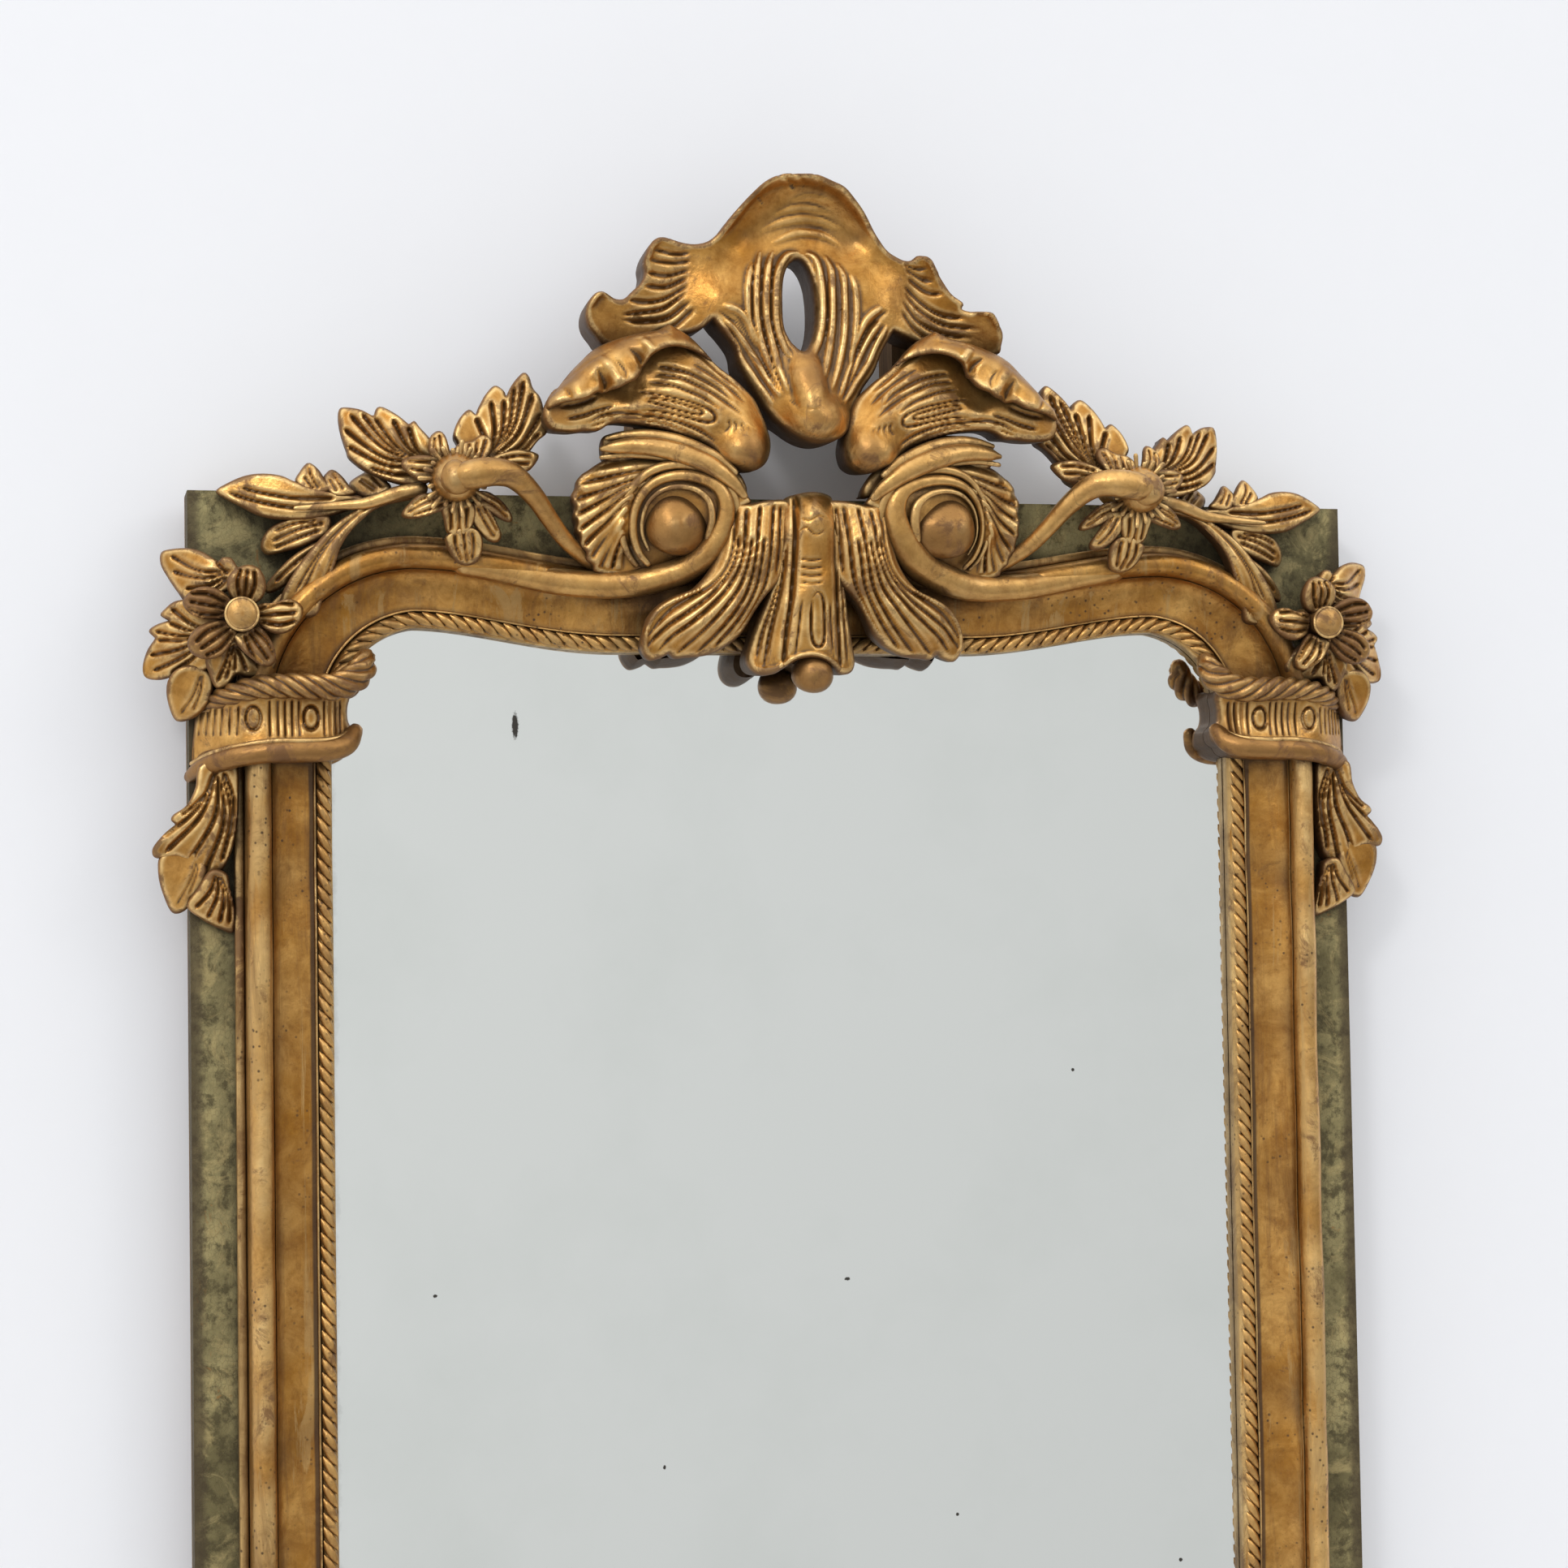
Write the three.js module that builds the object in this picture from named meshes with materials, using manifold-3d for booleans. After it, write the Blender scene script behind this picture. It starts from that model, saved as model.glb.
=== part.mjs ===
// A carved and gilded pier mirror: a tall plate of silvered glass in a green-painted wooden carcass,
// with a water-gilt moulding round it, a serpentine head, capitals at the shoulders and an open carved
// cresting.
//
// Frame: +Z up, +X to the viewer's right, the front faces -Y. The origin is on the back face of the top
// rail, midway between the two hanging rings and at the height of their pivots. Millimetres.
//
// The carving is laid out as a carver would draw it, on the face of the board: x from the centre line,
// z from the board's top edge and h, the height above the board's face.

import * as THREE from "three";
import { mergeVertices } from "three/addons/utils/BufferGeometryUtils.js";
import Module from "manifold-3d";

const wasm = await Module();
wasm.setup();

// ---------------------------------------------------------------- driving dimensions

const boardWidth = 700;
const boardHeight = 1400;
const boardThickness = 30;
const stileWidth = 68;
const topRailHeight = 72;
const bottomRailHeight = 68;
const tenonLength = 38;
const tenonThickness = 10;

const clearance = 0.3; // between any two pieces that touch
const fineness = 0.12; // the smallest step kept in the carving

const boardMargin = 22.5; // painted board left showing outside the moulding
const mouldingWidth = 56.5;
const headMouldingWidth = 53;
const ridgeHeight = 28.5;
const outerFilletWidth = 5;
const outerFilletHeight = 9;
const ridgeWidth = 15;
const coveHeight = 9;
const innerFilletWidth = 3;
const innerFilletHeight = 12.5;
const ropeWidth = 9;
const ropeRise = 4.5;
const lipWidth = 3;
const lipHeight = 11;

const shoulderRadius = 102.5; // of the moulding's outer edge
const serpentineDip = 16.5;
const serpentineEnd = 105; // where the moulding's outer edge has finished dipping

const glassThickness = 4;
const glassPlay = 2; // round the plate, in the carcass's opening
const backingThickness = 9;
const backingCount = 3;
const blockLength = 60;
const blockWidth = 16;
const blockDepth = 9;
const blockOffset = 120; // of a block's middle from the opening's top or bottom

const capitalTop = -104;
const capitalRopeHeight = 15;
const capitalNeckHeight = 22;
const capitalBandHeight = 14.5;
const capitalDepth = 36;
const capitalInnerOverhang = 13; // past the moulding's sight edge
const collarStep = 7; // from that overhang in to the neck
const baseHeight = 92;
const baseSwell = 8; // of the plinth past its stem

const hangDrop = 36; // from the board's top edge to the rings' pivots
const ringSpacing = 400;
const ringRadius = 14;
const ringWire = 1.75;
const ringPlay = 0.45; // between a ring and the eye it hangs in
const eyeWire = 1.5;
const hangerWidth = 24;
const hangerHeight = 46;
const hangerThickness = 2.4;
const screwHole = 2.2;

const strutWidth = 26;
const strutOffset = 79; // of each crest strut from the centre line
const strutTop = 116; // above the board
const strutHousing = 14; // how deep a strut is let into the rail's back
const strutFoot = 60; // how far a strut runs down the rail

// The carving was drawn for this board and this ridge. Other sizes stretch it, as `spread` and
// `relief` say.
const drawnHalfWidth = 350;
const drawnRidge = 28.5;
const shoulderStart = 235;

// ---------------------------------------------------------------- derived places

const halfWidth = boardWidth / 2;
const boardTop = hangDrop;
const boardBottom = -boardHeight;
const outerEdge = halfWidth - boardMargin;
const sightEdge = outerEdge - mouldingWidth;
const openingHalf = halfWidth - stileWidth;
const openingTop = -topRailHeight;
const openingBottom = boardBottom + bottomRailHeight;
const glassHalf = openingHalf - glassPlay;
const mouldingFoot = boardMargin + serpentineDip; // from the board's top down to the head's moulding
const drawnOuterEdge = drawnHalfWidth - boardMargin;
const drawnSightEdge = drawnOuterEdge - mouldingWidth;
const capitalBottom = capitalTop - capitalRopeHeight - capitalNeckHeight - capitalBandHeight;
const baseBottom = boardBottom + 8;
const baseTop = baseBottom + baseHeight;

// ---------------------------------------------------------------- finishes

const finish = (color, roughness, metalness) =>
  new THREE.MeshStandardMaterial({ color, roughness, metalness });
const gilt = finish(0xb07a2c, 0.38, 0.85);
const darkGilt = finish(0x8a5a24, 0.45, 0.8);
const greenPaint = finish(0x6f6a48, 0.7, 0);
const mirror = finish(0xc9cccb, 0.05, 1);
const bareWood = finish(0x9c7a50, 0.8, 0);
const iron = finish(0x3b3733, 0.55, 0.9);

// ---------------------------------------------------------------- solids

// A closed geometry as a manifold solid, turned the right way out if it was drawn the other way round.
function solidOf(geometry) {
  const bare = new THREE.BufferGeometry();
  const source = geometry.index ? geometry.toNonIndexed() : geometry;
  bare.setAttribute("position", source.getAttribute("position").clone());
  const merged = mergeVertices(bare, 1e-4);
  const index = Array.from(merged.index.array);
  const kept = [];
  for (let i = 0; i < index.length; i += 3) {
    const [a, b, c] = index.slice(i, i + 3);
    if (a !== b && b !== c && a !== c) kept.push(a, b, c);
  }
  const positions = merged.attributes.position.array;
  if (signedVolume(positions, kept) < 0) {
    for (let i = 0; i < kept.length; i += 3) {
      [kept[i + 1], kept[i + 2]] = [kept[i + 2], kept[i + 1]];
    }
  }
  const mesh = new wasm.Mesh({ numProp: 3, vertProperties: positions, triVerts: new Uint32Array(kept) });
  return new wasm.Manifold(mesh);
}

function signedVolume(positions, index) {
  const a = new THREE.Vector3();
  const b = new THREE.Vector3();
  const c = new THREE.Vector3();
  let sum = 0;
  for (let i = 0; i < index.length; i += 3) {
    a.fromArray(positions, 3 * index[i]);
    b.fromArray(positions, 3 * index[i + 1]);
    c.fromArray(positions, 3 * index[i + 2]);
    sum += a.dot(b.cross(c));
  }
  return sum;
}

function geometryOf(solid) {
  const mesh = solid.getMesh();
  const vertices = new Float32Array(mesh.numVert * 3);
  for (let i = 0; i < mesh.numVert; i++) {
    vertices.set(mesh.vertProperties.subarray(i * mesh.numProp, i * mesh.numProp + 3), i * 3);
  }
  const geometry = new THREE.BufferGeometry();
  geometry.setAttribute("position", new THREE.BufferAttribute(vertices, 3));
  geometry.setIndex(new THREE.BufferAttribute(new Uint32Array(mesh.triVerts), 1));
  return geometry.toNonIndexed();
}

const join = (...solids) => solids.reduce((all, one) => all.add(one));

// The same solid with every point moved. A move that mirrors it turns its faces round as well.
function moved(solid, move, mirrors = false) {
  const mesh = solid.getMesh();
  const positions = new Float32Array(mesh.numVert * 3);
  for (let i = 0; i < mesh.numVert; i++) {
    const [x, y, z] = mesh.vertProperties.subarray(i * mesh.numProp, i * mesh.numProp + 3);
    positions.set(move(x, y, z), i * 3);
  }
  const triVerts = new Uint32Array(mesh.triVerts);
  for (let i = 0; mirrors && i < triVerts.length; i += 3) {
    [triVerts[i + 1], triVerts[i + 2]] = [triVerts[i + 2], triVerts[i + 1]];
  }
  return new wasm.Manifold(new wasm.Mesh({ numProp: 3, vertProperties: positions, triVerts }));
}

const shifted = (solid, dx, dy, dz) => moved(solid, (x, y, z) => [x + dx, y + dy, z + dz]);
const acrossCentre = (solid) => moved(solid, (x, y, z) => [-x, y, z], true);

// A box between two corners, given as [x, z, h] in the carver's layout.
function block([x0, z0, h0], [x1, z1, h1]) {
  const geometry = new THREE.BoxGeometry(Math.abs(x1 - x0), Math.abs(h1 - h0), Math.abs(z1 - z0));
  geometry.translate((x0 + x1) / 2, -(h0 + h1) / 2, (z0 + z1) / 2);
  return solidOf(geometry);
}

// A closed skin from rings of points that are joined one to the next, with a flat cap on each end.
function loft(rings) {
  const count = rings[0].length;
  const positions = [];
  const triangle = (...corners) => corners.forEach((p) => positions.push(p.x, p.y, p.z));
  for (let i = 0; i + 1 < rings.length; i++) {
    for (let j = 0; j < count; j++) {
      const k = (j + 1) % count;
      triangle(rings[i][j], rings[i][k], rings[i + 1][k]);
      triangle(rings[i][j], rings[i + 1][k], rings[i + 1][j]);
    }
  }
  for (const [ring, flip] of [[rings[0], true], [rings[rings.length - 1], false]]) {
    for (const face of capOf(ring)) {
      const corners = face.map((i) => ring[i]);
      triangle(...(flip ? corners.reverse() : corners));
    }
  }
  const geometry = new THREE.BufferGeometry();
  geometry.setAttribute("position", new THREE.Float32BufferAttribute(positions, 3));
  return geometry;
}

// The triangles of a flat ring, wherever its plane lies.
function capOf(ring) {
  const normal = new THREE.Vector3();
  ring.forEach((p, i) => {
    const q = ring[(i + 1) % ring.length];
    normal.x += (p.y - q.y) * (p.z + q.z);
    normal.y += (p.z - q.z) * (p.x + q.x);
    normal.z += (p.x - q.x) * (p.y + q.y);
  });
  const turn = new THREE.Quaternion().setFromUnitVectors(normal.normalize(), new THREE.Vector3(0, 0, 1));
  const flat = ring.map((p) => {
    const q = p.clone().applyQuaternion(turn);
    return new THREE.Vector2(q.x, q.y);
  });
  return THREE.ShapeUtils.triangulateShape(flat, []);
}

// A moulding: a section of [distance inwards, h] points run along a line of [x, z] points on the face.
function moulding(line, section, inwards) {
  const rings = line.map(([x, z], i) => {
    const [ax, az] = line[Math.max(0, i - 1)];
    const [bx, bz] = line[Math.min(line.length - 1, i + 1)];
    const length = Math.hypot(bx - ax, bz - az);
    const nx = (inwards * (bz - az)) / length;
    const nz = (-inwards * (bx - ax)) / length;
    return section.map(([n, h]) => new THREE.Vector3(x + nx * n, -h, z + nz * n));
  });
  return solidOf(loft(rings));
}

// A round stem whose radius follows its length.
function stem(points, radii, sides = 8, steps = 12) {
  const curve = new THREE.CatmullRomCurve3(points.map(([x, z, h]) => new THREE.Vector3(x, -h, z)));
  const frames = curve.computeFrenetFrames(steps, false);
  const rings = [];
  for (let i = 0; i <= steps; i++) {
    const at = (i / steps) * (radii.length - 1);
    const low = Math.min(radii.length - 2, Math.floor(at));
    const radius = THREE.MathUtils.lerp(radii[low], radii[low + 1], at - low);
    const centre = curve.getPoint(i / steps);
    const ring = [];
    for (let j = 0; j < sides; j++) {
      const angle = (2 * Math.PI * j) / sides;
      ring.push(
        centre
          .clone()
          .addScaledVector(frames.normals[i], radius * Math.cos(angle))
          .addScaledVector(frames.binormals[i], radius * Math.sin(angle)),
      );
    }
    rings.push(ring);
  }
  return solidOf(loft(rings));
}

// A knob or boss: an egg centred at [x, z, h] with the given half-sizes.
function knob([x, z, h], [rx, rz, rh], sides = 14) {
  const geometry = new THREE.SphereGeometry(1, sides, Math.round(sides / 2));
  geometry.scale(rx, rh, rz);
  geometry.translate(x, -h, z);
  return solidOf(geometry);
}

// A disc or cone standing on the face at [x, z], as [radius, h] points from the face out to its axis.
function turned([x, z], profile, sides = 24) {
  const geometry = new THREE.LatheGeometry(profile.map(([r, h]) => new THREE.Vector2(r, h)), sides);
  geometry.rotateX(Math.PI);
  geometry.translate(x, 0, z);
  return solidOf(geometry);
}

// A fluted leaf. Its grooves are lines of [x, z, h] from the root to the edge. Each two neighbouring
// grooves hold one convex rib, which swells forward and runs past them as a lobe, to its tip where one
// is given.
function flutedLeaf({ grooves, tips, rib = 3, lobe = 0.1, point = 2, thickness, back, along = 6 }) {
  const lines = grooves.map((groove) => {
    const points = groove.map(([x, z, h]) => new THREE.Vector3(x, -h, z));
    return new THREE.CatmullRomCurve3(points);
  });
  const across = 2;
  const ribs = lines.length - 1;
  const ends = lines.map((line) => line.getPoint(1));
  const reach = (i) => {
    const middle = ends[i].clone().lerp(ends[i + 1], 0.5);
    if (tips) return new THREE.Vector3(tips[i][0], -tips[i][2], tips[i][1]).sub(middle);
    const start = lines[i].getPoint(0.9).lerp(lines[i + 1].getPoint(0.9), 0.5);
    return middle.clone().sub(start).multiplyScalar(10 * lobe);
  };
  const front = [];
  for (let row = 0; row <= along; row++) {
    const v = row / along;
    const points = [];
    for (let column = 0; column <= ribs * across; column++) {
      const i = Math.min(ribs - 1, Math.floor(column / across));
      const f = column / across - i;
      const shape = 1 - Math.abs(2 * f - 1) ** point;
      const p = lines[i].getPoint(v).lerp(lines[i + 1].getPoint(v), f);
      p.addScaledVector(reach(i), shape * v * v);
      p.y -= rib * Math.sqrt(shape) * Math.min(1, 3 * v) * (1 - 0.6 * v * v);
      points.push(p);
    }
    front.push(points);
  }
  const behind = front.map((points) =>
    points.map((p) => {
      const flat = -back;
      const y = thickness ? Math.min(flat, p.y + thickness) : flat;
      return new THREE.Vector3(p.x, y, p.z);
    }),
  );
  const ring = (rows) => {
    const last = rows.length - 1;
    const side = rows[0].length - 1;
    const around = [];
    for (let c = 0; c <= side; c++) around.push(rows[0][c]);
    for (let r = 1; r <= last; r++) around.push(rows[r][side]);
    for (let c = side - 1; c >= 0; c--) around.push(rows[last][c]);
    for (let r = last - 1; r > 0; r--) around.push(rows[r][0]);
    return around;
  };
  const positions = [];
  const triangle = (...corners) => corners.forEach((p) => positions.push(p.x, p.y, p.z));
  const skin = (rows, flip) => {
    for (let r = 0; r + 1 < rows.length; r++) {
      for (let c = 0; c + 1 < rows[0].length; c++) {
        const [a, b, d, e] = [rows[r][c], rows[r][c + 1], rows[r + 1][c + 1], rows[r + 1][c]];
        triangle(...(flip ? [a, d, b] : [a, b, d]));
        triangle(...(flip ? [a, e, d] : [a, d, e]));
      }
    }
  };
  skin(front, false);
  skin(behind, true);
  const [outer, inner] = [ring(front), ring(behind)];
  outer.forEach((p, i) => {
    const k = (i + 1) % outer.length;
    triangle(outer[k], p, inner[i]);
    triangle(outer[k], inner[i], inner[k]);
  });
  const geometry = new THREE.BufferGeometry();
  geometry.setAttribute("position", new THREE.Float32BufferAttribute(positions, 3));
  return solidOf(geometry);
}

// A leaf that springs from one root: only its lobes' tips are drawn, in order round it. `heights` are
// those of the root, the middle and the tips.
function springingLeaf({ root, tips, heights, valley = 0.78, edge = 0.3, neck = 4, ...rest }) {
  const [x0, z0] = root;
  const polar = tips.map(([x, z]) => ({ r: Math.hypot(x - x0, z - z0), a: Math.atan2(z - z0, x - x0) }));
  for (let i = 1; i < polar.length; i++) {
    while (polar[i].a - polar[i - 1].a > Math.PI) polar[i].a -= 2 * Math.PI;
    while (polar[i].a - polar[i - 1].a < -Math.PI) polar[i].a += 2 * Math.PI;
  }
  const first = polar[0];
  const last = polar[polar.length - 1];
  const step = polar.length > 1 ? Math.sign(last.a - first.a) * edge : edge;
  const valleys = [{ r: first.r * valley, a: first.a - step }];
  for (let i = 1; i < polar.length; i++) {
    const reach = (polar[i - 1].r + polar[i].r) / 2;
    valleys.push({ r: reach * valley, a: (polar[i - 1].a + polar[i].a) / 2 });
  }
  valleys.push({ r: last.r * valley, a: last.a + step });
  const at = (r, a, h) => [x0 + r * Math.cos(a), z0 + r * Math.sin(a), h];
  const [low, middle, high] = heights;
  return flutedLeaf({
    grooves: valleys.map(({ r, a }) => [at(neck, a, low), at(r * 0.55, a, middle), at(r, a, high)]),
    tips: polar.map(({ r, a }) => at(r, a, high)),
    ...rest,
  });
}

// The same solid with room round it: shifted copies joined, so that what is cut by it keeps the
// clearance.
function grown(solid, gap = clearance + fineness) {
  const behind = 4; // how far back the room reaches, so that nothing is left under the carving
  const directions = 8;
  const step = 1.1 * gap; // an octagon round a circle of the gap
  const copies = [shifted(solid, 0, -gap, 0), shifted(solid, 0, behind, 0)];
  for (let i = 0; i < directions; i++) {
    const angle = (2 * Math.PI * i) / directions;
    copies.push(shifted(solid, step * Math.cos(angle), 0, step * Math.sin(angle)));
    copies.push(shifted(solid, step * Math.cos(angle), behind / 2, step * Math.sin(angle)));
  }
  return join(...copies).simplify(fineness);
}

const largest = (solid) =>
  solid.decompose().reduce((best, one) => (one.volume() > best.volume() ? one : best));

const throughCarving = 90; // a height that clears all of the carving

// An outline in x and z pushed through the carving from behind.
function outlined(shape) {
  const behind = 10;
  const depth = throughCarving + behind;
  const geometry = new THREE.ExtrudeGeometry(shape, { depth, bevelEnabled: false, curveSegments: 8 });
  geometry.rotateX(Math.PI / 2);
  geometry.translate(0, behind, 0);
  return solidOf(geometry);
}

// An upright opening with round ends, about the centre line.
function roundedSlot(width, bottom, top) {
  const r = width / 2;
  const shape = new THREE.Shape();
  shape.moveTo(r, bottom + r);
  shape.lineTo(r, top - r);
  shape.absarc(0, top - r, r, 0, Math.PI, false);
  shape.lineTo(-r, bottom + r);
  shape.absarc(0, bottom + r, r, Math.PI, 2 * Math.PI, false);
  return shape;
}

// ---------------------------------------------------------------- stretching the carving to the board

// Outside the shoulders the carving keeps its size and follows the stiles. Between them it stretches
// evenly. The head's mouldings follow the board's width but keep their own section.
function spread(x) {
  const shift = halfWidth - drawnHalfWidth;
  const size = Math.abs(x);
  if (size > shoulderStart) return Math.sign(x) * (size + shift);
  return (x * (shoulderStart + shift)) / shoulderStart;
}

const relief = (h) => (h * ridgeHeight) / drawnRidge;

const stretched = (solid) => moved(solid, (x, y, z) => [spread(x), -relief(-y), z]);
const widened = (solid) => moved(solid, (x, y, z) => [spread(x), y, z]);

const part = new THREE.Group();
const head = new THREE.Group();
head.position.set(0, -boardThickness, boardTop);
part.add(head);

function place(name, solid, material, group = head) {
  const mesh = new THREE.Mesh(geometryOf(solid), material);
  mesh.name = name;
  group.add(mesh);
  return mesh;
}

const carve = (name, solid) => place(name, largest(stretched(solid).simplify(fineness)), gilt);

const SIDES = [["left", -1], ["right", 1]];
const mirrored = (solid, side) => (side > 0 ? solid : acrossCentre(solid));

// ---------------------------------------------------------------- carcass

const back = -boardThickness; // h of the carcass's back face

// The housing in the top rail's back that a strut is let into.
function housing(x) {
  const half = strutWidth / 2 + clearance;
  const depth = back + strutHousing + clearance;
  return block([x - half, -strutFoot - clearance, back - 1], [x + half, 1, depth]);
}

function carcass() {
  const mortiseHalf = tenonThickness / 2 + clearance;
  const middle = back / 2;
  const rails = [
    ["top", 0, openingTop, 0.25],
    ["bottom", boardBottom, openingBottom, 0.3],
  ];
  const inset = (high, low, share) => {
    const trim = Math.abs(high - low) * share;
    return [Math.max(high, low) - trim, Math.min(high, low) + trim];
  };
  for (const [side, sign] of SIDES) {
    let stile = block([sign * openingHalf, boardBottom, back], [sign * halfWidth, 0, 0]);
    for (const [, edge, inner, share] of rails) {
      const [high, low] = inset(edge, inner, share);
      const reach = openingHalf + tenonLength + clearance;
      const mortise = block(
        [sign * (openingHalf - 1), low - clearance, middle - mortiseHalf],
        [sign * reach, high + clearance, middle + mortiseHalf],
      );
      stile = stile.subtract(mortise);
    }
    place(`carcass_stile_${side}`, stile, greenPaint);
  }
  for (const [name, edge, inner, share] of rails) {
    const end = openingHalf - clearance;
    const [high, low] = inset(edge, inner, share);
    const reach = openingHalf + tenonLength;
    let rail = block([-end, edge, back], [end, inner, 0]);
    const tenons = block(
      [-reach, low, middle - tenonThickness / 2],
      [reach, high, middle + tenonThickness / 2],
    );
    rail = rail.add(tenons);
    if (name === "top") {
      for (const [, sign] of SIDES) rail = rail.subtract(housing(sign * spread(strutOffset)));
    }
    place(`carcass_rail_${name}`, rail, greenPaint);
  }
}

// Two struts are let into the back of the top rail and carry the cresting above it.
function crestStruts() {
  for (const [side, sign] of SIDES) {
    const x = sign * spread(strutOffset);
    const half = strutWidth / 2;
    const foot = block([x - half, -strutFoot, back], [x + half, 2 * clearance, back + strutHousing]);
    const upright = block([x - half, clearance, back], [x + half, strutTop, 0]);
    place(`crest_strut_${side}`, foot.add(upright), bareWood);
  }
}

// ---------------------------------------------------------------- plate, blocks and backing

function plateAndBacking() {
  const front = -clearance;
  const top = openingTop - glassPlay;
  const bottom = openingBottom + glassPlay;
  const plate = block([-glassHalf, bottom, front - glassThickness], [glassHalf, top, front]);
  place("glass_plate", plate, mirror);

  const blockFront = front - glassThickness - clearance;
  const gap = clearance;
  const rows = [["upper", openingTop - blockOffset], ["lower", openingBottom + blockOffset]];
  for (const [side, sign] of SIDES) {
    for (const [row, z] of rows) {
      const solid = block(
        [sign * (openingHalf - gap), z - blockLength / 2, blockFront - blockDepth],
        [sign * (openingHalf - blockWidth), z + blockLength / 2, blockFront],
      );
      place(`glass_block_${side}_${row}`, solid, bareWood);
    }
  }

  const boardFront = blockFront - blockDepth - clearance;
  const height = (openingTop - openingBottom - 2 * gap) / backingCount;
  for (let i = 0; i < backingCount; i++) {
    const low = openingBottom + gap + i * height;
    const solid = block(
      [-openingHalf + gap, low, boardFront - backingThickness],
      [openingHalf - gap, low + height - gap, boardFront],
    );
    place(`backing_board_${i + 1}`, solid, bareWood);
  }
}

// ---------------------------------------------------------------- mouldings

const seatHeight = innerFilletHeight - clearance; // of the flat that the rope slip lies on
const ridgeShoulder = 8; // from the ridge's crown down to where the cove begins
const intoCapital = 25; // how far the head's moulding runs on below the top of the capital

// From the outer foot, over the ridge and down the cove to the lip that holds the glass.
function mouldingSection(width) {
  const ridgeStart = outerFilletWidth + 0.6;
  const ridgeEnd = outerFilletWidth + ridgeWidth;
  const coveEnd = width - lipWidth - ropeWidth - innerFilletWidth;
  const points = [
    [0, clearance],
    [0, outerFilletHeight],
    [outerFilletWidth, outerFilletHeight],
    [ridgeStart, outerFilletHeight + 1],
  ];
  const ridgeSteps = 5;
  for (let i = 0; i <= ridgeSteps; i++) {
    const angle = Math.PI * (1 - (0.92 * i) / ridgeSteps);
    const middle = (ridgeStart + ridgeEnd) / 2;
    const rise = 7.5;
    points.push([
      middle + ((ridgeEnd - ridgeStart) / 2) * Math.cos(angle),
      ridgeHeight - rise + rise * Math.sin(angle),
    ]);
  }
  const coveSteps = 4;
  for (let i = 1; i <= coveSteps; i++) {
    const t = i / coveSteps;
    const fall = (1 - t) ** 2.2;
    points.push([
      ridgeEnd + (coveEnd - ridgeEnd) * t,
      coveHeight + (ridgeHeight - ridgeShoulder - coveHeight) * fall,
    ]);
  }
  points.push(
    [coveEnd, innerFilletHeight],
    [coveEnd + innerFilletWidth, innerFilletHeight],
    [coveEnd + innerFilletWidth, seatHeight - 1],
    [width - lipWidth, seatHeight - 1],
    [width - lipWidth, innerFilletHeight],
    [width, lipHeight],
    [width, clearance],
  );
  return points;
}

// The half-round slip that is carved as a twisted rope, lying in its groove beside the lip.
function ropeSection(width) {
  const start = width - lipWidth - ropeWidth + clearance;
  const end = width - lipWidth - clearance;
  const seat = seatHeight - 1 + clearance;
  const points = [[start, seat]];
  const steps = 4;
  for (let i = 0; i <= steps; i++) {
    const angle = Math.PI * (1 - i / steps);
    points.push([
      (start + end) / 2 + ((end - start) / 2) * Math.cos(angle),
      innerFilletHeight - 1 + ropeRise * Math.sin(angle),
    ]);
  }
  points.push([end, seat]);
  return points;
}

// The outer edge of the head's moulding on the right: up the stile, round the shoulder, and down to the
// crest.
function headLine(end) {
  const line = [[drawnOuterEdge, capitalTop - intoCapital]];
  const centreX = drawnOuterEdge - shoulderRadius;
  const centreZ = -boardMargin - shoulderRadius;
  const arcSteps = 7;
  for (let i = 0; i <= arcSteps; i++) {
    const angle = ((i / arcSteps) * Math.PI) / 2;
    line.push([centreX + shoulderRadius * Math.cos(angle), centreZ + shoulderRadius * Math.sin(angle)]);
  }
  const dipSteps = 6;
  for (let i = 1; i <= dipSteps; i++) {
    const t = i / dipSteps;
    const x = THREE.MathUtils.lerp(centreX, serpentineEnd, t);
    line.push([x, -boardMargin - serpentineDip * THREE.MathUtils.smoothstep(t, 0, 1)]);
  }
  line.push([end, -boardMargin - serpentineDip]);
  return line.filter(([, z], i) => i === 0 || z > line[0][1]);
}

const voluteCentre = [86, -21];
const voluteRadius = 31;
const voluteRoom = (low) => {
  const radius = voluteRadius + clearance;
  const profile = [[0, low], [radius, low], [radius, throughCarving], [0, throughCarving]];
  return turned(voluteCentre, profile, 32);
};

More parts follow.
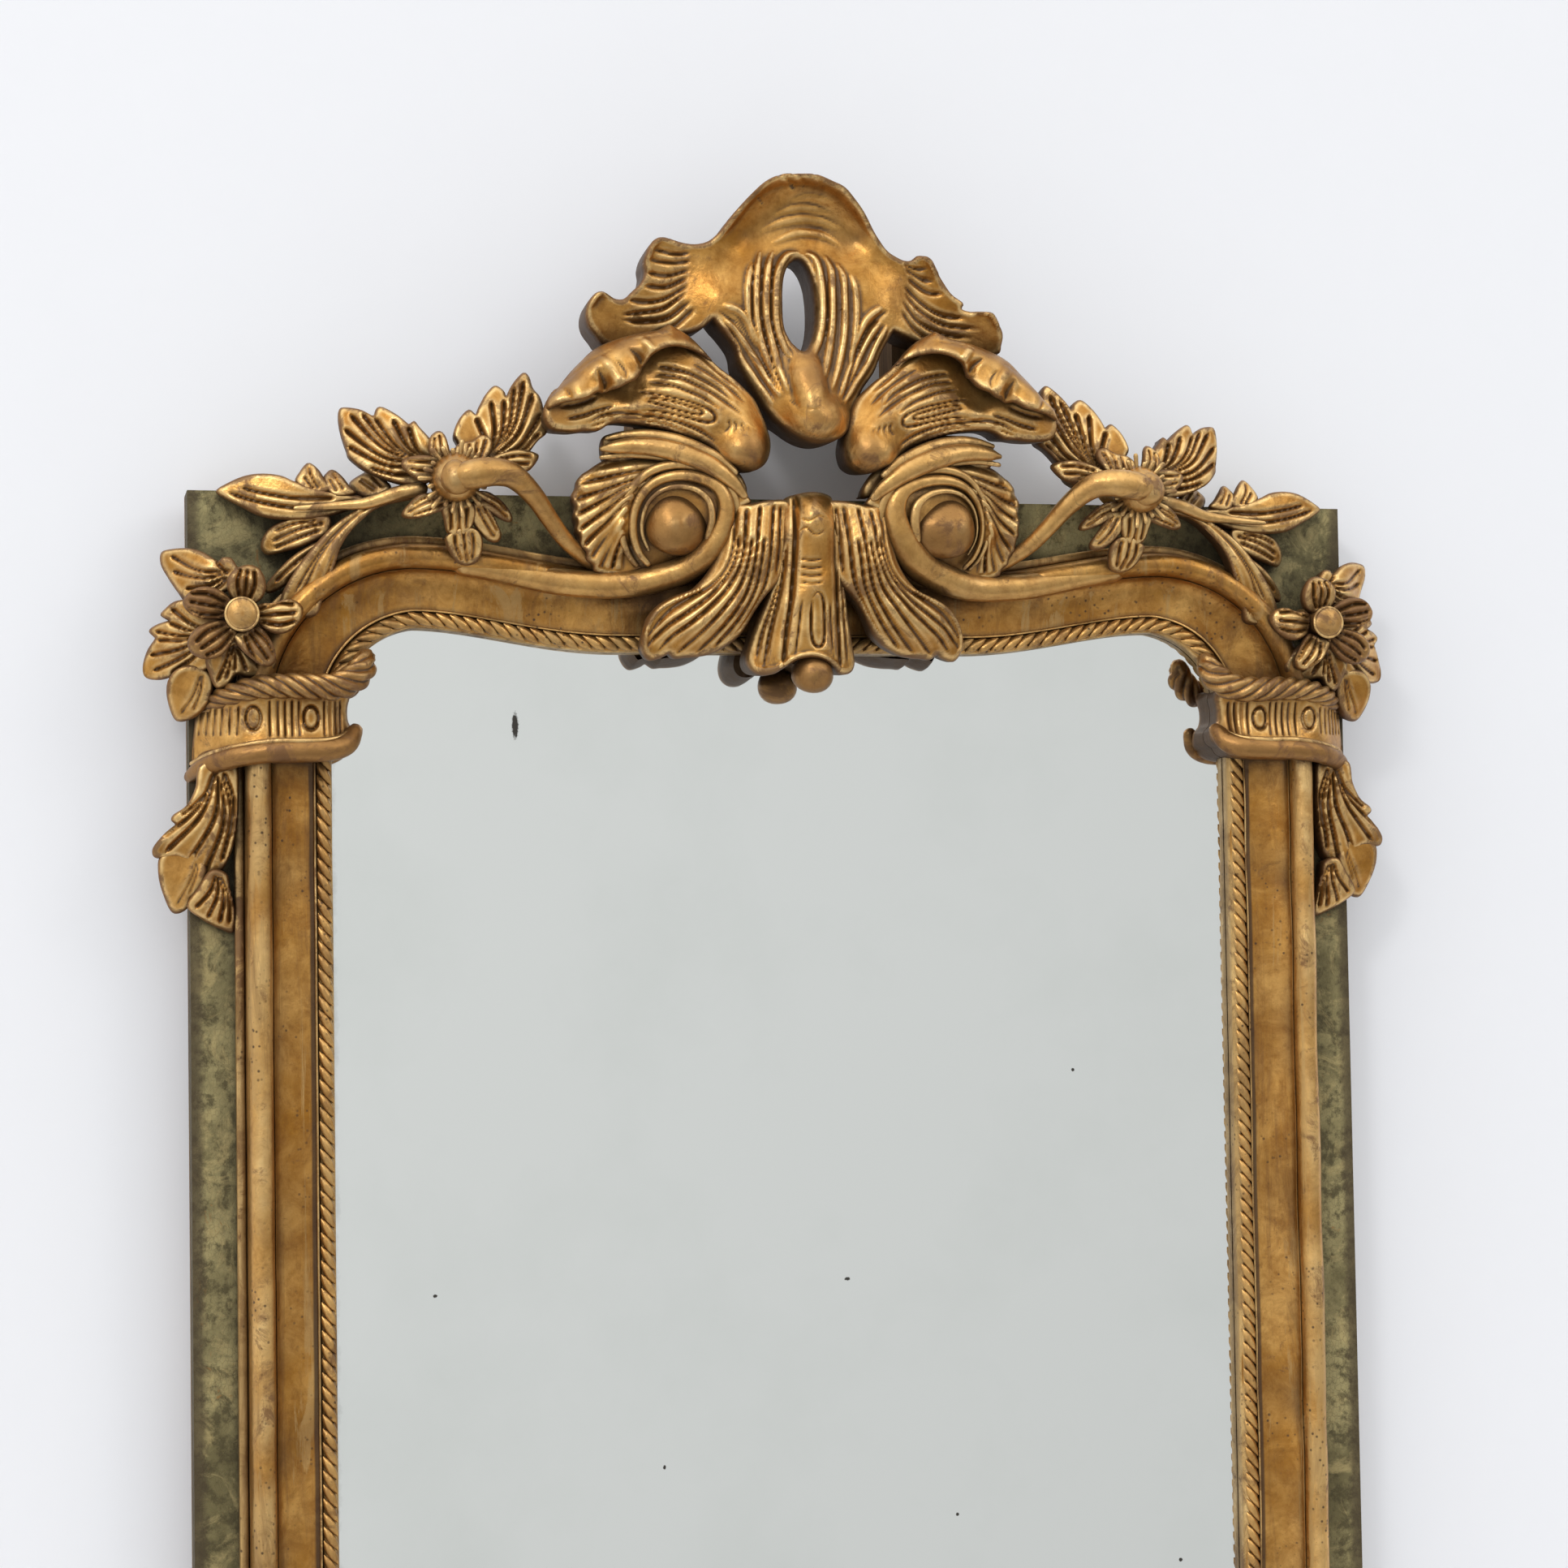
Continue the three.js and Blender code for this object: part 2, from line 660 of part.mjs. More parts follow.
function mouldings() {
  const headSection = mouldingSection(headMouldingWidth);
  const headRope = ropeSection(headMouldingWidth);
  const line = headLine(clearance / 2);
  const volute = voluteRoom(0);
  const capital = join(capitalBody(clearance), capitalRope(clearance));
  for (const [side, sign] of SIDES) {
    const run = moulding(line, headSection, -1).subtract(volute).subtract(capital);
    place(`moulding_head_${side}`, mirrored(widened(run).simplify(fineness), sign), gilt);
    const slip = moulding(line, headRope, -1).subtract(capital);
    place(`rope_head_${side}`, mirrored(widened(slip).simplify(fineness), sign), gilt);
  }

  const section = mouldingSection(mouldingWidth);
  const rope = ropeSection(mouldingWidth);
  const stileLine = [[outerEdge, capitalBottom + 8], [outerEdge, baseTop + clearance]];
  const stileCapital = stretched(capital);
  for (const [side, sign] of SIDES) {
    const run = moulding(stileLine, section, 1).subtract(stileCapital);
    place(`moulding_${side}`, mirrored(run, sign), gilt);
    const slip = moulding(stileLine, rope, 1).subtract(stileCapital);
    place(`rope_${side}`, mirrored(slip, sign), gilt);
  }

  const footEnd = sightEdge - capitalInnerOverhang - 2 * clearance - baseSwell + collarStep;
  const footZ = boardBottom + boardMargin;
  const footLine = [[-footEnd, footZ], [footEnd, footZ]];
  place("moulding_bottom", moulding(footLine, section, -1), gilt);
  place("rope_bottom", moulding(footLine, rope, -1), gilt);
}

// ---------------------------------------------------------------- capitals and bases

// A ring round a shoulder piece, flat against the board and round-cornered in front. Towards the board's
// edge it can droop, by that share of the distance.
function collarRing(z, swell, depth, gap, droop) {
  const outer = drawnHalfWidth - 6 + swell + gap;
  const inner = drawnSightEdge - capitalInnerOverhang + collarStep - swell - gap;
  const front = depth + swell + gap;
  const droopStart = 312;
  const corner = 22;
  const steps = 5;
  const foot = gap > 0 ? -5 : clearance; // a cutter reaches down through the board's face
  const points = [[outer, foot]];
  for (let i = 0; i <= steps; i++) {
    const angle = ((i / steps) * Math.PI) / 2;
    points.push([outer - corner * (1 - Math.cos(angle)), front - corner * (1 - Math.sin(angle))]);
  }
  for (let i = 0; i <= steps; i++) {
    const angle = ((1 - i / steps) * Math.PI) / 2;
    points.push([inner + corner * (1 - Math.cos(angle)), front - corner * (1 - Math.sin(angle))]);
  }
  points.push([inner, foot]);
  return points.map(([x, h]) => new THREE.Vector3(x, -h, z - droop * Math.max(0, x - droopStart)));
}

const collar = (levels, depth, gap, droop) =>
  solidOf(loft(levels.map(([z, swell]) => collarRing(z, swell, depth, gap, droop))));

const capitalDroop = 0.3;

// Neck and lower band. The band is a fat half-round; the neck is hollowed between it and the rope above.
function capitalBody(gap) {
  const top = capitalTop - capitalRopeHeight - clearance;
  const neck = top - capitalNeckHeight;
  const bottom = capitalBottom;
  return collar(
    [
      [top + gap, 2],
      [top - 3, 0],
      [neck + 6, 0],
      [neck + 1, 3],
      [neck, 5],
      [(neck + bottom) / 2, 8],
      [bottom + 2, 6],
      [bottom - gap, 2],
    ],
    capitalDepth,
    gap,
    capitalDroop,
  );
}

function capitalRope(gap) {
  const bottom = capitalTop - capitalRopeHeight;
  const middle = (capitalTop + bottom) / 2;
  return collar(
    [
      [capitalTop + gap, 3],
      [middle + 4.5, 9],
      [middle, 11],
      [middle - 4.5, 9],
      [bottom - gap, 4],
    ],
    capitalDepth,
    gap,
    capitalDroop,
  );
}

function capitals() {
  for (const [side, sign] of SIDES) {
    carve(`capital_${side}`, mirrored(capitalBody(0).subtract(grown(capitalRope(0))), sign));
    carve(`capital_rope_${side}`, mirrored(capitalRope(0), sign));
  }
}

// A plain stepped plinth stops each stile at the foot.
function bases() {
  for (const [side, sign] of SIDES) {
    const solid = collar(
      [
        [baseBottom, baseSwell],
        [baseTop - 34, baseSwell],
        [baseTop - 30, 4],
        [baseTop - 22, 2],
        [baseTop - 16, 6],
        [baseTop - 8, 6],
        [baseTop - 4, 2],
        [baseTop, 2],
      ],
      capitalDepth,
      0,
      0,
    );
    carve(`base_${side}`, mirrored(solid, sign));
  }
}

// ---------------------------------------------------------------- cresting

const onBoard = clearance;
const onRidge = drawnRidge + clearance;

// The end of the head's ridge, wound into a scroll round a domed eye.
function volute() {
  const [x0, z0] = voluteCentre;
  const dishProfile = [[0, onBoard], [voluteRadius, onBoard], [voluteRadius, 22], [19, 26], [0, 30]];
  const dish = turned(voluteCentre, dishProfile, 24);
  const eye = knob([x0 + 3, z0 + 2, 28], [19, 19, 20], 12);
  const points = [];
  const radii = [];
  const turns = 1.15;
  const steps = 8;
  for (let i = 0; i <= steps; i++) {
    const t = i / steps;
    const angle = -Math.PI * 0.55 - 2 * Math.PI * turns * t;
    const wire = THREE.MathUtils.lerp(6.5, 3, t);
    const radius = THREE.MathUtils.lerp(voluteRadius - 6.6, 17, t);
    points.push([x0 + radius * Math.cos(angle), z0 + radius * Math.sin(angle), 26 + 6 * t]);
    radii.push(wire);
  }
  return join(dish, eye, stem(points, radii, 6, 22));
}

// The comb of flutes that breaks outwards from each volute like a wave.
const waveGrooves = [
  [[44, -9, 33], [57, 8, 42], [80, 14, 44], [104, 8, 40], [119, -12, 34], [117, -42, 27]],
  [[43, -8, 33], [57, 10, 42], [80, 16, 44], [106, 11, 40], [124, -9, 34], [125, -40, 27]],
  [[42, -6, 33], [56, 11, 42], [80, 18, 43], [108, 13, 39], [128, -7, 34], [132, -32, 27]],
  [[41, -4, 33], [56, 13, 41], [80, 20, 42], [109, 16, 38], [130, -3, 33], [136, -21, 27]],
  [[40, -2, 33], [55, 15, 40], [79, 22, 41], [108, 18, 38], [128, 4, 33], [138, -10, 27]],
  [[40, 1, 33], [54, 17, 39], [78, 24, 40], [103, 21, 38], [122, 12, 34], [136, 1, 28]],
  [[40, 4, 32], [53, 19, 38], [76, 26, 39], [96, 26, 38], [108, 24, 36], [118, 18, 31]],
  [[40, 8, 31], [54, 21.5, 36], [76, 29.5, 37], [94, 29.8, 37], [106, 29.8, 35], [117, 27, 31]],
];

// The big leaf of each side, rising from a knob beside the centre and ribbed along its length.
const leafGrooves = [
  [[22, 40, 46], [38, 60, 48], [56, 73, 46], [74, 82, 42], [92, 86, 38]],
  [[24, 37, 47], [42, 55, 50], [62, 67, 48], [82, 75, 44], [106, 80, 38]],
  [[27, 34, 48], [48, 49, 51], [69, 60, 49], [92, 67, 44], [122, 70, 37]],
  [[31, 30, 48], [54, 44, 51], [76, 53, 49], [102, 58, 43], [137, 59, 36]],
  [[35, 26, 47], [60, 39, 50], [82, 46, 48], [112, 50, 42], [151, 50, 34]],
  [[39, 22, 45], [63, 34, 48], [86, 40, 46], [118, 43, 40], [153, 42, 32]],
  [[43, 17, 42], [67, 30, 44], [90, 34, 43], [120, 35, 38], [149, 33.5, 31]],
];
const leafTips = [
  [100, 89, 36],
  [121, 82, 36],
  [137, 68, 35],
  [148, 56, 34],
  [155, 46, 32],
  [153, 37, 31],
];

// The leaf that sweeps from under the volute down over the end of the moulding.
const sweepGrooves = [
  [[57, -24, 44], [60, -40, 45], [70, -54, 43], [86, -65, 38], [99, -84, 32]],
  [[50, -20, 44], [52, -40, 46], [61, -57, 44], [77, -72, 39], [94, -93, 32]],
  [[43, -18, 43], [45, -41, 46], [53, -60, 44], [68, -77, 40], [84, -94, 33]],
  [[36, -18, 42], [38, -42, 45], [46, -62, 44], [58, -79, 40], [71, -96, 33]],
  [[29, -18, 40], [32, -43, 43], [39, -64, 43], [49, -80, 40], [59, -94, 34]],
  [[22.5, -18, 38], [25, -44, 41], [32, -65, 41], [39, -79, 39], [47, -88, 35]],
];

function comb() {
  const whole = flutedLeaf({ grooves: waveGrooves, rib: 3, lobe: 0.08, back: onBoard, along: 8 });
  const belowFoot = block([100, -80, -2], [150, -mouldingFoot + 3, throughCarving]);
  return whole.subtract(voluteRoom(-2)).subtract(belowFoot);
}

// The shell at the top, from its centre line round to its lower ear.
const shellGrooves = [
  [[0, 47, 34], [0, 110, 40], [0, 150, 43], [0, 177.5, 60]],
  [[5, 47, 35], [15, 108, 40], [18, 148, 44], [16, 176, 59]],
  [[8, 48, 36], [25, 104, 40], [31, 142, 43], [30, 166, 56]],
  [[11, 48, 36], [33, 100, 38], [41, 132, 42], [43, 154, 51]],
  [[13, 49, 36], [39, 95, 36], [50, 122, 38], [54, 141, 43]],
  [[15, 50, 35], [45, 91, 34], [60, 114, 36], [70, 136, 39]],
  [[17, 51, 34], [52, 88, 33], [72, 108, 35], [90, 131, 37]],
  [[19, 52, 33], [58, 84, 32], [80, 98, 34], [103, 107, 34]],
  [[20, 53, 32], [62, 80, 31], [88, 88, 32], [118, 82, 31]],
];
const shellTips = [
  [9, 181, 64],
  [23, 174, 61],
  [37, 161, 56],
  [49, 150, 50],
  [63, 141, 43],
  [81, 145, 42],
  [97, 121, 36],
  [126, 100, 34],
];
const slotTop = 135;
const slotBottom = 80;
const slotWidth = 23;
const shellHole = [[60, 93], [51, 97], [44, 86], [41, 78], [42, 70], [48, 71], [56, 80]];

// The leaf that hangs over the moulding from the middle of the crest, ending in a small knob.
const dropGrooves = [
  [[6, -5, 40], [7, -35, 43], [8, -72, 47], [8, -103, 50]],
  [[11, -7, 38], [12, -32, 40], [15, -72, 44], [19, -104, 46]],
  [[15, -10, 35], [16, -32, 36], [24, -70, 38], [31, -97, 40]],
];

// Copies a line of points or a set of grooves on to both sides of the centre line.
const flip = (points) => points.map(([x, z, h]) => [-x, z, h]);
const bothSides = (grooves) => [...grooves.map(flip).reverse(), ...grooves.filter((g) => g[1][0] !== 0)];

function crestSides() {
  const scroll = voluteRoom(-2);
  const sweep = flutedLeaf({ grooves: sweepGrooves, rib: 3, lobe: 0.16, back: onRidge, along: 5 });
  const sweepRoot = block([23, -mouldingFoot + clearance, onBoard], [54, -20, onRidge + 4]);
  const sweepLeaf = join(sweep, sweepRoot).subtract(scroll);
  const wave = comb();
  const leafBody = flutedLeaf({
    grooves: leafGrooves,
    tips: leafTips,
    rib: 3.4,
    back: onBoard,
    along: 8,
  });
  const root = knob([36, 22, 36], [14.5, 13, 20], 12).intersect(block([0, -10, onBoard], [80, 60, 80]));
  const bigLeaf = join(leafBody, root).subtract(grown(wave));
  for (const [side, sign] of SIDES) {
    carve(`volute_${side}`, mirrored(volute(), sign));
    carve(`sweep_leaf_${side}`, mirrored(sweepLeaf, sign));
    carve(`wave_comb_${side}`, mirrored(wave, sign));
    carve(`crest_leaf_${side}`, mirrored(bigLeaf, sign));
  }
  return grown(bigLeaf);
}

function crestMiddle(leafRoom) {
  const grooves = bothSides(shellGrooves);
  const tips = [...flip(shellTips).reverse(), ...shellTips];
  let shell = flutedLeaf({ grooves, tips, rib: 2.6, thickness: 26, back: onBoard, along: 6 });
  const slot = outlined(roundedSlot(slotWidth, slotBottom, slotTop));
  const hole = outlined(new THREE.Shape(shellHole.map(([x, z]) => new THREE.Vector2(x, z))));
  shell = shell.subtract(slot).subtract(hole).subtract(acrossCentre(hole));
  shell = shell.add(knob([0, 43, 46], [14, 15, 16], 12));
  shell = shell.subtract(leafRoom).subtract(acrossCentre(leafRoom));
  carve("crest_shell", shell);

  const dropLines = bothSides(dropGrooves);
  const drop = flutedLeaf({ grooves: dropLines, rib: 3, lobe: 0.05, back: onRidge, along: 6 });
  const root = block([-15, -mouldingFoot + clearance, onBoard], [15, -9, onRidge + 4]);
  const end = knob([0, -108, 42], [11.5, 10.5, 11]);
  carve("drop_leaf", join(drop, root, end));
}

// ---------------------------------------------------------------- flowers and leaves at the shoulders

const topFlower = [206, 1];
const topPetals = [[29, 12], [28, -22], [-5, -47], [-24, -33], [-34, -21]];
const outerLeafTips = [[226, 35], [243, 43], [264, 44], [267, 28], [257, 12]];
const innerLeafTips = [[198, 44], [181, 58], [162, 66], [155, 48], [157, 33]];
const sprigTips = [[270, 9], [286, 12], [334, -3], [311, -37], [300, -53]];
const cornerFlower = [323, -75];
const cornerPetalAngles = [90, 12, -52, -125, 165];
const cornerPetalLength = 30;
const clubStem = [
  [199, 5, 58],
  [185, 9, 56],
  [172, 7, 50],
  [160, -4, 40],
  [152, -17, 28],
  [143, -29, 14],
];
const clubRadii = [8, 7, 6.5, 6, 5, 4.5];
const cornerLeafTips = [[338, -42], [365, -39], [371, -72], [379, -100], [367, -130]];
const pendantTips = [[360, -184], [371, -206], [366, -224], [354, -239], [336, -240], [331, -212]];

function petal([x, z], [dx, dz], heights, rib) {
  const length = Math.hypot(dx, dz);
  const angle = Math.atan2(dz, dx);
  return springingLeaf({
    root: [x, z],
    tips: [[x + length * Math.cos(angle), z + length * Math.sin(angle)]],
    heights,
    rib,
    valley: 0.84,
    edge: 0.42,
    neck: 2,
    thickness: 7,
    back: onRidge,
    along: 3,
  });
}

function shoulders() {
  const [fx, fz] = topFlower;
  const topBoss = turned([fx, fz - 10], [[0, onBoard], [8, onBoard], [9, 53], [0, 53]], 12);
  const petals = topPetals.map((reach) => petal(topFlower, reach, [50, 57, 46], 2.5));
  const club = join(stem(clubStem, clubRadii, 7, 9), knob([201, 4, 57], [8.5, 8, 8], 8));
  const blossom = join(topBoss, ...petals, club);

  const rest = { rib: 3, thickness: 15, back: onBoard, along: 4, valley: 0.8 };
  const outer = springingLeaf({ root: [220, 2], tips: outerLeafTips, heights: [16, 26, 30], ...rest });
  const inner = springingLeaf({ root: [193, 6], tips: innerLeafTips, heights: [16, 28, 34], ...rest });
  const foot = (x, z) => block([x - 5, z - 5, onBoard], [x + 5, z + 5, 20]);
  const outerFoot = foot(228, -6);
  const innerFoot = foot(192, -3);
  const bossRoom = grown(join(topBoss, club));

  const sprigLeaf = springingLeaf({
    root: [236, -6],
    tips: sprigTips,
    heights: [12, 22, 30],
    rib: 2.6,
    thickness: 11,
    back: onBoard,
    along: 3,
    valley: 0.72,
  });

  const [cx, cz] = cornerFlower;
  const cornerBoss = turned([cx + 6, cz], [[0, onBoard], [8, onBoard], [8, 34], [0, 34]], 12);
  const button = knob([cx, cz, 44], [9, 9, 7], 12);
  const cornerPetals = cornerPetalAngles.map((degrees) => {
    const angle = THREE.MathUtils.degToRad(degrees);
    const reach = [cornerPetalLength * Math.cos(angle), cornerPetalLength * Math.sin(angle)];
    return petal(cornerFlower, reach, [40, 45, 36], 2);
  });
  const cornerHead = join(cornerBoss, button, ...cornerPetals);

  const cornerLeaf = springingLeaf({
    root: [332, -78],
    tips: cornerLeafTips,
    heights: [10, 18, 12],
    rib: 3,
    thickness: 14,
    back: onBoard,
    along: 4,
    valley: 0.74,
  });
  const pendant = springingLeaf({
    root: [338, -168],
    tips: pendantTips,
    heights: [9, 10, 7],
    rib: 3,
    thickness: 9,
    back: onBoard,
    along: 4,
    valley: 0.82,
  });

  const capitalRoom = join(capitalBody(clearance), capitalRope(clearance));
  const run = grown(moulding(headLine(1), mouldingSection(headMouldingWidth), -1));
  const stile = [[drawnOuterEdge, capitalTop], [drawnOuterEdge, -300]];
  const stileRun = grown(moulding(stile, mouldingSection(mouldingWidth), 1));
  for (const [side, sign] of SIDES) {
    const add = (name, solid) => carve(`${name}_${side}`, mirrored(solid, sign));
    add("top_flower", blossom.subtract(run));
    add("flower_leaf_outer", join(outer, outerFoot).subtract(bossRoom));
    add("flower_leaf_inner", join(inner, innerFoot).subtract(bossRoom));
    const sprigRoom = grown(join(outer, outerFoot));
    add("sprig_leaf", sprigLeaf.subtract(sprigRoom).subtract(run));
    add("corner_flower", cornerHead);
    add("corner_leaf", cornerLeaf.subtract(grown(cornerHead)).subtract(capitalRoom).subtract(run));
    add("pendant_leaf", pendant.subtract(capitalRoom).subtract(stileRun));
  }
}

// ---------------------------------------------------------------- hanging rings

// Each ring hangs in an eye on an iron plate on the back of the top rail and swings about its own top.
function hangers() {
  const eyeRadius = ringWire + ringPlay + eyeWire;
  const pivotY = clearance + hangerThickness + eyeRadius - eyeWire / 2 + 1;
  const plateMiddle = hangerHeight / 2 - 9;
  const screwInset = hangerHeight / 2 - 5;
  const lowerScrewShift = 6; // keeps that hole clear of the eye
  for (const [side, sign] of SIDES) {
    const x = (sign * ringSpacing) / 2;
    const plate = new THREE.BoxGeometry(hangerWidth, hangerThickness, hangerHeight);
    plate.translate(x, clearance + hangerThickness / 2, plateMiddle);
    const eye = new THREE.TorusGeometry(eyeRadius, eyeWire, 6, 12);
    eye.rotateY(Math.PI / 2);
    eye.translate(x, pivotY, 0);
    let hanger = solidOf(plate).add(solidOf(eye));
    for (const z of [plateMiddle - screwInset, plateMiddle + 8, plateMiddle + screwInset]) {
      const hole = new THREE.CylinderGeometry(screwHole, screwHole, 10, 8);
      hole.translate(x + (z > plateMiddle ? 0 : lowerScrewShift) * sign, 0, z);
      hanger = hanger.subtract(solidOf(hole));
    }
    place(`hanger_plate_${side}`, hanger, iron, part);
    const ring = new THREE.TorusGeometry(ringRadius, ringWire, 6, 20);
    ring.rotateX(Math.PI / 2);
    ring.translate(x, pivotY, -ringRadius);
    place(`hanging_ring_${side}`, solidOf(ring), iron, part);
  }
}

capitals();
bases();
carcass();
crestStruts();
plateAndBacking();
mouldings();
crestMiddle(crestSides());
shoulders();
hangers();

export default part;
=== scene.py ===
"""Pier mirror: carved gilt crest and mouldings on a green painted board, with an old silvered glass."""
import math
import bpy
import numpy as np
from mathutils import Matrix, Vector


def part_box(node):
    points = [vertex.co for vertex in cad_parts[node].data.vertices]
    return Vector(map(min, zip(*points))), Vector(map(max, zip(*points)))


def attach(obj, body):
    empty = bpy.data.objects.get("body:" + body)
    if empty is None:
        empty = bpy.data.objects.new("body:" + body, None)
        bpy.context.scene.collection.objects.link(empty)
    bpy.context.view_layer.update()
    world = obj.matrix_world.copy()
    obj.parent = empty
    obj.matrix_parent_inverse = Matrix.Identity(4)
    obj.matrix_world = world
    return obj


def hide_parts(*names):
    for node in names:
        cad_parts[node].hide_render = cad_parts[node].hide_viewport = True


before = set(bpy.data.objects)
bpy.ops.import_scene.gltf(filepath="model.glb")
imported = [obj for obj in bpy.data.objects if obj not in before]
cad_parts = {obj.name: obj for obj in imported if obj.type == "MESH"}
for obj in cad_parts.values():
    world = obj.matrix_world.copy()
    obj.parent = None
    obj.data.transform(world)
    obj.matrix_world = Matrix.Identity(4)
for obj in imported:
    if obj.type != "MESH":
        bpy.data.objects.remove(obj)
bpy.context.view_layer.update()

BODY = "mirror"
BOARD_FACE = 30.0      # board's front face, mm in front of the wall
HANG_DROP = 36.0       # board's top edge above the hanging point, mm
EYE = np.array((-448.0, -254.0, 1838.0))   # where the working drawings were taken from, mm


# ---------------------------------------------------------------- lines and heights

def metres(points):
    """Drawing millimetres (across, up from the board's top edge, out from its face) to metres."""
    p = np.asarray(points, float)
    return np.column_stack((p[:, 0], -(BOARD_FACE + p[:, 2]), HANG_DROP + p[:, 1])) / 1000


def seen(points, plane):
    """Points drawn on a plane at height `plane`, moved along the line of sight to their own height."""
    p = np.array(points, float)
    t = (EYE[2] - p[:, 2]) / (EYE[2] - plane)
    p[:, :2] = EYE[:2] + (p[:, :2] - EYE[:2]) * t[:, None]
    return p


def smooth(points, closed=False, step=1.6):
    """Catmull-Rom line through the points, any number of values each; a doubled point is a corner."""
    p = np.array([list(map(float, q)) for q in points])
    n = len(p)
    out = []
    for i in range(n if closed else n - 1):
        a, b = p[i], p[(i + 1) % n]
        span = np.linalg.norm(b[:2] - a[:2])
        if span < 1e-9 and np.allclose(a, b):
            continue
        before = p[(i - 1) % n] if closed or i > 0 else 2 * a - b
        after = p[(i + 2) % n] if closed or i + 2 < n else 2 * b - a
        if np.allclose(before, a):
            before = 2 * a - b
        if np.allclose(after, b):
            after = 2 * b - a
        t = np.linspace(0, 1, max(2, int(math.ceil(span / step)) + 1))[:-1, None]
        out.append(0.5 * (2 * a + (b - before) * t + (2 * before - 5 * a + 4 * b - after) * t ** 2
                          + (3 * a - before - 3 * b + after) * t ** 3))
    if not closed:
        out.append(p[-1:])
    return np.vstack(out)


def ground_of(samples):
    """Smooth sheet through (across, up, height) samples."""
    s = np.asarray(samples, float)
    at = s[:, :2] / 100

    def spline(r2):
        return 0.5 * r2 * np.log(r2 + 1e-12)

    n = len(s)
    k = spline(((at[:, None] - at[None]) ** 2).sum(2)) + np.eye(n) * 1e-3
    flat = np.column_stack((np.ones(n), at))
    a = np.zeros((n + 3, n + 3))
    a[:n, :n], a[:n, n:], a[n:, :n] = k, flat, flat.T
    w = np.linalg.solve(a, np.concatenate((s[:, 2], np.zeros(3))))

    def height(points):
        q = np.asarray(points, float)[:, :2] / 100
        r = spline(((q[:, None] - at[None]) ** 2).sum(2))
        return r @ w[:n] + w[n] + q @ w[n + 1:]
    return height


def nearest(points, lines, closed=True):
    """Distance from each point to the lines, the nearest point and how far along it lies (0 to 1)."""
    points = np.asarray(points, float)
    starts, ends, along = [], [], []
    for line in lines:
        nxt = np.roll(line, -1, 0) if closed else line[1:]
        cur = line if closed else line[:-1]
        starts.append(cur)
        ends.append(nxt)
        length = np.linalg.norm(nxt - cur, axis=1)
        reach = np.concatenate(([0], np.cumsum(length)))
        along.append(np.column_stack((reach[:-1], reach[1:])) / max(reach[-1], 1e-9))
    a, b, s = np.vstack(starts), np.vstack(ends), np.vstack(along)
    ab = b - a
    size = np.maximum((ab ** 2).sum(1), 1e-12)
    dist, foot, part = np.empty(len(points)), np.empty((len(points), 2)), np.empty(len(points))
    for i in range(0, len(points), 3000):
        p = points[i:i + 3000]
        t = np.clip(((p[:, None] - a) * ab).sum(2) / size, 0, 1)
        q = a + t[..., None] * ab
        d2 = ((p[:, None] - q) ** 2).sum(2)
        j = d2.argmin(1)
        rows = np.arange(len(p))
        dist[i:i + 3000] = np.sqrt(d2[rows, j])
        foot[i:i + 3000] = q[rows, j]
        part[i:i + 3000] = s[j, 0] + t[rows, j] * (s[j, 1] - s[j, 0])
    return dist, foot, part


def inside(line, points):
    """Which points lie within a closed line."""
    x, y = points[:, 0], points[:, 1]
    hit = np.zeros(len(points), bool)
    for a, b in zip(line, np.roll(line, -1, 0)):
        if a[1] == b[1]:
            continue
        cross = (a[1] > y) != (b[1] > y)
        hit ^= cross & (x < (b[0] - a[0]) * (y - a[1]) / (b[1] - a[1]) + a[0])
    return hit


def wobble(points, size=0.25):
    """Unevenness of hand-cut wood, in millimetres."""
    x, z = points[:, 0], points[:, 1]
    return size * (np.sin(x * 0.13 + z * 0.06 + 1.3) + np.sin(z * 0.17 - x * 0.05)
                   + 0.7 * np.sin(x * 0.21 - z * 0.24 + 2.1 * np.sin(z * 0.05)))


# ---------------------------------------------------------------- carving tools

def groove(wide, deep, *line, root=0.12, tip=0.2):
    """A V-cut with soft shoulders: half width, depth, and the line that the gouge follows."""
    return ("cut", wide, deep, line, root, tip)


def rib(wide, high, *line, root=0.12, tip=0.2):
    """A rounded raised rib: half width, height and its line."""
    return ("rib", wide, high, line, root, tip)


def join(*forms):
    """Several meshes as one; each is (points, faces, bole)."""
    points, faces, bole, n = [], [], [], 0
    for p, f, b in forms:
        points.append(p)
        faces.append(np.where(f >= 0, f + n, -1))
        bole.append(b)
        n += len(p)
    return np.vstack(points), np.vstack(faces), np.concatenate(bole)


def links(faces):
    """Both ends of every edge of a mesh of quads and triangles (a triangle's last corner is -1)."""
    quad = faces[:, 3] >= 0
    q, t = faces[quad], faces[~quad, :3]
    pairs = [q[:, [i, (i + 1) % 4]] for i in range(4)] + [t[:, [i, (i + 1) % 3]] for i in range(3)]
    e = np.vstack(pairs)
    e = np.unique(np.sort(e, 1), axis=0)
    return np.vstack((e, e[:, ::-1]))


def relaxed(values, edges, times, free=None):
    """Values of each point evened out with its neighbours'."""
    v = np.array(values, float)
    count = np.maximum(np.bincount(edges[:, 0], minlength=len(v)), 1)
    for _ in range(times):
        mean = np.column_stack([np.bincount(edges[:, 0], v[edges[:, 1], k], len(v)) / count
                                for k in range(v.shape[1])])
        if free is None:
            v = mean
        else:
            v[free] = mean[free]
    return v


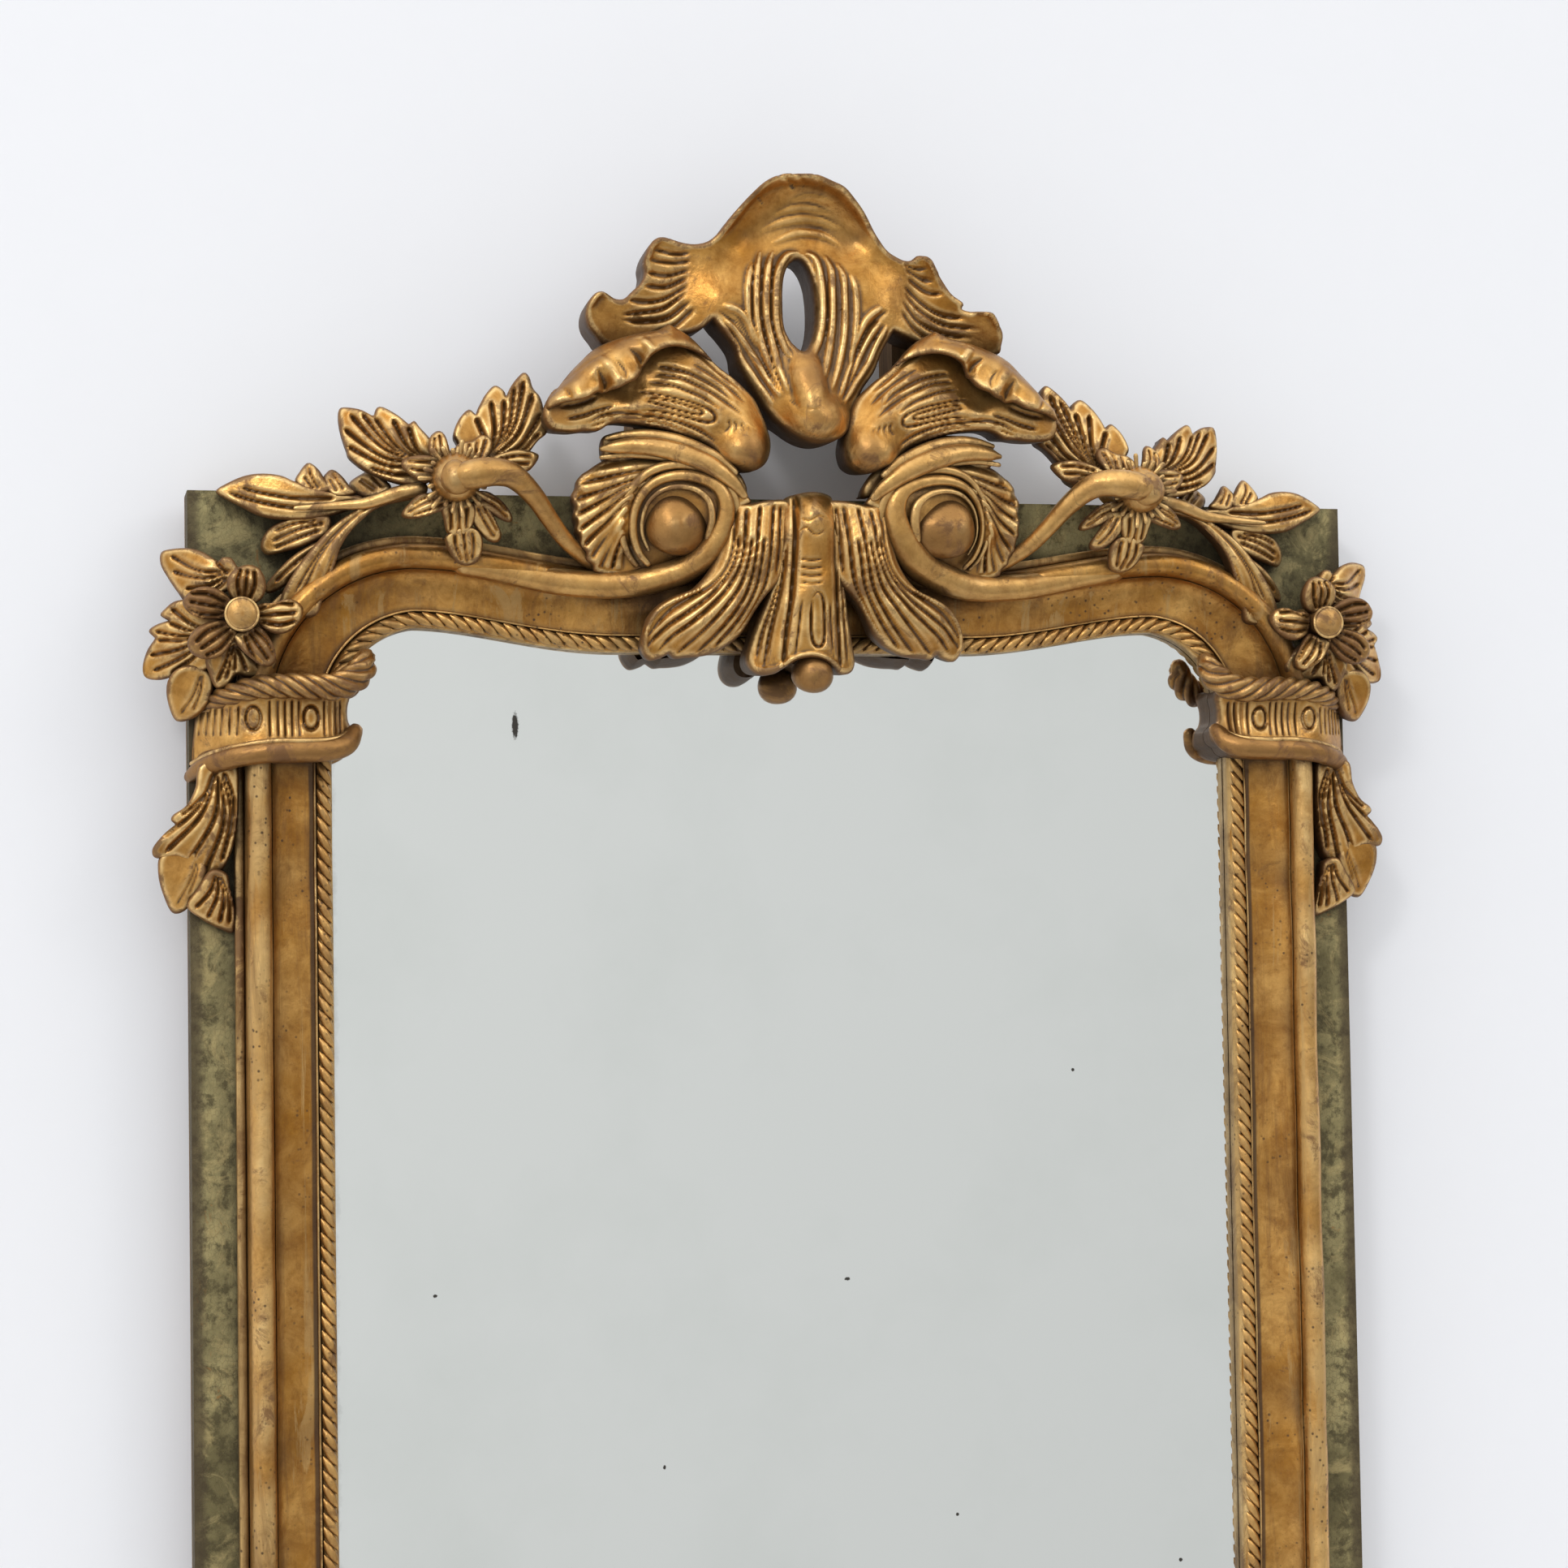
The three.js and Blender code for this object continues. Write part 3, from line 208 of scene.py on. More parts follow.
def carve(outline, ground, work=(), holes=(), domes=(), plane=45.0, grid=1.1, edge=3.0, fall=2.5,
          back=8.0, tuck=4.0, thick=None, bole=(), rough=0.25):
    """A relief cut from a board: outline and ground as drawn on `plane`, then grooves, ribs and domes.
    The front edge is eased by `edge` and `fall`, and the sides are undercut by `tuck` down to `back`."""
    base = ground_of(seen(ground, plane))

    def settle(points):
        drawn = np.array(points, float)[:, :2]
        at = drawn.copy()
        for _ in range(4):
            at = seen(np.column_stack((drawn, base(at))), plane)[:, :2]
        return at

    rims = [settle(smooth(r, True)) for r in (outline, *holes)]
    low, high = rims[0].min(0) - grid, rims[0].max(0) + grid
    xs, zs = np.arange(low[0], high[0] + grid, grid), np.arange(low[1], high[1] + grid, grid)
    nx, nz = len(xs), len(zs)
    x, z = np.meshgrid(xs, zs, indexing="ij")
    middles = np.column_stack(((x[:-1, :-1] + grid / 2).ravel(), (z[:-1, :-1] + grid / 2).ravel()))
    keep = inside(rims[0], middles)
    for hole in rims[1:]:
        keep &= ~inside(hole, middles)
    number = np.arange(nx * nz).reshape(nx, nz)
    quads = np.column_stack([number[:-1, :-1].ravel(), number[1:, :-1].ravel(),
                             number[1:, 1:].ravel(), number[:-1, 1:].ravel()])[keep]
    used, quads = np.unique(quads, return_inverse=True)
    quads = quads.reshape(-1, 4)
    at = np.column_stack((x.ravel(), z.ravel()))[used]
    edges = np.vstack([quads[:, [i, (i + 1) % 4]] for i in range(4)])
    key = edges[:, 0].astype(np.int64) * len(at) + edges[:, 1]
    turned = edges[:, 1].astype(np.int64) * len(at) + edges[:, 0]
    border = edges[~np.isin(key, turned)]
    rim = np.unique(border)
    dist, foot, _ = nearest(at, rims)
    at[rim] = foot[rim]
    both = links(quads)
    loose = dist < 2.6 * grid
    loose[rim] = False
    at = relaxed(at, both, 3, loose)
    dist, _, _ = nearest(at, rims)
    dist[rim] = 0

    top = base(at)
    cut, rise, ruddy = np.zeros(len(at)), np.zeros(len(at)), np.zeros(len(at))
    for kind, wide, deep, line, root, tip in work:
        line = settle(smooth(line))
        near = np.where((at > line.min(0) - wide).all(1) & (at < line.max(0) + wide).all(1))[0]
        if not len(near):
            continue
        d, _, s = nearest(at[near], [line], False)
        ends = np.clip(s / max(root, 1e-3), 0, 1) * np.clip((1 - s) / max(tip, 1e-3), 0, 1)
        u = np.clip(1 - d / (wide * (0.45 + 0.55 * ends)), 0, 1)
        if kind == "cut":
            cut[near] = np.maximum(cut[near], deep * ends ** 0.6 * u ** 1.5)
        else:
            rise[near] = np.maximum(rise[near], deep * ends ** 0.7 * (1 - (1 - u) ** 2) ** 0.8)
    top = top + rise - cut + wobble(at, rough)
    ease = 1 - np.clip(dist / edge, 0, 1)
    top = top - fall * (1 - np.sqrt(1 - ease ** 2))
    for cx, cz, r, crown in domes:
        cx, cz, _ = seen([(cx, cz, crown)], plane)[0]
        d = np.hypot(at[:, 0] - cx, at[:, 1] - cz)
        swell = crown - 0.45 * d * d / r
        top = 0.5 * (top + swell + np.hypot(top - swell, 4.0)) - 1.2 * np.exp(-((top - swell) / 8) ** 2)
        turn = 1 - np.clip(dist / (0.7 * r), 0, 1)
        top = top - 0.6 * r * (1 - np.sqrt(1 - turn ** 2)) * np.clip(2.2 - 1.3 * d / r, 0, 1)
    for cx, cz, r, share in bole:
        cx, cz = settle([(cx, cz)])[0]
        d = np.hypot(at[:, 0] - cx, at[:, 1] - cz)
        ruddy = np.maximum(ruddy, share * np.clip(1.4 - d / r, 0, 1))
    # a band along every outline gets bole, which browns the edge: rubbed-through bole, and in part a painted dark
    # outline for the shade along the edge
    ruddy = np.maximum(ruddy, 1.7 * np.clip(1 - dist / 1.8, 0, 1))
    top = np.maximum(top, back + 2)

    inward = np.zeros((len(at), 2))
    run = at[border[:, 1]] - at[border[:, 0]]
    side = np.column_stack((-run[:, 1], run[:, 0]))
    for k in range(2):
        inward[:, k] = np.bincount(border[:, 0], side[:, k], len(at))
        inward[:, k] += np.bincount(border[:, 1], side[:, k], len(at))
    inward /= np.maximum(np.linalg.norm(inward, axis=1), 1e-9)[:, None]
    share = np.zeros(len(rim))
    for part in (0.25, 0.5, 0.75, 1.0):
        d, _, _ = nearest(at[rim] + inward[rim] * tuck * part, rims)
        share = np.where(d > 0.6 * tuck * part, part, share)
    share = np.minimum(share, 1)
    lean = np.zeros(len(at))
    lean[rim] = share * tuck
    behind = at + inward * lean[:, None]
    near = dist < 3 * tuck
    near[rim] = False
    behind = relaxed(behind, both, 14, near)
    floor = np.full(len(at), float(back))
    if thick is not None:
        even = relaxed(top[:, None], both, 6)[:, 0]
        floor = np.maximum(back, np.minimum(even, top) - thick)
        floor = np.minimum(floor, top - 1.0)
    n = len(at)
    points = [np.column_stack((at, top))]
    faces = [quads]
    rows = [np.arange(n)]
    for share in (0.3, 0.65):
        row = np.full(n, -1)
        row[rim] = n + len(rim) * (len(rows) - 1) + np.arange(len(rim))
        where = at[rim] + (behind[rim] - at[rim]) * share ** 1.6
        points.append(np.column_stack((where, top[rim] + (floor[rim] - top[rim]) * share)))
        rows.append(row)
    start = n + 2 * len(rim)
    rows.append(start + np.arange(n))
    points.append(np.column_stack((behind, floor)))
    faces.append(quads[:, ::-1] + start)
    p, q = border[:, 0], border[:, 1]
    for upper, lower in zip(rows, rows[1:]):
        faces.append(np.column_stack((upper[p], lower[p], lower[q], upper[q])))
    # the side rows carry bole 3.0, which the gilding paints dark brown: bare wood on the sides, and in part painted
    # shade there
    return (np.vstack(points), np.vstack(faces),
            np.concatenate((ruddy, np.full(2 * len(rim) + n, 3.0))))


def bead(path, plane=None, sides=14, flat=1.0, step=1.8, ruddy=0.0, twist=None, sharp=0.0):
    """A closed round rod along (across, up, height, radius) points, with rounded ends.
    `flat` is its height over its width, and `twist` (pitch, depth) cuts it like a rope."""
    line = np.array(path, float)
    if plane is not None:
        line[:, :3] = seen(line[:, :3], plane)
    line = smooth(line[:, [0, 1, 2, 3]], step=step)
    p, r = line[:, :3], np.maximum(line[:, 3], 0.2)
    t = np.gradient(p, axis=0)
    t /= np.linalg.norm(t, axis=1)[:, None]
    turn = np.array((0.25, 0.5, 0.75, 0.93))
    head = [(p[0] - t[0] * r[0] * math.sqrt(1 - (1 - u) ** 2), t[0], r[0] * (1 - u)) for u in turn[::-1]]
    tail = [(p[-1] + t[-1] * r[-1] * math.sqrt(1 - (1 - u) ** 2), t[-1], r[-1] * (1 - u)) for u in turn]
    rings = head + list(zip(p, t, r)) + tail
    angle = np.linspace(0, 2 * math.pi, sides, endpoint=False)
    points, run, last = [], 0.0, None
    for c, d, radius in rings:
        out = np.array((0.0, 0.0, 1.0)) - d * d[2]
        if np.linalg.norm(out) < 0.15:
            out = np.array((0.0, 1.0, 0.0)) - d * d[1]
        out /= np.linalg.norm(out)
        across = np.cross(d, out)
        if last is not None:
            run += np.linalg.norm(c - last)
        last = c
        size = np.full(sides, radius)
        if twist:
            size = radius * (1 - twist[1] * (1 - np.abs(np.cos(math.pi * run / twist[0] + angle * twist[2]))))
        ring = c + np.outer(np.cos(angle) * size, across) + np.outer(np.sin(angle) * size * flat, out)
        points.append(ring)
    points = np.vstack(points)
    n = len(rings)
    i, j = np.meshgrid(np.arange(n - 1), np.arange(sides), indexing="ij")
    i, j, k = i.ravel(), j.ravel(), (j.ravel() + 1) % sides
    faces = np.column_stack((i * sides + j, i * sides + k, (i + 1) * sides + k, (i + 1) * sides + j))
    ends = np.vstack((points[:sides].mean(0), points[-sides:].mean(0)))
    a, b = len(points), len(points) + 1
    j, k = np.arange(sides), (np.arange(sides) + 1) % sides
    fill = np.full(sides, -1)
    caps = np.vstack((np.column_stack((k, j, np.full(sides, a), fill)),
                      np.column_stack(((n - 1) * sides + j, (n - 1) * sides + k, np.full(sides, b), fill))))
    points = np.vstack((points, ends))
    return points, np.vstack((faces, caps)), np.full(len(points), float(ruddy))


def ball(x, z, h, rx, rz, rh, plane=None, ruddy=0.8, dent=0.03, rows=16, sides=28):
    """A worn turned knob, a little out of round."""
    c = np.array((x, z, h), float)
    if plane is not None:
        c = seen([c], plane)[0]
    u, v = np.meshgrid(np.linspace(0, math.pi, rows + 1)[1:-1], np.arange(sides) * 2 * math.pi / sides,
                       indexing="ij")
    u, v = u.ravel(), v.ravel()
    out = 1 + dent * (np.sin(3 * v + 2 * u) * np.sin(u) + 0.7 * np.cos(2 * v - 3 * u))
    body = np.column_stack((rx * np.sin(u) * np.cos(v), rz * np.sin(u) * np.sin(v), rh * np.cos(u)))
    points = np.vstack((c + body * out[:, None], c + (0, 0, rh), c - (0, 0, rh)))
    i, j = np.meshgrid(np.arange(rows - 2), np.arange(sides), indexing="ij")
    i, j, k = i.ravel(), j.ravel(), (j.ravel() + 1) % sides
    faces = np.column_stack((i * sides + j, (i + 1) * sides + j, (i + 1) * sides + k, i * sides + k))
    n = (rows - 1) * sides
    j, k = np.arange(sides), (np.arange(sides) + 1) % sides
    fill = np.full(sides, -1)
    end = (rows - 2) * sides
    caps = np.vstack((np.column_stack((np.full(sides, n), j, k, fill)),
                      np.column_stack((np.full(sides, n + 1), end + k, end + j, fill))))
    return points, np.vstack((faces, caps)), np.full(len(points), float(ruddy))


def sweep(line, section, side=1, wave=0.0):
    """A moulding run along (across, up) points, whose closed section is (inwards, height) pairs."""
    line, section = np.asarray(line, float), np.asarray(section, float)
    t = np.gradient(line, axis=0)
    t /= np.linalg.norm(t, axis=1)[:, None]
    inward = np.column_stack((-t[:, 1], t[:, 0])) * side
    n, m = len(line), len(section)
    at = line[:, None] + inward[:, None] * section[None, :, :1]
    high = np.broadcast_to(section[None, :, 1], (n, m)).copy()
    points = np.dstack((at, high)).reshape(-1, 3)
    if wave:
        lift = wobble(points * 0.35, wave)
        points[:, 2] += np.where(points[:, 2] > 3, lift, 0)
    i, j = np.meshgrid(np.arange(n - 1), np.arange(m), indexing="ij")
    i, j, k = i.ravel(), j.ravel(), (j.ravel() + 1) % m
    faces = np.column_stack((i * m + j, i * m + k, (i + 1) * m + k, (i + 1) * m + j))
    mid = section.mean(0)
    ends = [np.append(line[e] + inward[e] * mid[0], mid[1]) for e in (0, -1)]
    a, b = len(points), len(points) + 1
    j, k = np.arange(m), (np.arange(m) + 1) % m
    fill = np.full(m, -1)
    caps = np.vstack((np.column_stack((k, j, np.full(m, a), fill)),
                      np.column_stack(((n - 1) * m + j, (n - 1) * m + k, np.full(m, b), fill))))
    return np.vstack((points, ends)), np.vstack((faces, caps)), np.zeros(len(points) + 2)


def mirrored(form, bend=None):
    """The other hand of a form, with its faces turned to point out again."""
    p, f, b = form
    p = p * (-1, 1, 1)
    if bend is not None:
        p = bend(p)
    turned = f[:, ::-1].copy()
    tri = f[:, 3] < 0
    turned[tri] = np.column_stack((f[tri][:, [2, 1, 0]], f[tri][:, 3]))
    return p, turned, b


def volume(points, faces):
    tri = np.vstack((faces[:, :3], faces[faces[:, 3] >= 0][:, [0, 2, 3]]))
    a, b, c = (points[tri[:, i]] for i in range(3))
    return np.einsum("ij,ij->i", a, np.cross(b, c)).sum() / 6


def mesh_of(name, form, finish, reach=5, depth=1.1):
    """A Blender mesh of a form, in metres, with how far each point stands proud as `proud`."""
    p, f, b = form
    q = metres(p)
    mesh = bpy.data.meshes.new(name)
    quad = f[:, 3] >= 0
    mesh.from_pydata(q.tolist(), [], f[quad].tolist() + f[~quad, :3].tolist())
    mesh.validate()
    mesh.polygons.foreach_set("use_smooth", np.ones(len(mesh.polygons), bool))
    mesh.set_sharp_from_angle(angle=math.radians(62))
    normals = np.empty(len(mesh.vertices) * 3)
    mesh.vertices.foreach_get("normal", normals)
    normals = normals.reshape(-1, 3)
    both = links(f)
    even = relaxed(q, both, reach)
    span = 1 / np.maximum(((q[both[:, 0]] - q[both[:, 1]]) ** 2).sum(1) * 1e6, 0.04)
    fine = np.bincount(both[:, 0], span, len(q)) / np.maximum(np.bincount(both[:, 0], minlength=len(q)), 1)
    # proud: how convex each point is, which the gilding uses for its painted ridge highlight and for darkening grooves
    proud = ((q - even) * normals).sum(1) * 1000 / depth * np.clip(fine, 0.02, 1.4)
    for key, values in (("proud", np.clip(proud, -1, 1) * (b < 2.5)), ("bole", b)):
        mesh.attributes.new(key, "FLOAT", "POINT").data.foreach_set("value", values.astype(np.float32))
    mesh.materials.append(finish)
    mesh.update()
    return mesh


def piece(name, forms, finish, stands_for=(), slot="gilding", body=BODY, reach=5, depth=1.1):
    """One carved piece: its forms joined, carried by a body, in the place of CAD nodes."""
    fixed = []
    for form in forms:
        if volume(metres(form[0]), form[1]) < 0:
            form = (form[0], mirrored(form)[1], form[2])
        fixed.append(form)
    obj = bpy.data.objects.new(name, mesh_of(name, join(*fixed), finish, reach, depth))
    bpy.context.scene.collection.objects.link(obj)
    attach(obj, body)
    if stands_for:
        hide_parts(*stands_for)
    return obj


def pair(name, forms, finish, stands_for, bend=None, **more):
    """A left piece and its right-hand twin."""
    piece(name + "_left_carving", forms, finish, [n + "_left" for n in stands_for], **more)
    piece(name + "_right_carving", [mirrored(f, bend) for f in forms], finish,
          [n + "_right" for n in stands_for], **more)


# ---------------------------------------------------------------- finishes

def tone(r, g, b):
    """A colour as it is written on a screen, made linear."""
    return tuple(((c / 255 + 0.055) / 1.055) ** 2.4 if c > 10 else c / 255 / 12.92 for c in (r, g, b)) + (1.0,)


class Finish:
    """A material being built: every node reads the piece's own object coordinates or its attributes."""

    def __init__(self, name):
        self.material = bpy.data.materials.new(name)
        self.material.use_nodes = True
        self.tree = self.material.node_tree
        self.tree.nodes.clear()
        self.out = self.tree.nodes.new("ShaderNodeOutputMaterial")
        self.shader = self.tree.nodes.new("ShaderNodeBsdfPrincipled")
        self.tree.links.new(self.shader.outputs[0], self.out.inputs[0])
        self.place = self.tree.nodes.new("ShaderNodeTexCoord").outputs["Object"]

    def node(self, kind, inputs=(), **settings):
        made = self.tree.nodes.new(kind)
        for key, value in settings.items():
            setattr(made, key, value)
        for key, value in dict(inputs).items():
            self.put(made.inputs[key], value)
        return made

    def put(self, socket, value):
        if isinstance(value, bpy.types.NodeSocket):
            self.tree.links.new(value, socket)
        else:
            socket.default_value = value

    def noise(self, scale, detail=4.0, rough=0.55, twist=0.0, place=None):
        return self.node("ShaderNodeTexNoise", {"Vector": place or self.place, "Scale": scale, "Detail": detail,
                                                "Roughness": rough, "Distortion": twist}).outputs["Fac"]

    def cells(self, scale, feature="F1", place=None):
        return self.node("ShaderNodeTexVoronoi", {"Vector": place or self.place, "Scale": scale},
                         feature=feature).outputs["Distance"]

    def squeezed(self, x, y, z):
        """Object coordinates stretched along the axes, for streaks and grain."""
        return self.node("ShaderNodeMapping", {"Vector": self.place, "Scale": (x, y, z)}).outputs[0]

    def ramp(self, value, *stops):
        """Values between stops (position, level)."""
        made = self.node("ShaderNodeValToRGB", {"Fac": value})
        band = made.color_ramp.elements
        while len(band) < len(stops):
            band.new(0.5)
        for element, (position, level) in zip(band, stops):
            element.position = position
            element.color = level if isinstance(level, tuple) else (level, level, level, 1)
        return made.outputs[0]

    def math(self, how, a, b=0.0, clamp=False):
        return self.node("ShaderNodeMath", {0: a, 1: b}, operation=how, use_clamp=clamp).outputs[0]

    def blend(self, share, a, b, how="MIX"):
        made = self.node("ShaderNodeMix", data_type="RGBA", blend_type=how)
        self.put(made.inputs[0], share)
        self.put(made.inputs[6], a)
        self.put(made.inputs[7], b)
        return made.outputs[2]

    def painted(self, key):
        return self.node("ShaderNodeAttribute", attribute_name=key).outputs["Fac"]

    def hollows(self, reach):
        return self.node("ShaderNodeAmbientOcclusion", {"Distance": reach}, samples=6).outputs["AO"]

    def bumped(self, height, strength, distance, below=None):
        inputs = {"Height": height, "Strength": strength, "Distance": distance}
        if below is not None:
            inputs["Normal"] = below
        return self.node("ShaderNodeBump", inputs).outputs[0]

    def set(self, **sockets):
        names = {"colour": "Base Color", "metal": "Metallic", "rough": "Roughness", "normal": "Normal",
                 "gloss": "Specular IOR Level", "coat": "Coat Weight"}
        for key, value in sockets.items():
            self.put(self.shader.inputs[names[key]], value)
        return self.material


def gilding(name, streaked=False):
    """Water gilding over red bole, rubbed through in places, with a painted highlight on the ridges and grime and
    painted shade browning the hollows.
    """
    f = Finish(name)
    proud, ruddy = f.painted("proud"), f.painted("bole")
    # ambient occlusion: how closed in each point is, used below for grime and painted shade in the hollows
    deep = f.hollows(0.024)
    broad, fine, grit = f.noise(16, 6, 0.65), f.noise(110, 8, 0.72, 0.5), f.noise(600, 4, 0.7)
    mottle = f.noise(48, 7, 0.7, 0.7)
    leaf = f.blend(f.ramp(broad, (0.36, 0.0), (0.64, 1.0)), tone(176, 122, 50), tone(224, 172, 98))
    leaf = f.blend(f.ramp(mottle, (0.40, 0.0), (0.66, 0.75)), leaf, tone(150, 98, 40))
    leaf = f.blend(f.ramp(fine, (0.50, 0.0), (0.72, 0.55)), leaf, tone(128, 82, 36))
    ridge = f.ramp(proud, (0.05, 0.0), (0.45, 1.0))
    # painted highlight: proud ridges are blended towards a pale highlight colour
    painted_ridge_highlight = f.math("MULTIPLY", ridge, f.ramp(fine, (0.3, 0.85), (0.7, 0.35)))
    leaf = f.blend(painted_ridge_highlight, leaf, tone(250, 214, 150))
    patchy = f.math("ADD", ruddy, f.math("MULTIPLY", f.math("SUBTRACT", f.noise(30, 6, 0.6), 0.5), 1.1))
    tinted = f.ramp(patchy, (0.25, 0.0), (1.0, 0.9))
    leaf = f.blend(tinted, leaf, f.blend(fine, tone(116, 80, 44), tone(184, 138, 84)))
    rub = f.math("ADD", f.math("MULTIPLY", ridge, 0.12), f.noise(42, 9, 0.75, 0.8))
    rub = f.math("ADD", rub, f.math("MULTIPLY", ruddy, 0.05))
    worn = f.ramp(rub, (0.60, 0.0), (0.70, 0.85))
    # groove bottoms darkened: grime and painted shade in the cuts
    groove_grime_and_painted_shade = f.ramp(f.math("MULTIPLY", proud, -1.0), (0.03, 0.0), (0.38, 1.0))
    grime_and_painted_shade = f.math("MULTIPLY", f.ramp(deep, (0.25, 1.0), (0.85, 0.0)), f.ramp(fine, (0.2, 0.75), (0.8, 1.0)))
    grime_and_painted_shade = f.math("MAXIMUM", grime_and_painted_shade, f.math("MULTIPLY", groove_grime_and_painted_shade, 0.9))
    colour = f.blend(worn, leaf, f.blend(fine, tone(90, 58, 30), tone(136, 94, 52)))
    if streaked:
        streak = f.noise(9, 7, 0.7, 0.6, f.squeezed(7.5, 7.5, 0.5))
        lost = f.ramp(f.math("ADD", streak, f.math("MULTIPLY", ridge, 0.08)), (0.56, 0.0), (0.61, 0.65))
        colour = f.blend(lost, colour, f.blend(fine, tone(140, 100, 48), tone(222, 184, 118)))
        dull = f.ramp(f.noise(7, 8, 0.75, 1.2, f.squeezed(5, 5, 0.5)), (0.5, 0.0), (0.64, 0.6))
        colour = f.blend(dull, colour, tone(110, 72, 34))
        pits = f.ramp(f.cells(230), (0.12, 1.0), (0.24, 0.0))
        pits = f.math("MULTIPLY", pits, f.ramp(f.noise(24, 3), (0.46, 0.0), (0.6, 0.9)))
        grime_and_painted_shade = f.math("MAXIMUM", grime_and_painted_shade, pits)
        bare = f.math("MAXIMUM", worn, f.math("MAXIMUM", lost, dull))
    else:
        bare = worn
    # grime and painted shade turn the hollows and grooves dark brown, and dull the metal there
    colour = f.blend(f.math("MULTIPLY", grime_and_painted_shade, 0.92), colour, tone(50, 31, 15))
    flecks = f.ramp(f.cells(330), (0.05, 1.0), (0.11, 0.0))
    colour = f.blend(f.math("MULTIPLY", flecks, f.ramp(broad, (0.45, 0.0), (0.65, 0.6))), colour, tone(70, 44, 22))
    # dark brown where bole runs above 1, on the carvings' sides and outline band: bare wood and bole, partly painted
    # shade along the edges
    bare_wood_and_edge_shade = f.math("MULTIPLY", f.math("SUBTRACT", ruddy, f.math("ADD", fine, 1.0)), 0.9, True)
    colour = f.blend(bare_wood_and_edge_shade, colour, f.blend(fine, tone(52, 35, 21), tone(104, 74, 44)))
    bare = f.math("MAXIMUM", bare, bare_wood_and_edge_shade)
    covered = f.math("SUBTRACT", 1.0, f.math("MAXIMUM", f.math("MULTIPLY", bare, 0.65),
                                             f.math("MULTIPLY", grime_and_painted_shade, 0.7)), True)
    tooled = f.bumped(f.noise(75, 3, 0.5, 0.4), 0.35, 0.0016)
    hammered = f.bumped(f.noise(230, 5, 0.65), 0.35, 0.0008, tooled)
    cracks = f.ramp(f.cells(70, "DISTANCE_TO_EDGE", f.squeezed(1, 1, 0.35)), (0.0, 0.0), (0.02, 1.0))
    surface = f.bumped(cracks, 0.08, 0.0003, f.bumped(grit, 0.3, 0.00025, hammered))
    rough = f.math("ADD", f.math("MULTIPLY", fine, 0.24), f.math("MULTIPLY", bare, 0.16))
    rough = f.math("ADD", rough, f.math("MULTIPLY", tinted, 0.05))
    return f.set(colour=colour, metal=f.math("MULTIPLY", covered, 0.94), rough=f.math("ADD", rough, 0.2),
                 normal=surface, gloss=0.5)


def old_green():
    """Grey-green distemper, crazed, yellowed and chipped, darker brown along its outer edges, with grime and painted
    shade in its hollows.
    """
    f = Finish("old green paint")
    broad, fine = f.noise(14, 6, 0.65, 0.5), f.noise(120, 6, 0.7)
    colour = f.blend(f.ramp(broad, (0.40, 0.0), (0.58, 1.0)), tone(112, 103, 68), tone(166, 154, 108))
    colour = f.blend(f.ramp(fine, (0.46, 0.0), (0.60, 0.85)), colour, tone(80, 72, 46))
    colour = f.blend(f.ramp(f.noise(40, 7, 0.75, 0.8), (0.50, 0.0), (0.62, 0.7)), colour, tone(186, 168, 116))
    crazing = f.cells(420, "DISTANCE_TO_EDGE", f.squeezed(1.0, 1.0, 0.6))
    crazing = f.ramp(f.math("SUBTRACT", crazing, f.math("MULTIPLY", fine, 0.03)), (0.0, 1.0), (0.06, 0.0))
    colour = f.blend(f.math("MULTIPLY", crazing, f.ramp(broad, (0.4, 0.0), (0.7, 0.4))), colour, tone(74, 64, 44))
    chips = f.ramp(f.noise(52, 9, 0.75, 1.0), (0.63, 0.0), (0.67, 1.0))
    colour = f.blend(chips, colour, tone(152, 118, 70))
    # ambient occlusion darkens the paint in hollows and beside the carvings: grime and painted shade
    deep = f.hollows(0.03)
    colour = f.blend(f.ramp(deep, (0.35, 0.85), (0.85, 0.0)), colour, tone(46, 38, 24))
    split = f.node("ShaderNodeSeparateXYZ", {0: f.place})
    side = f.math("ABSOLUTE", split.outputs[0])
    # a darker brown band along the board's outer edges and sides
    edge = f.ramp(f.math("ADD", f.math("SUBTRACT", side, 0.3415), f.math("MULTIPLY", fine, 0.008)),
                  (0.004, 0.0), (0.0085, 0.85))
    colour = f.blend(edge, colour, tone(72, 60, 42))
    back = f.math("ADD", split.outputs[1], f.math("MULTIPLY", fine, 0.006))
    bare = f.ramp(f.math("ADD", f.math("MULTIPLY", back, 20), 0.5), (0.42, 0.0), (0.46, 1.0))
    colour = f.blend(bare, colour, raw_wood(f))
    bump = f.bumped(f.math("ADD", f.math("MULTIPLY", crazing, -1), f.math("MULTIPLY", chips, -0.6)), 0.35, 0.0005,
                    f.bumped(fine, 0.25, 0.0004))
    return f.set(colour=colour, rough=f.math("ADD", f.math("MULTIPLY", fine, 0.2), 0.6), normal=bump, gloss=0.3)


def raw_wood(f, along=(60.0, 60.0, 3.5)):
    """Colour of old unpainted softwood with its grain along the tall side."""
    grain = f.noise(1.0, 8, 0.68, 2.2, f.squeezed(*along))
    stain = f.noise(5, 5, 0.6)
    wood = f.blend(f.ramp(grain, (0.35, 0.0), (0.62, 1.0)), tone(92, 66, 42), tone(148, 116, 80))
    return f.blend(f.ramp(stain, (0.42, 0.0), (0.75, 0.7)), wood, tone(70, 52, 36))


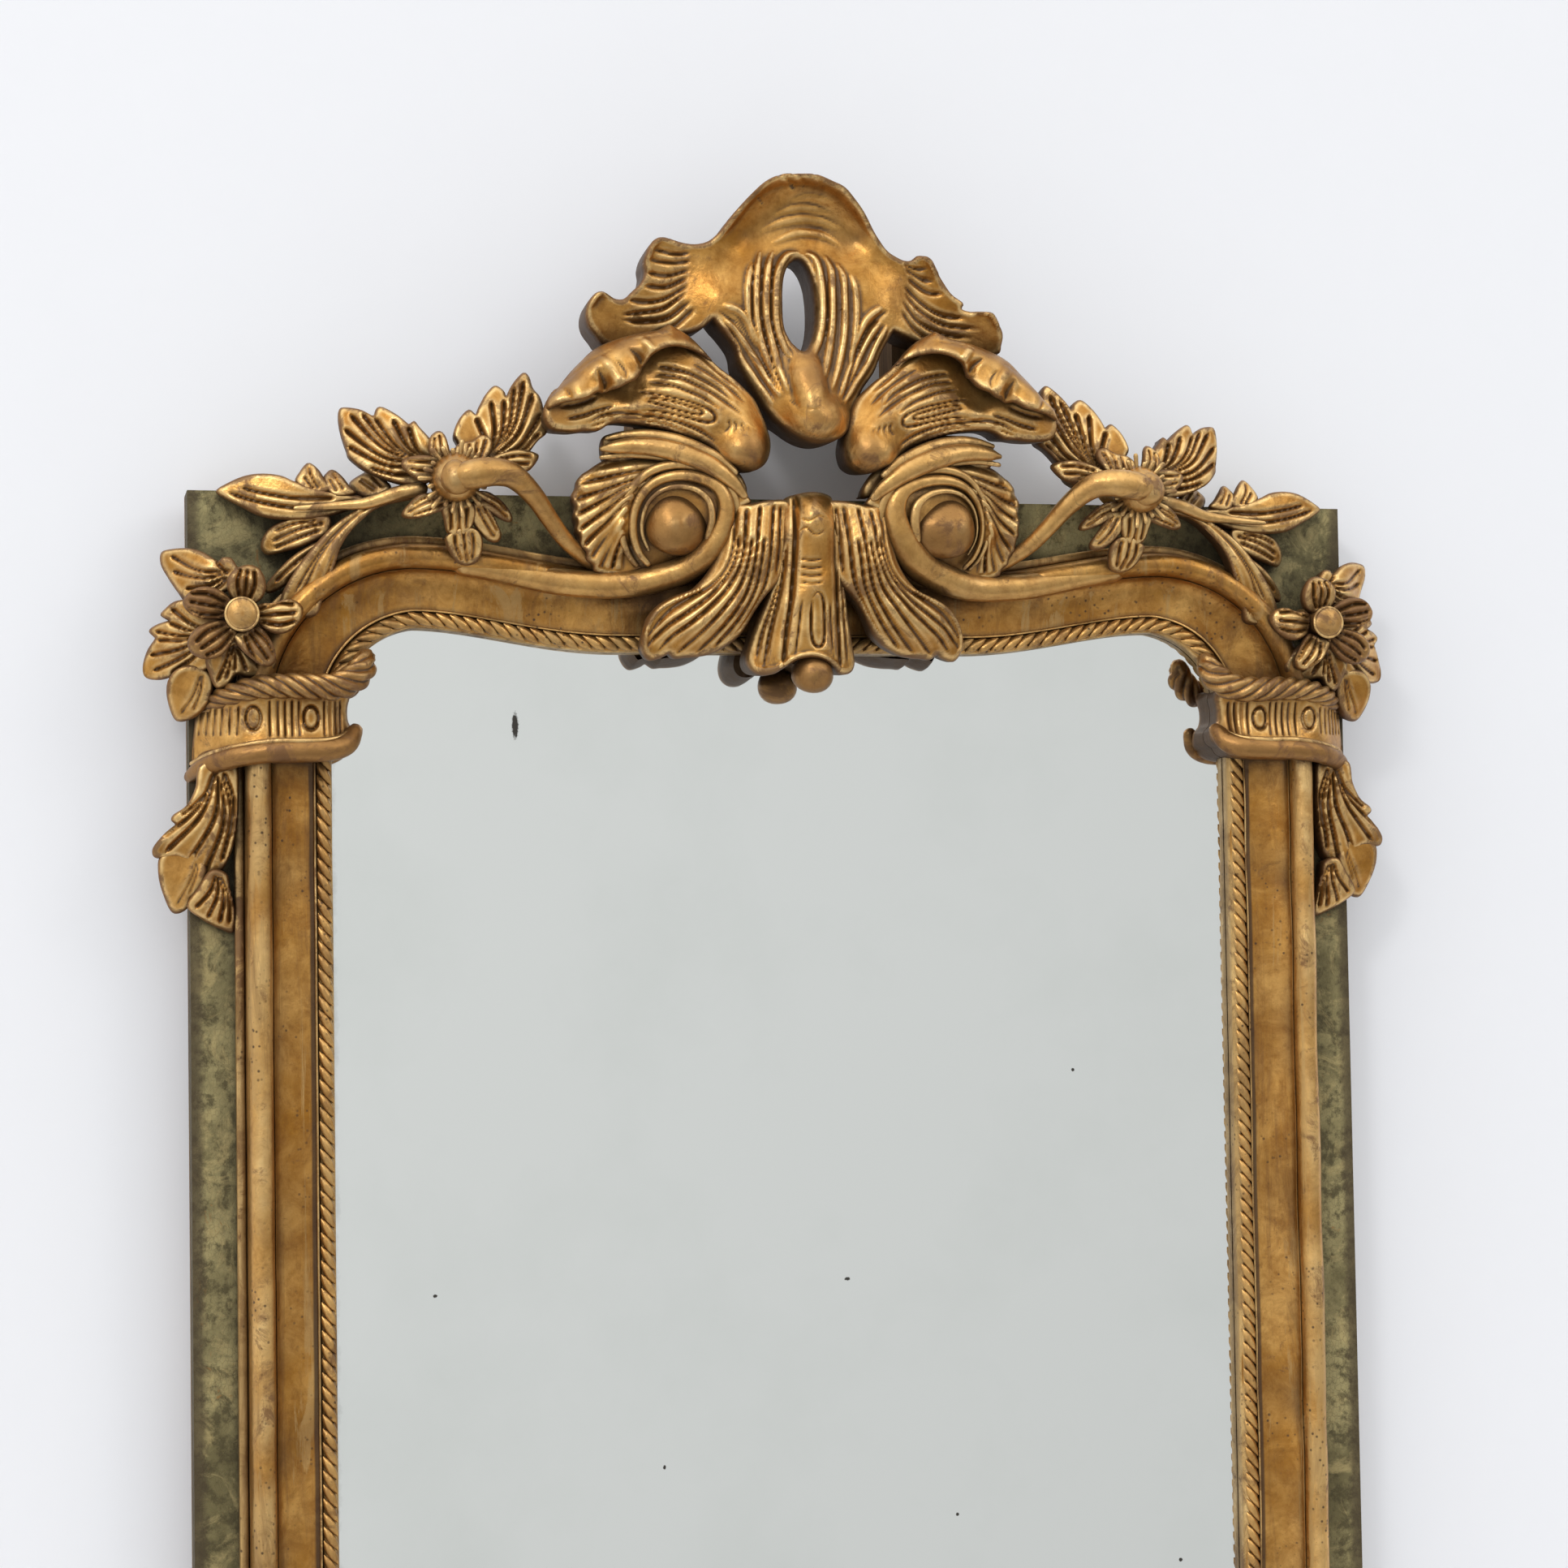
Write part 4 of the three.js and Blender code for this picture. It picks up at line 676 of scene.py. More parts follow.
def back_wood(name, along=(60.0, 60.0, 3.5)):
    f = Finish(name)
    colour = raw_wood(f, along)
    grain = f.noise(1.0, 8, 0.68, 2.2, f.squeezed(*along))
    worm = f.ramp(f.cells(60), (0.035, 1.0), (0.05, 0.0))
    worm = f.math("MULTIPLY", worm, f.ramp(f.noise(11, 2), (0.55, 0.0), (0.6, 1.0)))
    colour = f.blend(worm, colour, tone(30, 20, 14))
    bump = f.bumped(f.math("SUBTRACT", grain, worm), 0.4, 0.0006, f.bumped(f.noise(400, 4), 0.2, 0.0003))
    return f.set(colour=colour, rough=f.math("ADD", f.math("MULTIPLY", grain, 0.2), 0.62), normal=bump, gloss=0.25)


def old_mirror():
    """Tin-mercury silvering, faintly grey, with foxed spots where it has gone."""
    f = Finish("old silvered glass")
    spots = []
    for across, up, width, height in FOXING:
        near = f.node("ShaderNodeMapping", {"Vector": f.place, "Location": (-across / width, 0, -up / height),
                                            "Scale": (1 / width, 0, 1 / height)}).outputs[0]
        ragged = f.node("ShaderNodeVectorMath", {0: near}, operation="LENGTH").outputs["Value"]
        ragged = f.math("MULTIPLY", f.math("ADD", ragged, f.noise(900, 4, 0.7)), 0.5)
        spots.append(f.ramp(ragged, (0.60, 1.0), (0.75, 0.0)))
    gone = spots[0]
    for spot in spots[1:]:
        gone = f.math("MAXIMUM", gone, spot)
    split = f.node("ShaderNodeSeparateXYZ", {0: f.place})
    rim = f.ramp(f.math("SUBTRACT", f.math("ABSOLUTE", split.outputs[0]), f.math("MULTIPLY", f.noise(60, 6, 0.7), 0.012)),
                 (0.2615, 0.0), (0.268, 0.7))
    haze = f.ramp(f.noise(7, 6, 0.6), (0.45, 0.0), (0.8, 0.5))
    colour = f.blend(haze, tone(243, 245, 243), tone(228, 232, 228))
    colour = f.blend(f.math("MAXIMUM", gone, f.math("MULTIPLY", rim, 0.6)), colour, tone(52, 48, 42))
    rough = f.math("ADD", f.math("MULTIPLY", haze, 0.03), f.math("MULTIPLY", gone, 0.5))
    clear = f.bumped(f.noise(5, 2, 0.4), 0.03, 0.002)
    return f.set(colour=colour, metal=f.math("SUBTRACT", 1.0, f.math("MULTIPLY", gone, 0.8)),
                 rough=f.math("ADD", rough, 0.03), normal=clear, gloss=0.5)


def black_iron():
    """Forged iron, dark, with rust in its pits."""
    f = Finish("forged iron")
    fine, rust = f.noise(260, 6, 0.65), f.noise(90, 7, 0.7, 0.6)
    colour = f.blend(f.ramp(fine, (0.35, 0.0), (0.7, 1.0)), tone(40, 37, 35), tone(78, 72, 66))
    patch = f.ramp(rust, (0.52, 0.0), (0.64, 0.9))
    colour = f.blend(patch, colour, f.blend(fine, tone(84, 44, 24), tone(136, 78, 42)))
    return f.set(colour=colour, metal=f.math("SUBTRACT", 0.85, f.math("MULTIPLY", patch, 0.7)),
                 rough=f.math("ADD", f.math("MULTIPLY", patch, 0.3), 0.45),
                 normal=f.bumped(f.math("ADD", fine, patch), 0.5, 0.0004), gloss=0.5)


def plain_wall(name, colour):
    """Matt painted backdrop, unseen from behind."""
    f = Finish(name)
    grain = f.noise(30, 5, 0.6)
    f.set(colour=f.blend(grain, colour, tuple(c * 0.985 for c in colour[:3]) + (1.0,)), rough=0.95, gloss=0.05,
          normal=f.bumped(grain, 0.05, 0.001))
    clear = f.node("ShaderNodeBsdfTransparent")
    both = f.node("ShaderNodeMixShader", {0: f.node("ShaderNodeNewGeometry").outputs["Backfacing"],
                                          1: f.shader.outputs[0], 2: clear.outputs[0]})
    f.tree.links.new(both.outputs[0], f.out.inputs[0])
    return f.material


# across, up from the hanging point, half width and half height, metres
FOXING = (
    (-0.1640, -0.098, 0.0022, 0.0085), (0.0290, -0.424, 0.0020, 0.0012), (-0.214, -0.424, 0.0014, 0.0012),
    (0.046, -0.598, 0.0035, 0.0012), (0.056, -0.598, 0.0040, 0.0012), (0.068, -0.597, 0.0022, 0.0016),
    (-0.068, -0.617, 0.0016, 0.0016), (-0.041, -0.633, 0.0018, 0.0016), (0.233, -0.600, 0.0014, 0.0014),
    (-0.082, -0.528, 0.0010, 0.0014), (0.094, -0.565, 0.0012, 0.0012), (0.171, -0.305, 0.0012, 0.0012),
    (0.12, -1.02, 0.0030, 0.0020), (-0.19, -1.18, 0.0024, 0.0040), (0.21, -1.24, 0.0042, 0.0024),
)


# ---------------------------------------------------------------- the crest

def shell(gilt):
    """The pierced top shell: a dished palmette with a rolled rim and two frilled ears."""
    outline = [(0, 185), (-10, 184.5), (-20, 180), (-30, 171), (-40, 160), (-47, 151), (-50, 147.5), (-55, 143.5),
               (-62, 141.5), (-70, 142), (-77, 144), (-82, 145), (-87, 143), (-91, 137), (-93, 130), (-92.5, 124),
               (-95, 118), (-101, 112), (-104, 109), (-107, 108), (-112, 109), (-117, 112), (-121, 111.5),
               (-125, 107), (-127, 100), (-126, 93), (-122, 87), (-116, 81), (-100, 80), (-80, 86), (-62, 91),
               (-53, 98), (-53, 98), (-43, 85), (-40, 79), (-38, 71), (-29, 56), (-19, 42), (-10, 34), (-3, 29.5),
               (4, 27), (11, 26.6), (19, 29), (24, 33.5), (28, 41), (31, 50), (36, 60), (43, 70), (48, 82), (55, 94), (55, 94), (69, 88),
               (85, 84), (100, 80), (118, 82), (121, 88), (122, 95), (119, 102), (116, 106.5), (110, 107),
               (103, 107), (97, 108.5), (98, 112), (91, 117), (86, 124), (82, 131), (79, 137), (75, 139), (70, 139),
               (67, 136.5), (63, 136), (58, 138), (52, 142), (46, 150), (40, 161), (33, 171), (27, 178), (20, 181),
               (10, 185)]
    ground = [(0, 185, 57), (-10, 184.5, 57), (-20, 180, 56), (-30, 171, 53), (-40, 160, 49), (-47, 151, 46),
              (-55, 143.5, 43), (-70, 142, 40), (-82, 145, 43), (-91, 137, 44), (-93, 127, 42), (-104, 109, 40),
              (-117, 112, 45), (-127, 100, 45), (-122, 87, 40), (-116, 81, 36), (10, 185, 57), (20, 181, 56),
              (33, 171, 53), (40, 161, 49), (46, 150, 46), (52, 142, 43), (63, 136, 40), (75, 139, 43), (82, 131, 43),
              (91, 117, 40), (98, 112, 40), (110, 107, 44), (122, 95, 45), (118, 82, 36), (0, 177, 48), (-14, 174, 47),
              (14, 174, 47), (0, 166, 41), (-22, 160, 39.5), (22, 160, 39.5), (-34, 148, 38), (34, 148, 38),
              (0, 150, 38.5), (-30, 132, 41), (30, 132, 41), (-45, 128, 42), (45, 128, 42), (0, 138, 41),
              (-60, 128, 39), (60, 128, 39), (-78, 128, 37), (76, 124, 37), (-75, 104, 36), (-98, 100, 37),
              (75, 104, 36), (98, 98, 37), (-50, 112, 44), (50, 112, 44), (-22, 110, 45), (22, 110, 45),
              (-15, 85, 47), (15, 85, 47), (-10, 65, 55), (12, 65, 55), (3, 72, 54), (4, 58, 60), (4, 45, 62),
              (-32, 75, 44), (34, 75, 44), (-22, 57, 48), (25, 57, 48), (-10, 36, 52), (17, 37, 52), (-45, 98, 44),
              (48, 98, 44)]
    work = [rib(3, 2.2, (-51, 143), (-45, 150.5), (-36, 162), (-26, 173), (-12, 180.5), (2, 181.5), (14, 180),
                (26, 173.5), (36, 162), (43, 151), (49, 144)),
            rib(11, 6, (-1, 88), (1, 76), (4, 62), (7, 50), (9.5, 41), (11, 34), root=0.35, tip=0.12),
            groove(1.6, 2, (-14, 185), (-8, 181), (-3, 175)), groove(1.3, 1.6, (-5, 186), (0, 182), (2, 177)),
            groove(1.3, 1.4, (8, 186), (11, 182), (12, 177)), groove(1.2, 1.2, (-30, 172), (-25, 169), (-22, 165)),
            rib(2.6, 3, (-17, 139), (-20, 130), (-21.5, 115), (-21.5, 100), (-18.5, 85), (-15, 70), (-9, 56)),
            rib(2.4, 2.6, (-24.5, 139), (-26.5, 128), (-27.5, 112), (-27, 97), (-24, 82), (-19.5, 68), (-13, 54)),
            rib(2.2, 2.2, (-29.5, 132), (-32, 120), (-32.5, 108), (-31.5, 95), (-28, 81)),
            rib(2.6, 3.4, (-1, 138.5), (-9, 136), (-14.5, 126), (-16, 110), (-15.5, 95), (-11, 82), (-4, 74)),
            rib(2.6, 3.2, (2, 138.5), (8, 135), (11, 124), (12, 110), (11, 95), (7.5, 82), (3, 74)),
            rib(2.6, 3, (14, 137), (17.5, 128), (18, 112), (17.5, 97), (15, 80), (11, 58)),
            rib(2.4, 2.6, (21, 133), (24.5, 125), (25.5, 110), (25, 95), (22.5, 78), (17, 58)),
            rib(2.2, 2.2, (29, 127), (32, 117), (32.5, 105), (31.5, 92), (28, 66)),
            groove(3, 3.4, (-50, 103), (-42, 97), (-33, 86), (-24, 72), (-15, 56), root=0.3),
            rib(3, 3, (-46, 98), (-38, 91), (-30, 79), (-22, 66), (-14, 53)),
            rib(2.4, 2.6, (-50, 97.5), (-43, 86), (-37.5, 75), (-28, 61), (-18, 48)),
            rib(2.4, 2.2, (-47, 106), (-37, 102), (-30, 92), (-24, 80)),
            groove(3, 3.4, (51, 106), (43, 99), (35, 86), (29, 70), (24, 56), root=0.3),
            rib(3, 3, (47, 99), (40, 91), (33, 79), (27, 66), (21, 53)),
            rib(2.4, 2.6, (51, 97), (44, 85), (39, 74), (31, 62), (23, 49)),
            rib(2.4, 2.2, (48, 108), (39, 101), (34, 92), (30, 80)),
            rib(3, 1.2, (-24, 150), (-8, 156.5), (8, 157.5), (25, 152), root=0.3, tip=0.3),
            rib(2.8, 1.1, (-18, 143), (-3, 149.5), (12, 149), (24, 143), root=0.3, tip=0.3),
            rib(2.8, 1.1, (-16, 159.5), (0, 164), (18, 161), root=0.3, tip=0.3),
            rib(2.4, 0.9, (-6, 168.5), (6, 170.5), (20, 167), root=0.3, tip=0.3),
            groove(2.4, 2, (-66, 136), (-75, 135), (-88, 137.5)), groove(2.4, 2.2, (-66, 131), (-78, 130), (-91.5, 131.5)),
            groove(2.6, 2.4, (-67, 126), (-80, 122.5), (-93, 124)), groove(2.6, 2.6, (-68, 122), (-80, 116), (-94, 116)),
            groove(2.4, 2.4, (-68, 117), (-80, 109.5), (-92, 106.5), (-104, 107.5)),
            groove(2.2, 2.4, (-69, 113), (-82, 103.5), (-95, 100.5), (-107, 98.5)),
            groove(2.2, 2.4, (-67, 107.5), (-80, 97.5), (-95, 95), (-107, 96)),
            groove(2.6, 2.4, (-64, 104), (-77, 92.5), (-90, 88)),
            rib(1.6, 1.2, (-70, 110), (-82, 100.5), (-95, 97.8), (-104, 97.5)),
            groove(2.4, 2, (63, 131), (72, 125.5), (80, 124)), groove(2.4, 2.2, (64, 126), (75, 118), (86, 116.5)),
            groove(2.5, 2.4, (62, 121), (71, 112), (83, 104.5), (99, 102.5)),
            groove(2.2, 2.2, (62, 117), (72, 106), (86, 98.5), (108, 96.5)),
            groove(2.2, 2.2, (61, 112), (70, 100), (85, 93), (103, 91)),
            groove(2.2, 2, (62, 134), (69, 131), (76, 131.5)), groove(2.4, 2.2, (60, 106), (68, 95), (80, 87)),
            rib(2, 1.6, (-82, 144.5), (-88, 139), (-91, 130)), rib(2, 2, (-110, 109.5), (-119, 110.5), (-125.5, 102)),
            rib(2, 1.6, (73, 138.5), (78, 135), (83, 127)), rib(2, 2, (103, 107), (114, 106), (120, 97)),
            groove(0.9, 1.2, (-9, 52), (-3, 47), (-2, 40), (-6, 34)), groove(0.8, 1, (-2, 47), (6, 46), (10, 49))]
    slot = [(-1.5, 135), (-7.5, 131), (-10.8, 122), (-11.5, 108), (-10.5, 95), (-6.5, 86), (-0.5, 80.5), (4.5, 85),
            (7.5, 95), (8.3, 108), (7, 121), (3.5, 130.5)]
    body = carve(outline, ground, work, [slot], [(10.5, 42, 12, 68)], 45, 1.0, 2.4, 2.0, 6, 1, 30,
                 bole=[(10, 44, 12, 0.7), (5, 66, 13, 1.0), (1, 80, 10, 1.0), (-70, 118, 14, 0.5), (60, 118, 14, 0.5)])
    return piece("top_shell_carving", [body], gilt, ["crest_shell"])


def rocaille_leaf():
    """The big leaf each side of the shell, its outer edge turned over, its tip ending in a knob."""
    outline = [(-150, 49), (-146, 55), (-140, 58), (-130, 68), (-120, 77), (-110, 83), (-100, 86), (-90, 87),
               (-80, 87), (-70, 85), (-60, 80), (-50, 71), (-40, 63.5), (-30, 54), (-25, 45), (-21, 34), (-19.5, 25),
               (-22, 16), (-29, 11), (-36, 11), (-42, 13), (-48, 15), (-55, 22), (-65, 28), (-85, 34.5), (-110, 37),
               (-120, 32.5), (-128, 32), (-137, 31), (-147, 32), (-151, 36), (-152, 42)]
    ground = [(-151, 42, 50), (-130, 45, 50), (-115, 48, 49), (-100, 54, 48), (-90, 64, 48), (-78, 74, 48),
              (-64, 74, 50), (-50, 68, 50), (-60, 58, 57), (-80, 56, 55), (-100, 46, 54), (-120, 38, 50),
              (-50, 47, 60), (-40, 48, 58), (-34, 38, 61), (-55, 32, 55), (-75, 36, 53), (-100, 38, 49),
              (-48, 20, 54), (-33, 25, 60), (-27, 50, 49), (-20, 34, 52), (-90, 82, 46), (-120, 72, 46), (-138, 33, 50)]
    work = [groove(2.8, 3, (-86, 70), (-70, 67), (-60, 63), (-50, 57.5), (-42, 50.5)),
            groove(2.6, 2.6, (-88, 65), (-75, 64), (-65, 60.5), (-55, 56), (-45, 49.5), (-37, 43)),
            groove(2.2, 2.2, (-92, 60.5), (-80, 59.5), (-70, 56.5), (-60, 52.5), (-50, 46)),
            groove(2, 2.4, (-98, 55), (-85, 53.5), (-72, 51), (-62, 48), (-55, 45), (-52.5, 41), (-54.5, 38.5),
                   (-60, 38.5), (-70, 41), (-85, 44), (-100, 44.5), root=0.1, tip=0.2),
            groove(2, 2.4, (-94, 51.5), (-80, 50.5), (-65, 46.5), (-60, 44.3), (-62, 42.5), (-72, 44.5), (-85, 48),
                   (-95, 50), root=0.1, tip=0.1),
            groove(1.5, 1.5, (-37.5, 38), (-36, 33), (-40, 28)), groove(1.5, 1.4, (-34, 37), (-33, 31), (-37, 25.5)),
            groove(1.5, 1.5, (-41.5, 39), (-40, 35), (-43.5, 30.5)), groove(1.5, 1.4, (-45, 40), (-44, 36), (-47.5, 32)),
            groove(2.6, 2.8, (-127, 36), (-118, 41), (-108, 42.5), (-95, 41.5), (-80, 39.5), (-65, 34.5), (-55, 28.5),
                   (-49, 23)),
            groove(2.4, 2.6, (-128, 33), (-115, 37.5), (-100, 38.5), (-85, 37), (-70, 32), (-58, 25), (-50, 18.5)),
            groove(2.4, 2.4, (-112, 46), (-120, 44), (-130, 40.5), (-140, 38)),
            groove(2.2, 1.8, (-122, 51), (-132, 47), (-143, 45)), groove(2.6, 2.6, (-70, 82), (-60, 76), (-50, 67.5), (-38, 58)),
            groove(2.2, 2, (-66, 72), (-55, 66), (-45, 59), (-35, 50))]
    body = carve(outline, ground, work, (), [(-33.5, 24, 13, 65)], 45, 1.0, 3.2, 3.2, 6, 4, 34,
                 bole=[(-31, 21, 12, 0.9), (-148, 42, 8, 0.6), (-60, 70, 14, 0.4)])
    flap_line = [(-150, 49), (-145, 54.5), (-140, 61), (-135, 67), (-130, 72), (-125, 77), (-119, 81), (-110, 85),
                 (-100, 88), (-90, 90), (-85, 91), (-79, 95), (-79, 95), (-75, 93), (-70, 90.5), (-65, 87), (-58, 80.5),
                 (-53, 74), (-53, 74), (-62, 79), (-68, 81), (-75, 82), (-82, 80.5), (-88, 77), (-91, 73.5), (-94, 69),
                 (-98, 62.5), (-103, 60), (-108, 57), (-113, 55.5), (-117, 54), (-121, 54), (-126, 51), (-132, 49.5),
                 (-140, 48), (-145, 46), (-150, 44)]
    flap_ground = [(-150, 48, 52), (-140, 60, 50), (-130, 71, 49), (-119, 80, 50), (-105, 86, 51), (-90, 89, 52),
                   (-78, 92, 51), (-65, 86, 50), (-53, 75, 51), (-146, 50, 57), (-136, 60, 59), (-122, 69, 59),
                   (-108, 76, 60), (-95, 82, 60), (-80, 87, 58), (-68, 84, 55), (-140, 50, 59), (-130, 51, 64),
                   (-117, 56, 57), (-105, 60, 65), (-94, 70, 58), (-86, 78, 64), (-72, 82, 57)]
    flap_work = [groove(4.5, 3.6, (-118, 53), (-116.5, 59), (-121, 68), root=0.02, tip=0.6),
                 groove(4, 3.2, (-94, 68), (-96, 75), (-103, 80), root=0.02, tip=0.6),
                 groove(2.2, 1.4, (-104, 61), (-105, 67), (-110, 73), root=0.1, tip=0.5),
                 groove(2.4, 1.6, (-135, 49), (-139, 55), (-144, 57), root=0.05, tip=0.5),
                 rib(3.2, 1.8, (-109, 59), (-113, 68), (-121, 76), root=0.1, tip=0.4),
                 rib(2.8, 1.6, (-88, 77), (-92, 83), (-99, 87), root=0.1, tip=0.4),
                 groove(1.2, 1, (-146, 53), (-137, 62), (-126, 71), (-114, 78)),
                 groove(1.1, 0.9, (-100, 84), (-88, 87), (-74, 89))]
    flap = carve(flap_line, flap_ground, flap_work, (), (), 45, 1.0, 4, 3.2, 40, 2, 8,
                 bole=[(-140, 62, 10, 1.0), (-126, 76, 13, 1.1), (-108, 86, 13, 1.1), (-88, 91, 11, 1.1),
                       (-70, 88, 9, 0.8), (-148, 48, 8, 0.6)], rough=0.7)
    return [body, flap]


def comb():
    """The C-shaped frill round the scroll, with its round ribs ending in scallops, and the rolls above it."""
    outline = [(-33, -9), (-34, -4), (-38, 0), (-40, 4), (-46, 8), (-56, 12), (-66, 15.5), (-78, 17), (-92, 17.5),
               (-104, 17), (-113, 16), (-118.5, 14.5), (-123, 12), (-128, 8.5), (-130.5, 7), (-134, 3), (-134.5, -0.5),
               (-137, -5), (-136.8, -8), (-135.2, -12), (-136, -17), (-134.5, -21), (-135, -25), (-132.6, -29),
               (-132.6, -34), (-129, -38), (-129, -42), (-125.5, -45), (-122, -50), (-100, -52), (-92, -48), (-88, -34),
               (-72, -16), (-50, -14)]
    ground = [(-36, -4, 52), (-45, 6, 52), (-62, 13, 47), (-78, 15, 44), (-92, 14, 41), (-110, 13, 36),
              (-124, 9, 33), (-135, -3, 30), (-134, -18, 33), (-130, -35, 32), (-122, -47, 29), (-104, -48, 29),
              (-110, -25, 42), (-108, -8, 43), (-98, 5, 43), (-82, 8, 44), (-60, 8, 48), (-118, -14, 36),
              (-119, -30, 33), (-92, -20, 30), (-70, -5, 40), (-85, -10, 36), (-50, -10, 50), (-112, -40, 30)]
    lines = [[(-45.8, 5.4), (-65.8, 11.8), (-88.3, 12.5), (-105.7, 11.0), (-125.6, 6.5)],
             [(-60, 8.5), (-80.8, 10), (-100.8, 6.4), (-118.2, 1.2), (-134.5, -2.7)],
             [(-82, 8), (-99.6, 2.6), (-114.5, -3), (-126, -8.5), (-136.2, -12.8)],
             [(-94, 3), (-103.4, -1), (-116, -9.5), (-126.8, -16.5), (-135.3, -21.8)],
             [(-101, -4), (-108, -9), (-118, -18), (-127, -25.5), (-133, -31)],
             [(-105, -11), (-111, -17.5), (-119, -27), (-125.4, -34.5), (-129.2, -39.5)],
             [(-107, -18), (-114, -28), (-120, -38), (-124.3, -46)],
             [(-107.5, -25), (-113, -35), (-117.5, -47.5)], [(-106.5, -32), (-109.4, -39), (-111, -48)]]
    sizes = [2.2, 2.5, 2.5, 2.4, 2.3, 2.2, 2.1, 1.9, 1.7]
    work = [rib(1.45 * wide, 0.85 * wide, *line, root=0.04, tip=0.06) for wide, line in zip(sizes, lines)]
    for one, other in zip(lines[:-1], lines[1:]):
        if len(one) == len(other):
            cut = [((a[0] + b[0]) / 2, (a[1] + b[1]) / 2) for a, b in zip(one, other)]
            work.append(groove(1.5, 1.8, *cut, root=0.05, tip=0.1))
    body = carve(outline, ground, work, (), (), 45, 1.0, 1.6, 1.4, 2, 4, 30, bole=[(-136, -8, 6, 0.5), (-40, 2, 9, 0.5)])
    roll = bead([(-119, 21.5, 42, 1.6), (-112, 22.5, 44, 3.6), (-100, 23.5, 46, 5), (-86, 22.6, 49, 5.6),
                 (-72, 19.4, 52, 5.8), (-60, 15, 54, 5.6), (-50, 9.5, 55, 5), (-42, 2.6, 54, 4), (-36.5, -4, 52, 2.4)],
                45, 18, 0.9, ruddy=0.15)
    upper = bead([(-116, 27.5, 40, 1.4), (-104, 29.5, 43, 2.8), (-91, 29.8, 46, 3.4), (-76, 27.5, 49, 3.6),
                  (-62, 22.5, 52, 3.6), (-50, 16.5, 54, 3), (-42, 9.5, 54, 2.4)], 45, 12, 0.9)
    lower = bead([(-119.5, 16.5, 40, 1.3), (-104, 18.4, 43, 2), (-88, 17.8, 46, 2.4), (-72, 14.8, 48, 2.5),
                  (-58, 10.2, 51, 2.4), (-47, 4, 52, 2), (-40, -3, 51, 1.6)], 45, 12, 0.9)
    under = carve([(-119, 27), (-112, 31), (-98, 33.5), (-80, 33), (-60, 26), (-46, 17), (-38, 9), (-34, 0), (-38, -4),
                   (-60, 8), (-80, 12), (-105, 13), (-117, 15)],
                  [(-115, 23, 37), (-90, 24, 41), (-60, 15, 45), (-42, 3, 45), (-100, 20, 39), (-36, -2, 44)],
                  (), (), (), 45, 1.6, 3, 3, 4, 3, 22)
    return [body, roll, upper, lower, under]


def volute():
    """The scroll: the head moulding's ridge rises, winds round a worn knob and thins away."""
    cup_line = [(-98, -47), (-105, -38), (-108.5, -28), (-108.5, -18), (-106, -7), (-99.5, 3), (-89.5, 10.5),
                (-76, 14), (-62, 12.5), (-50, 7), (-42, -5), (-40.5, -20), (-44, -34), (-52, -46), (-64, -54), (-80, -57)]
    cup_ground = [(-107, -20, 36), (-105, -36, 33), (-102, 0, 40), (-88, 10, 44), (-76, 13, 46), (-62, 12, 47),
                  (-50, 6, 49), (-43, -6, 50), (-42, -20, 48), (-46, -35, 42), (-60, -50, 30), (-80, -54, 25),
                  (-97, -46, 30), (-78, -20, 40), (-60, -20, 46), (-94, -20, 38), (-76, -2, 45)]
    cup = carve(cup_line, cup_ground, (), (), (), 45, 1.2, 1.8, 1.4, 4, 3, 40)
    knob = ball(-76.2, -22.7, 40, 18.2, 17.4, 12.5, 45, 0.9, 0.035, 22, 40)
    hook = bead([(-200, -45.5, 20, 6.4), (-180, -48.6, 20.5, 7.2), (-160, -52.5, 21, 7.6), (-143, -55.2, 21.5, 7.9),
                 (-119, -56.6, 23, 8), (-96.7, -54.6, 27, 8.1), (-74.2, -48.2, 34, 8), (-59, -38.2, 42, 7.4),
                 (-50, -24.7, 48, 6.2), (-47, -11.1, 51, 5), (-51, -0.1, 52, 4.2), (-62, 5.7, 51, 3.6),
                 (-75.9, 6.7, 49, 3.2), (-88.4, 2.8, 46, 2.9), (-97, -5.8, 43, 2.7), (-101.3, -16.9, 41, 2.5),
                 (-101.5, -27.9, 39, 2.4), (-98.4, -37.7, 37, 2.2), (-93.5, -44, 35, 1.8)], 45, 22, 1.0, ruddy=0.12)
    outer = bead([(-42, -34, 42, 1.8), (-40.7, -20.9, 47, 2.4), (-42.2, -5.5, 51, 2.8), (-50.3, 6.5, 52, 3),
                  (-62, 11.8, 51, 3), (-75.8, 13.2, 49, 2.9), (-89.6, 9.7, 46, 2.8), (-99.6, 2, 43, 2.7),
                  (-106, -8, 41, 2.5), (-108.3, -19.4, 39, 2.4), (-107.8, -30, 37, 2.2), (-104.6, -39, 34, 1.9),
                  (-100, -45, 31, 1.5)], 45, 14, 1.0)
    rim = bead([(-58, -29, 47, 2.2), (-55.5, -18, 51, 2.2), (-57, -8, 52, 2), (-64, -1.5, 51, 1.8),
                (-74, 0.6, 49, 1.7), (-84, -1.6, 46, 1.6), (-92, -8, 43, 1.5), (-96, -17, 41, 1.4),
                (-96.5, -27, 39, 1.3), (-93, -36, 37, 1.1)], 45, 10, 1.0)
    return [cup, knob, hook, outer, rim]


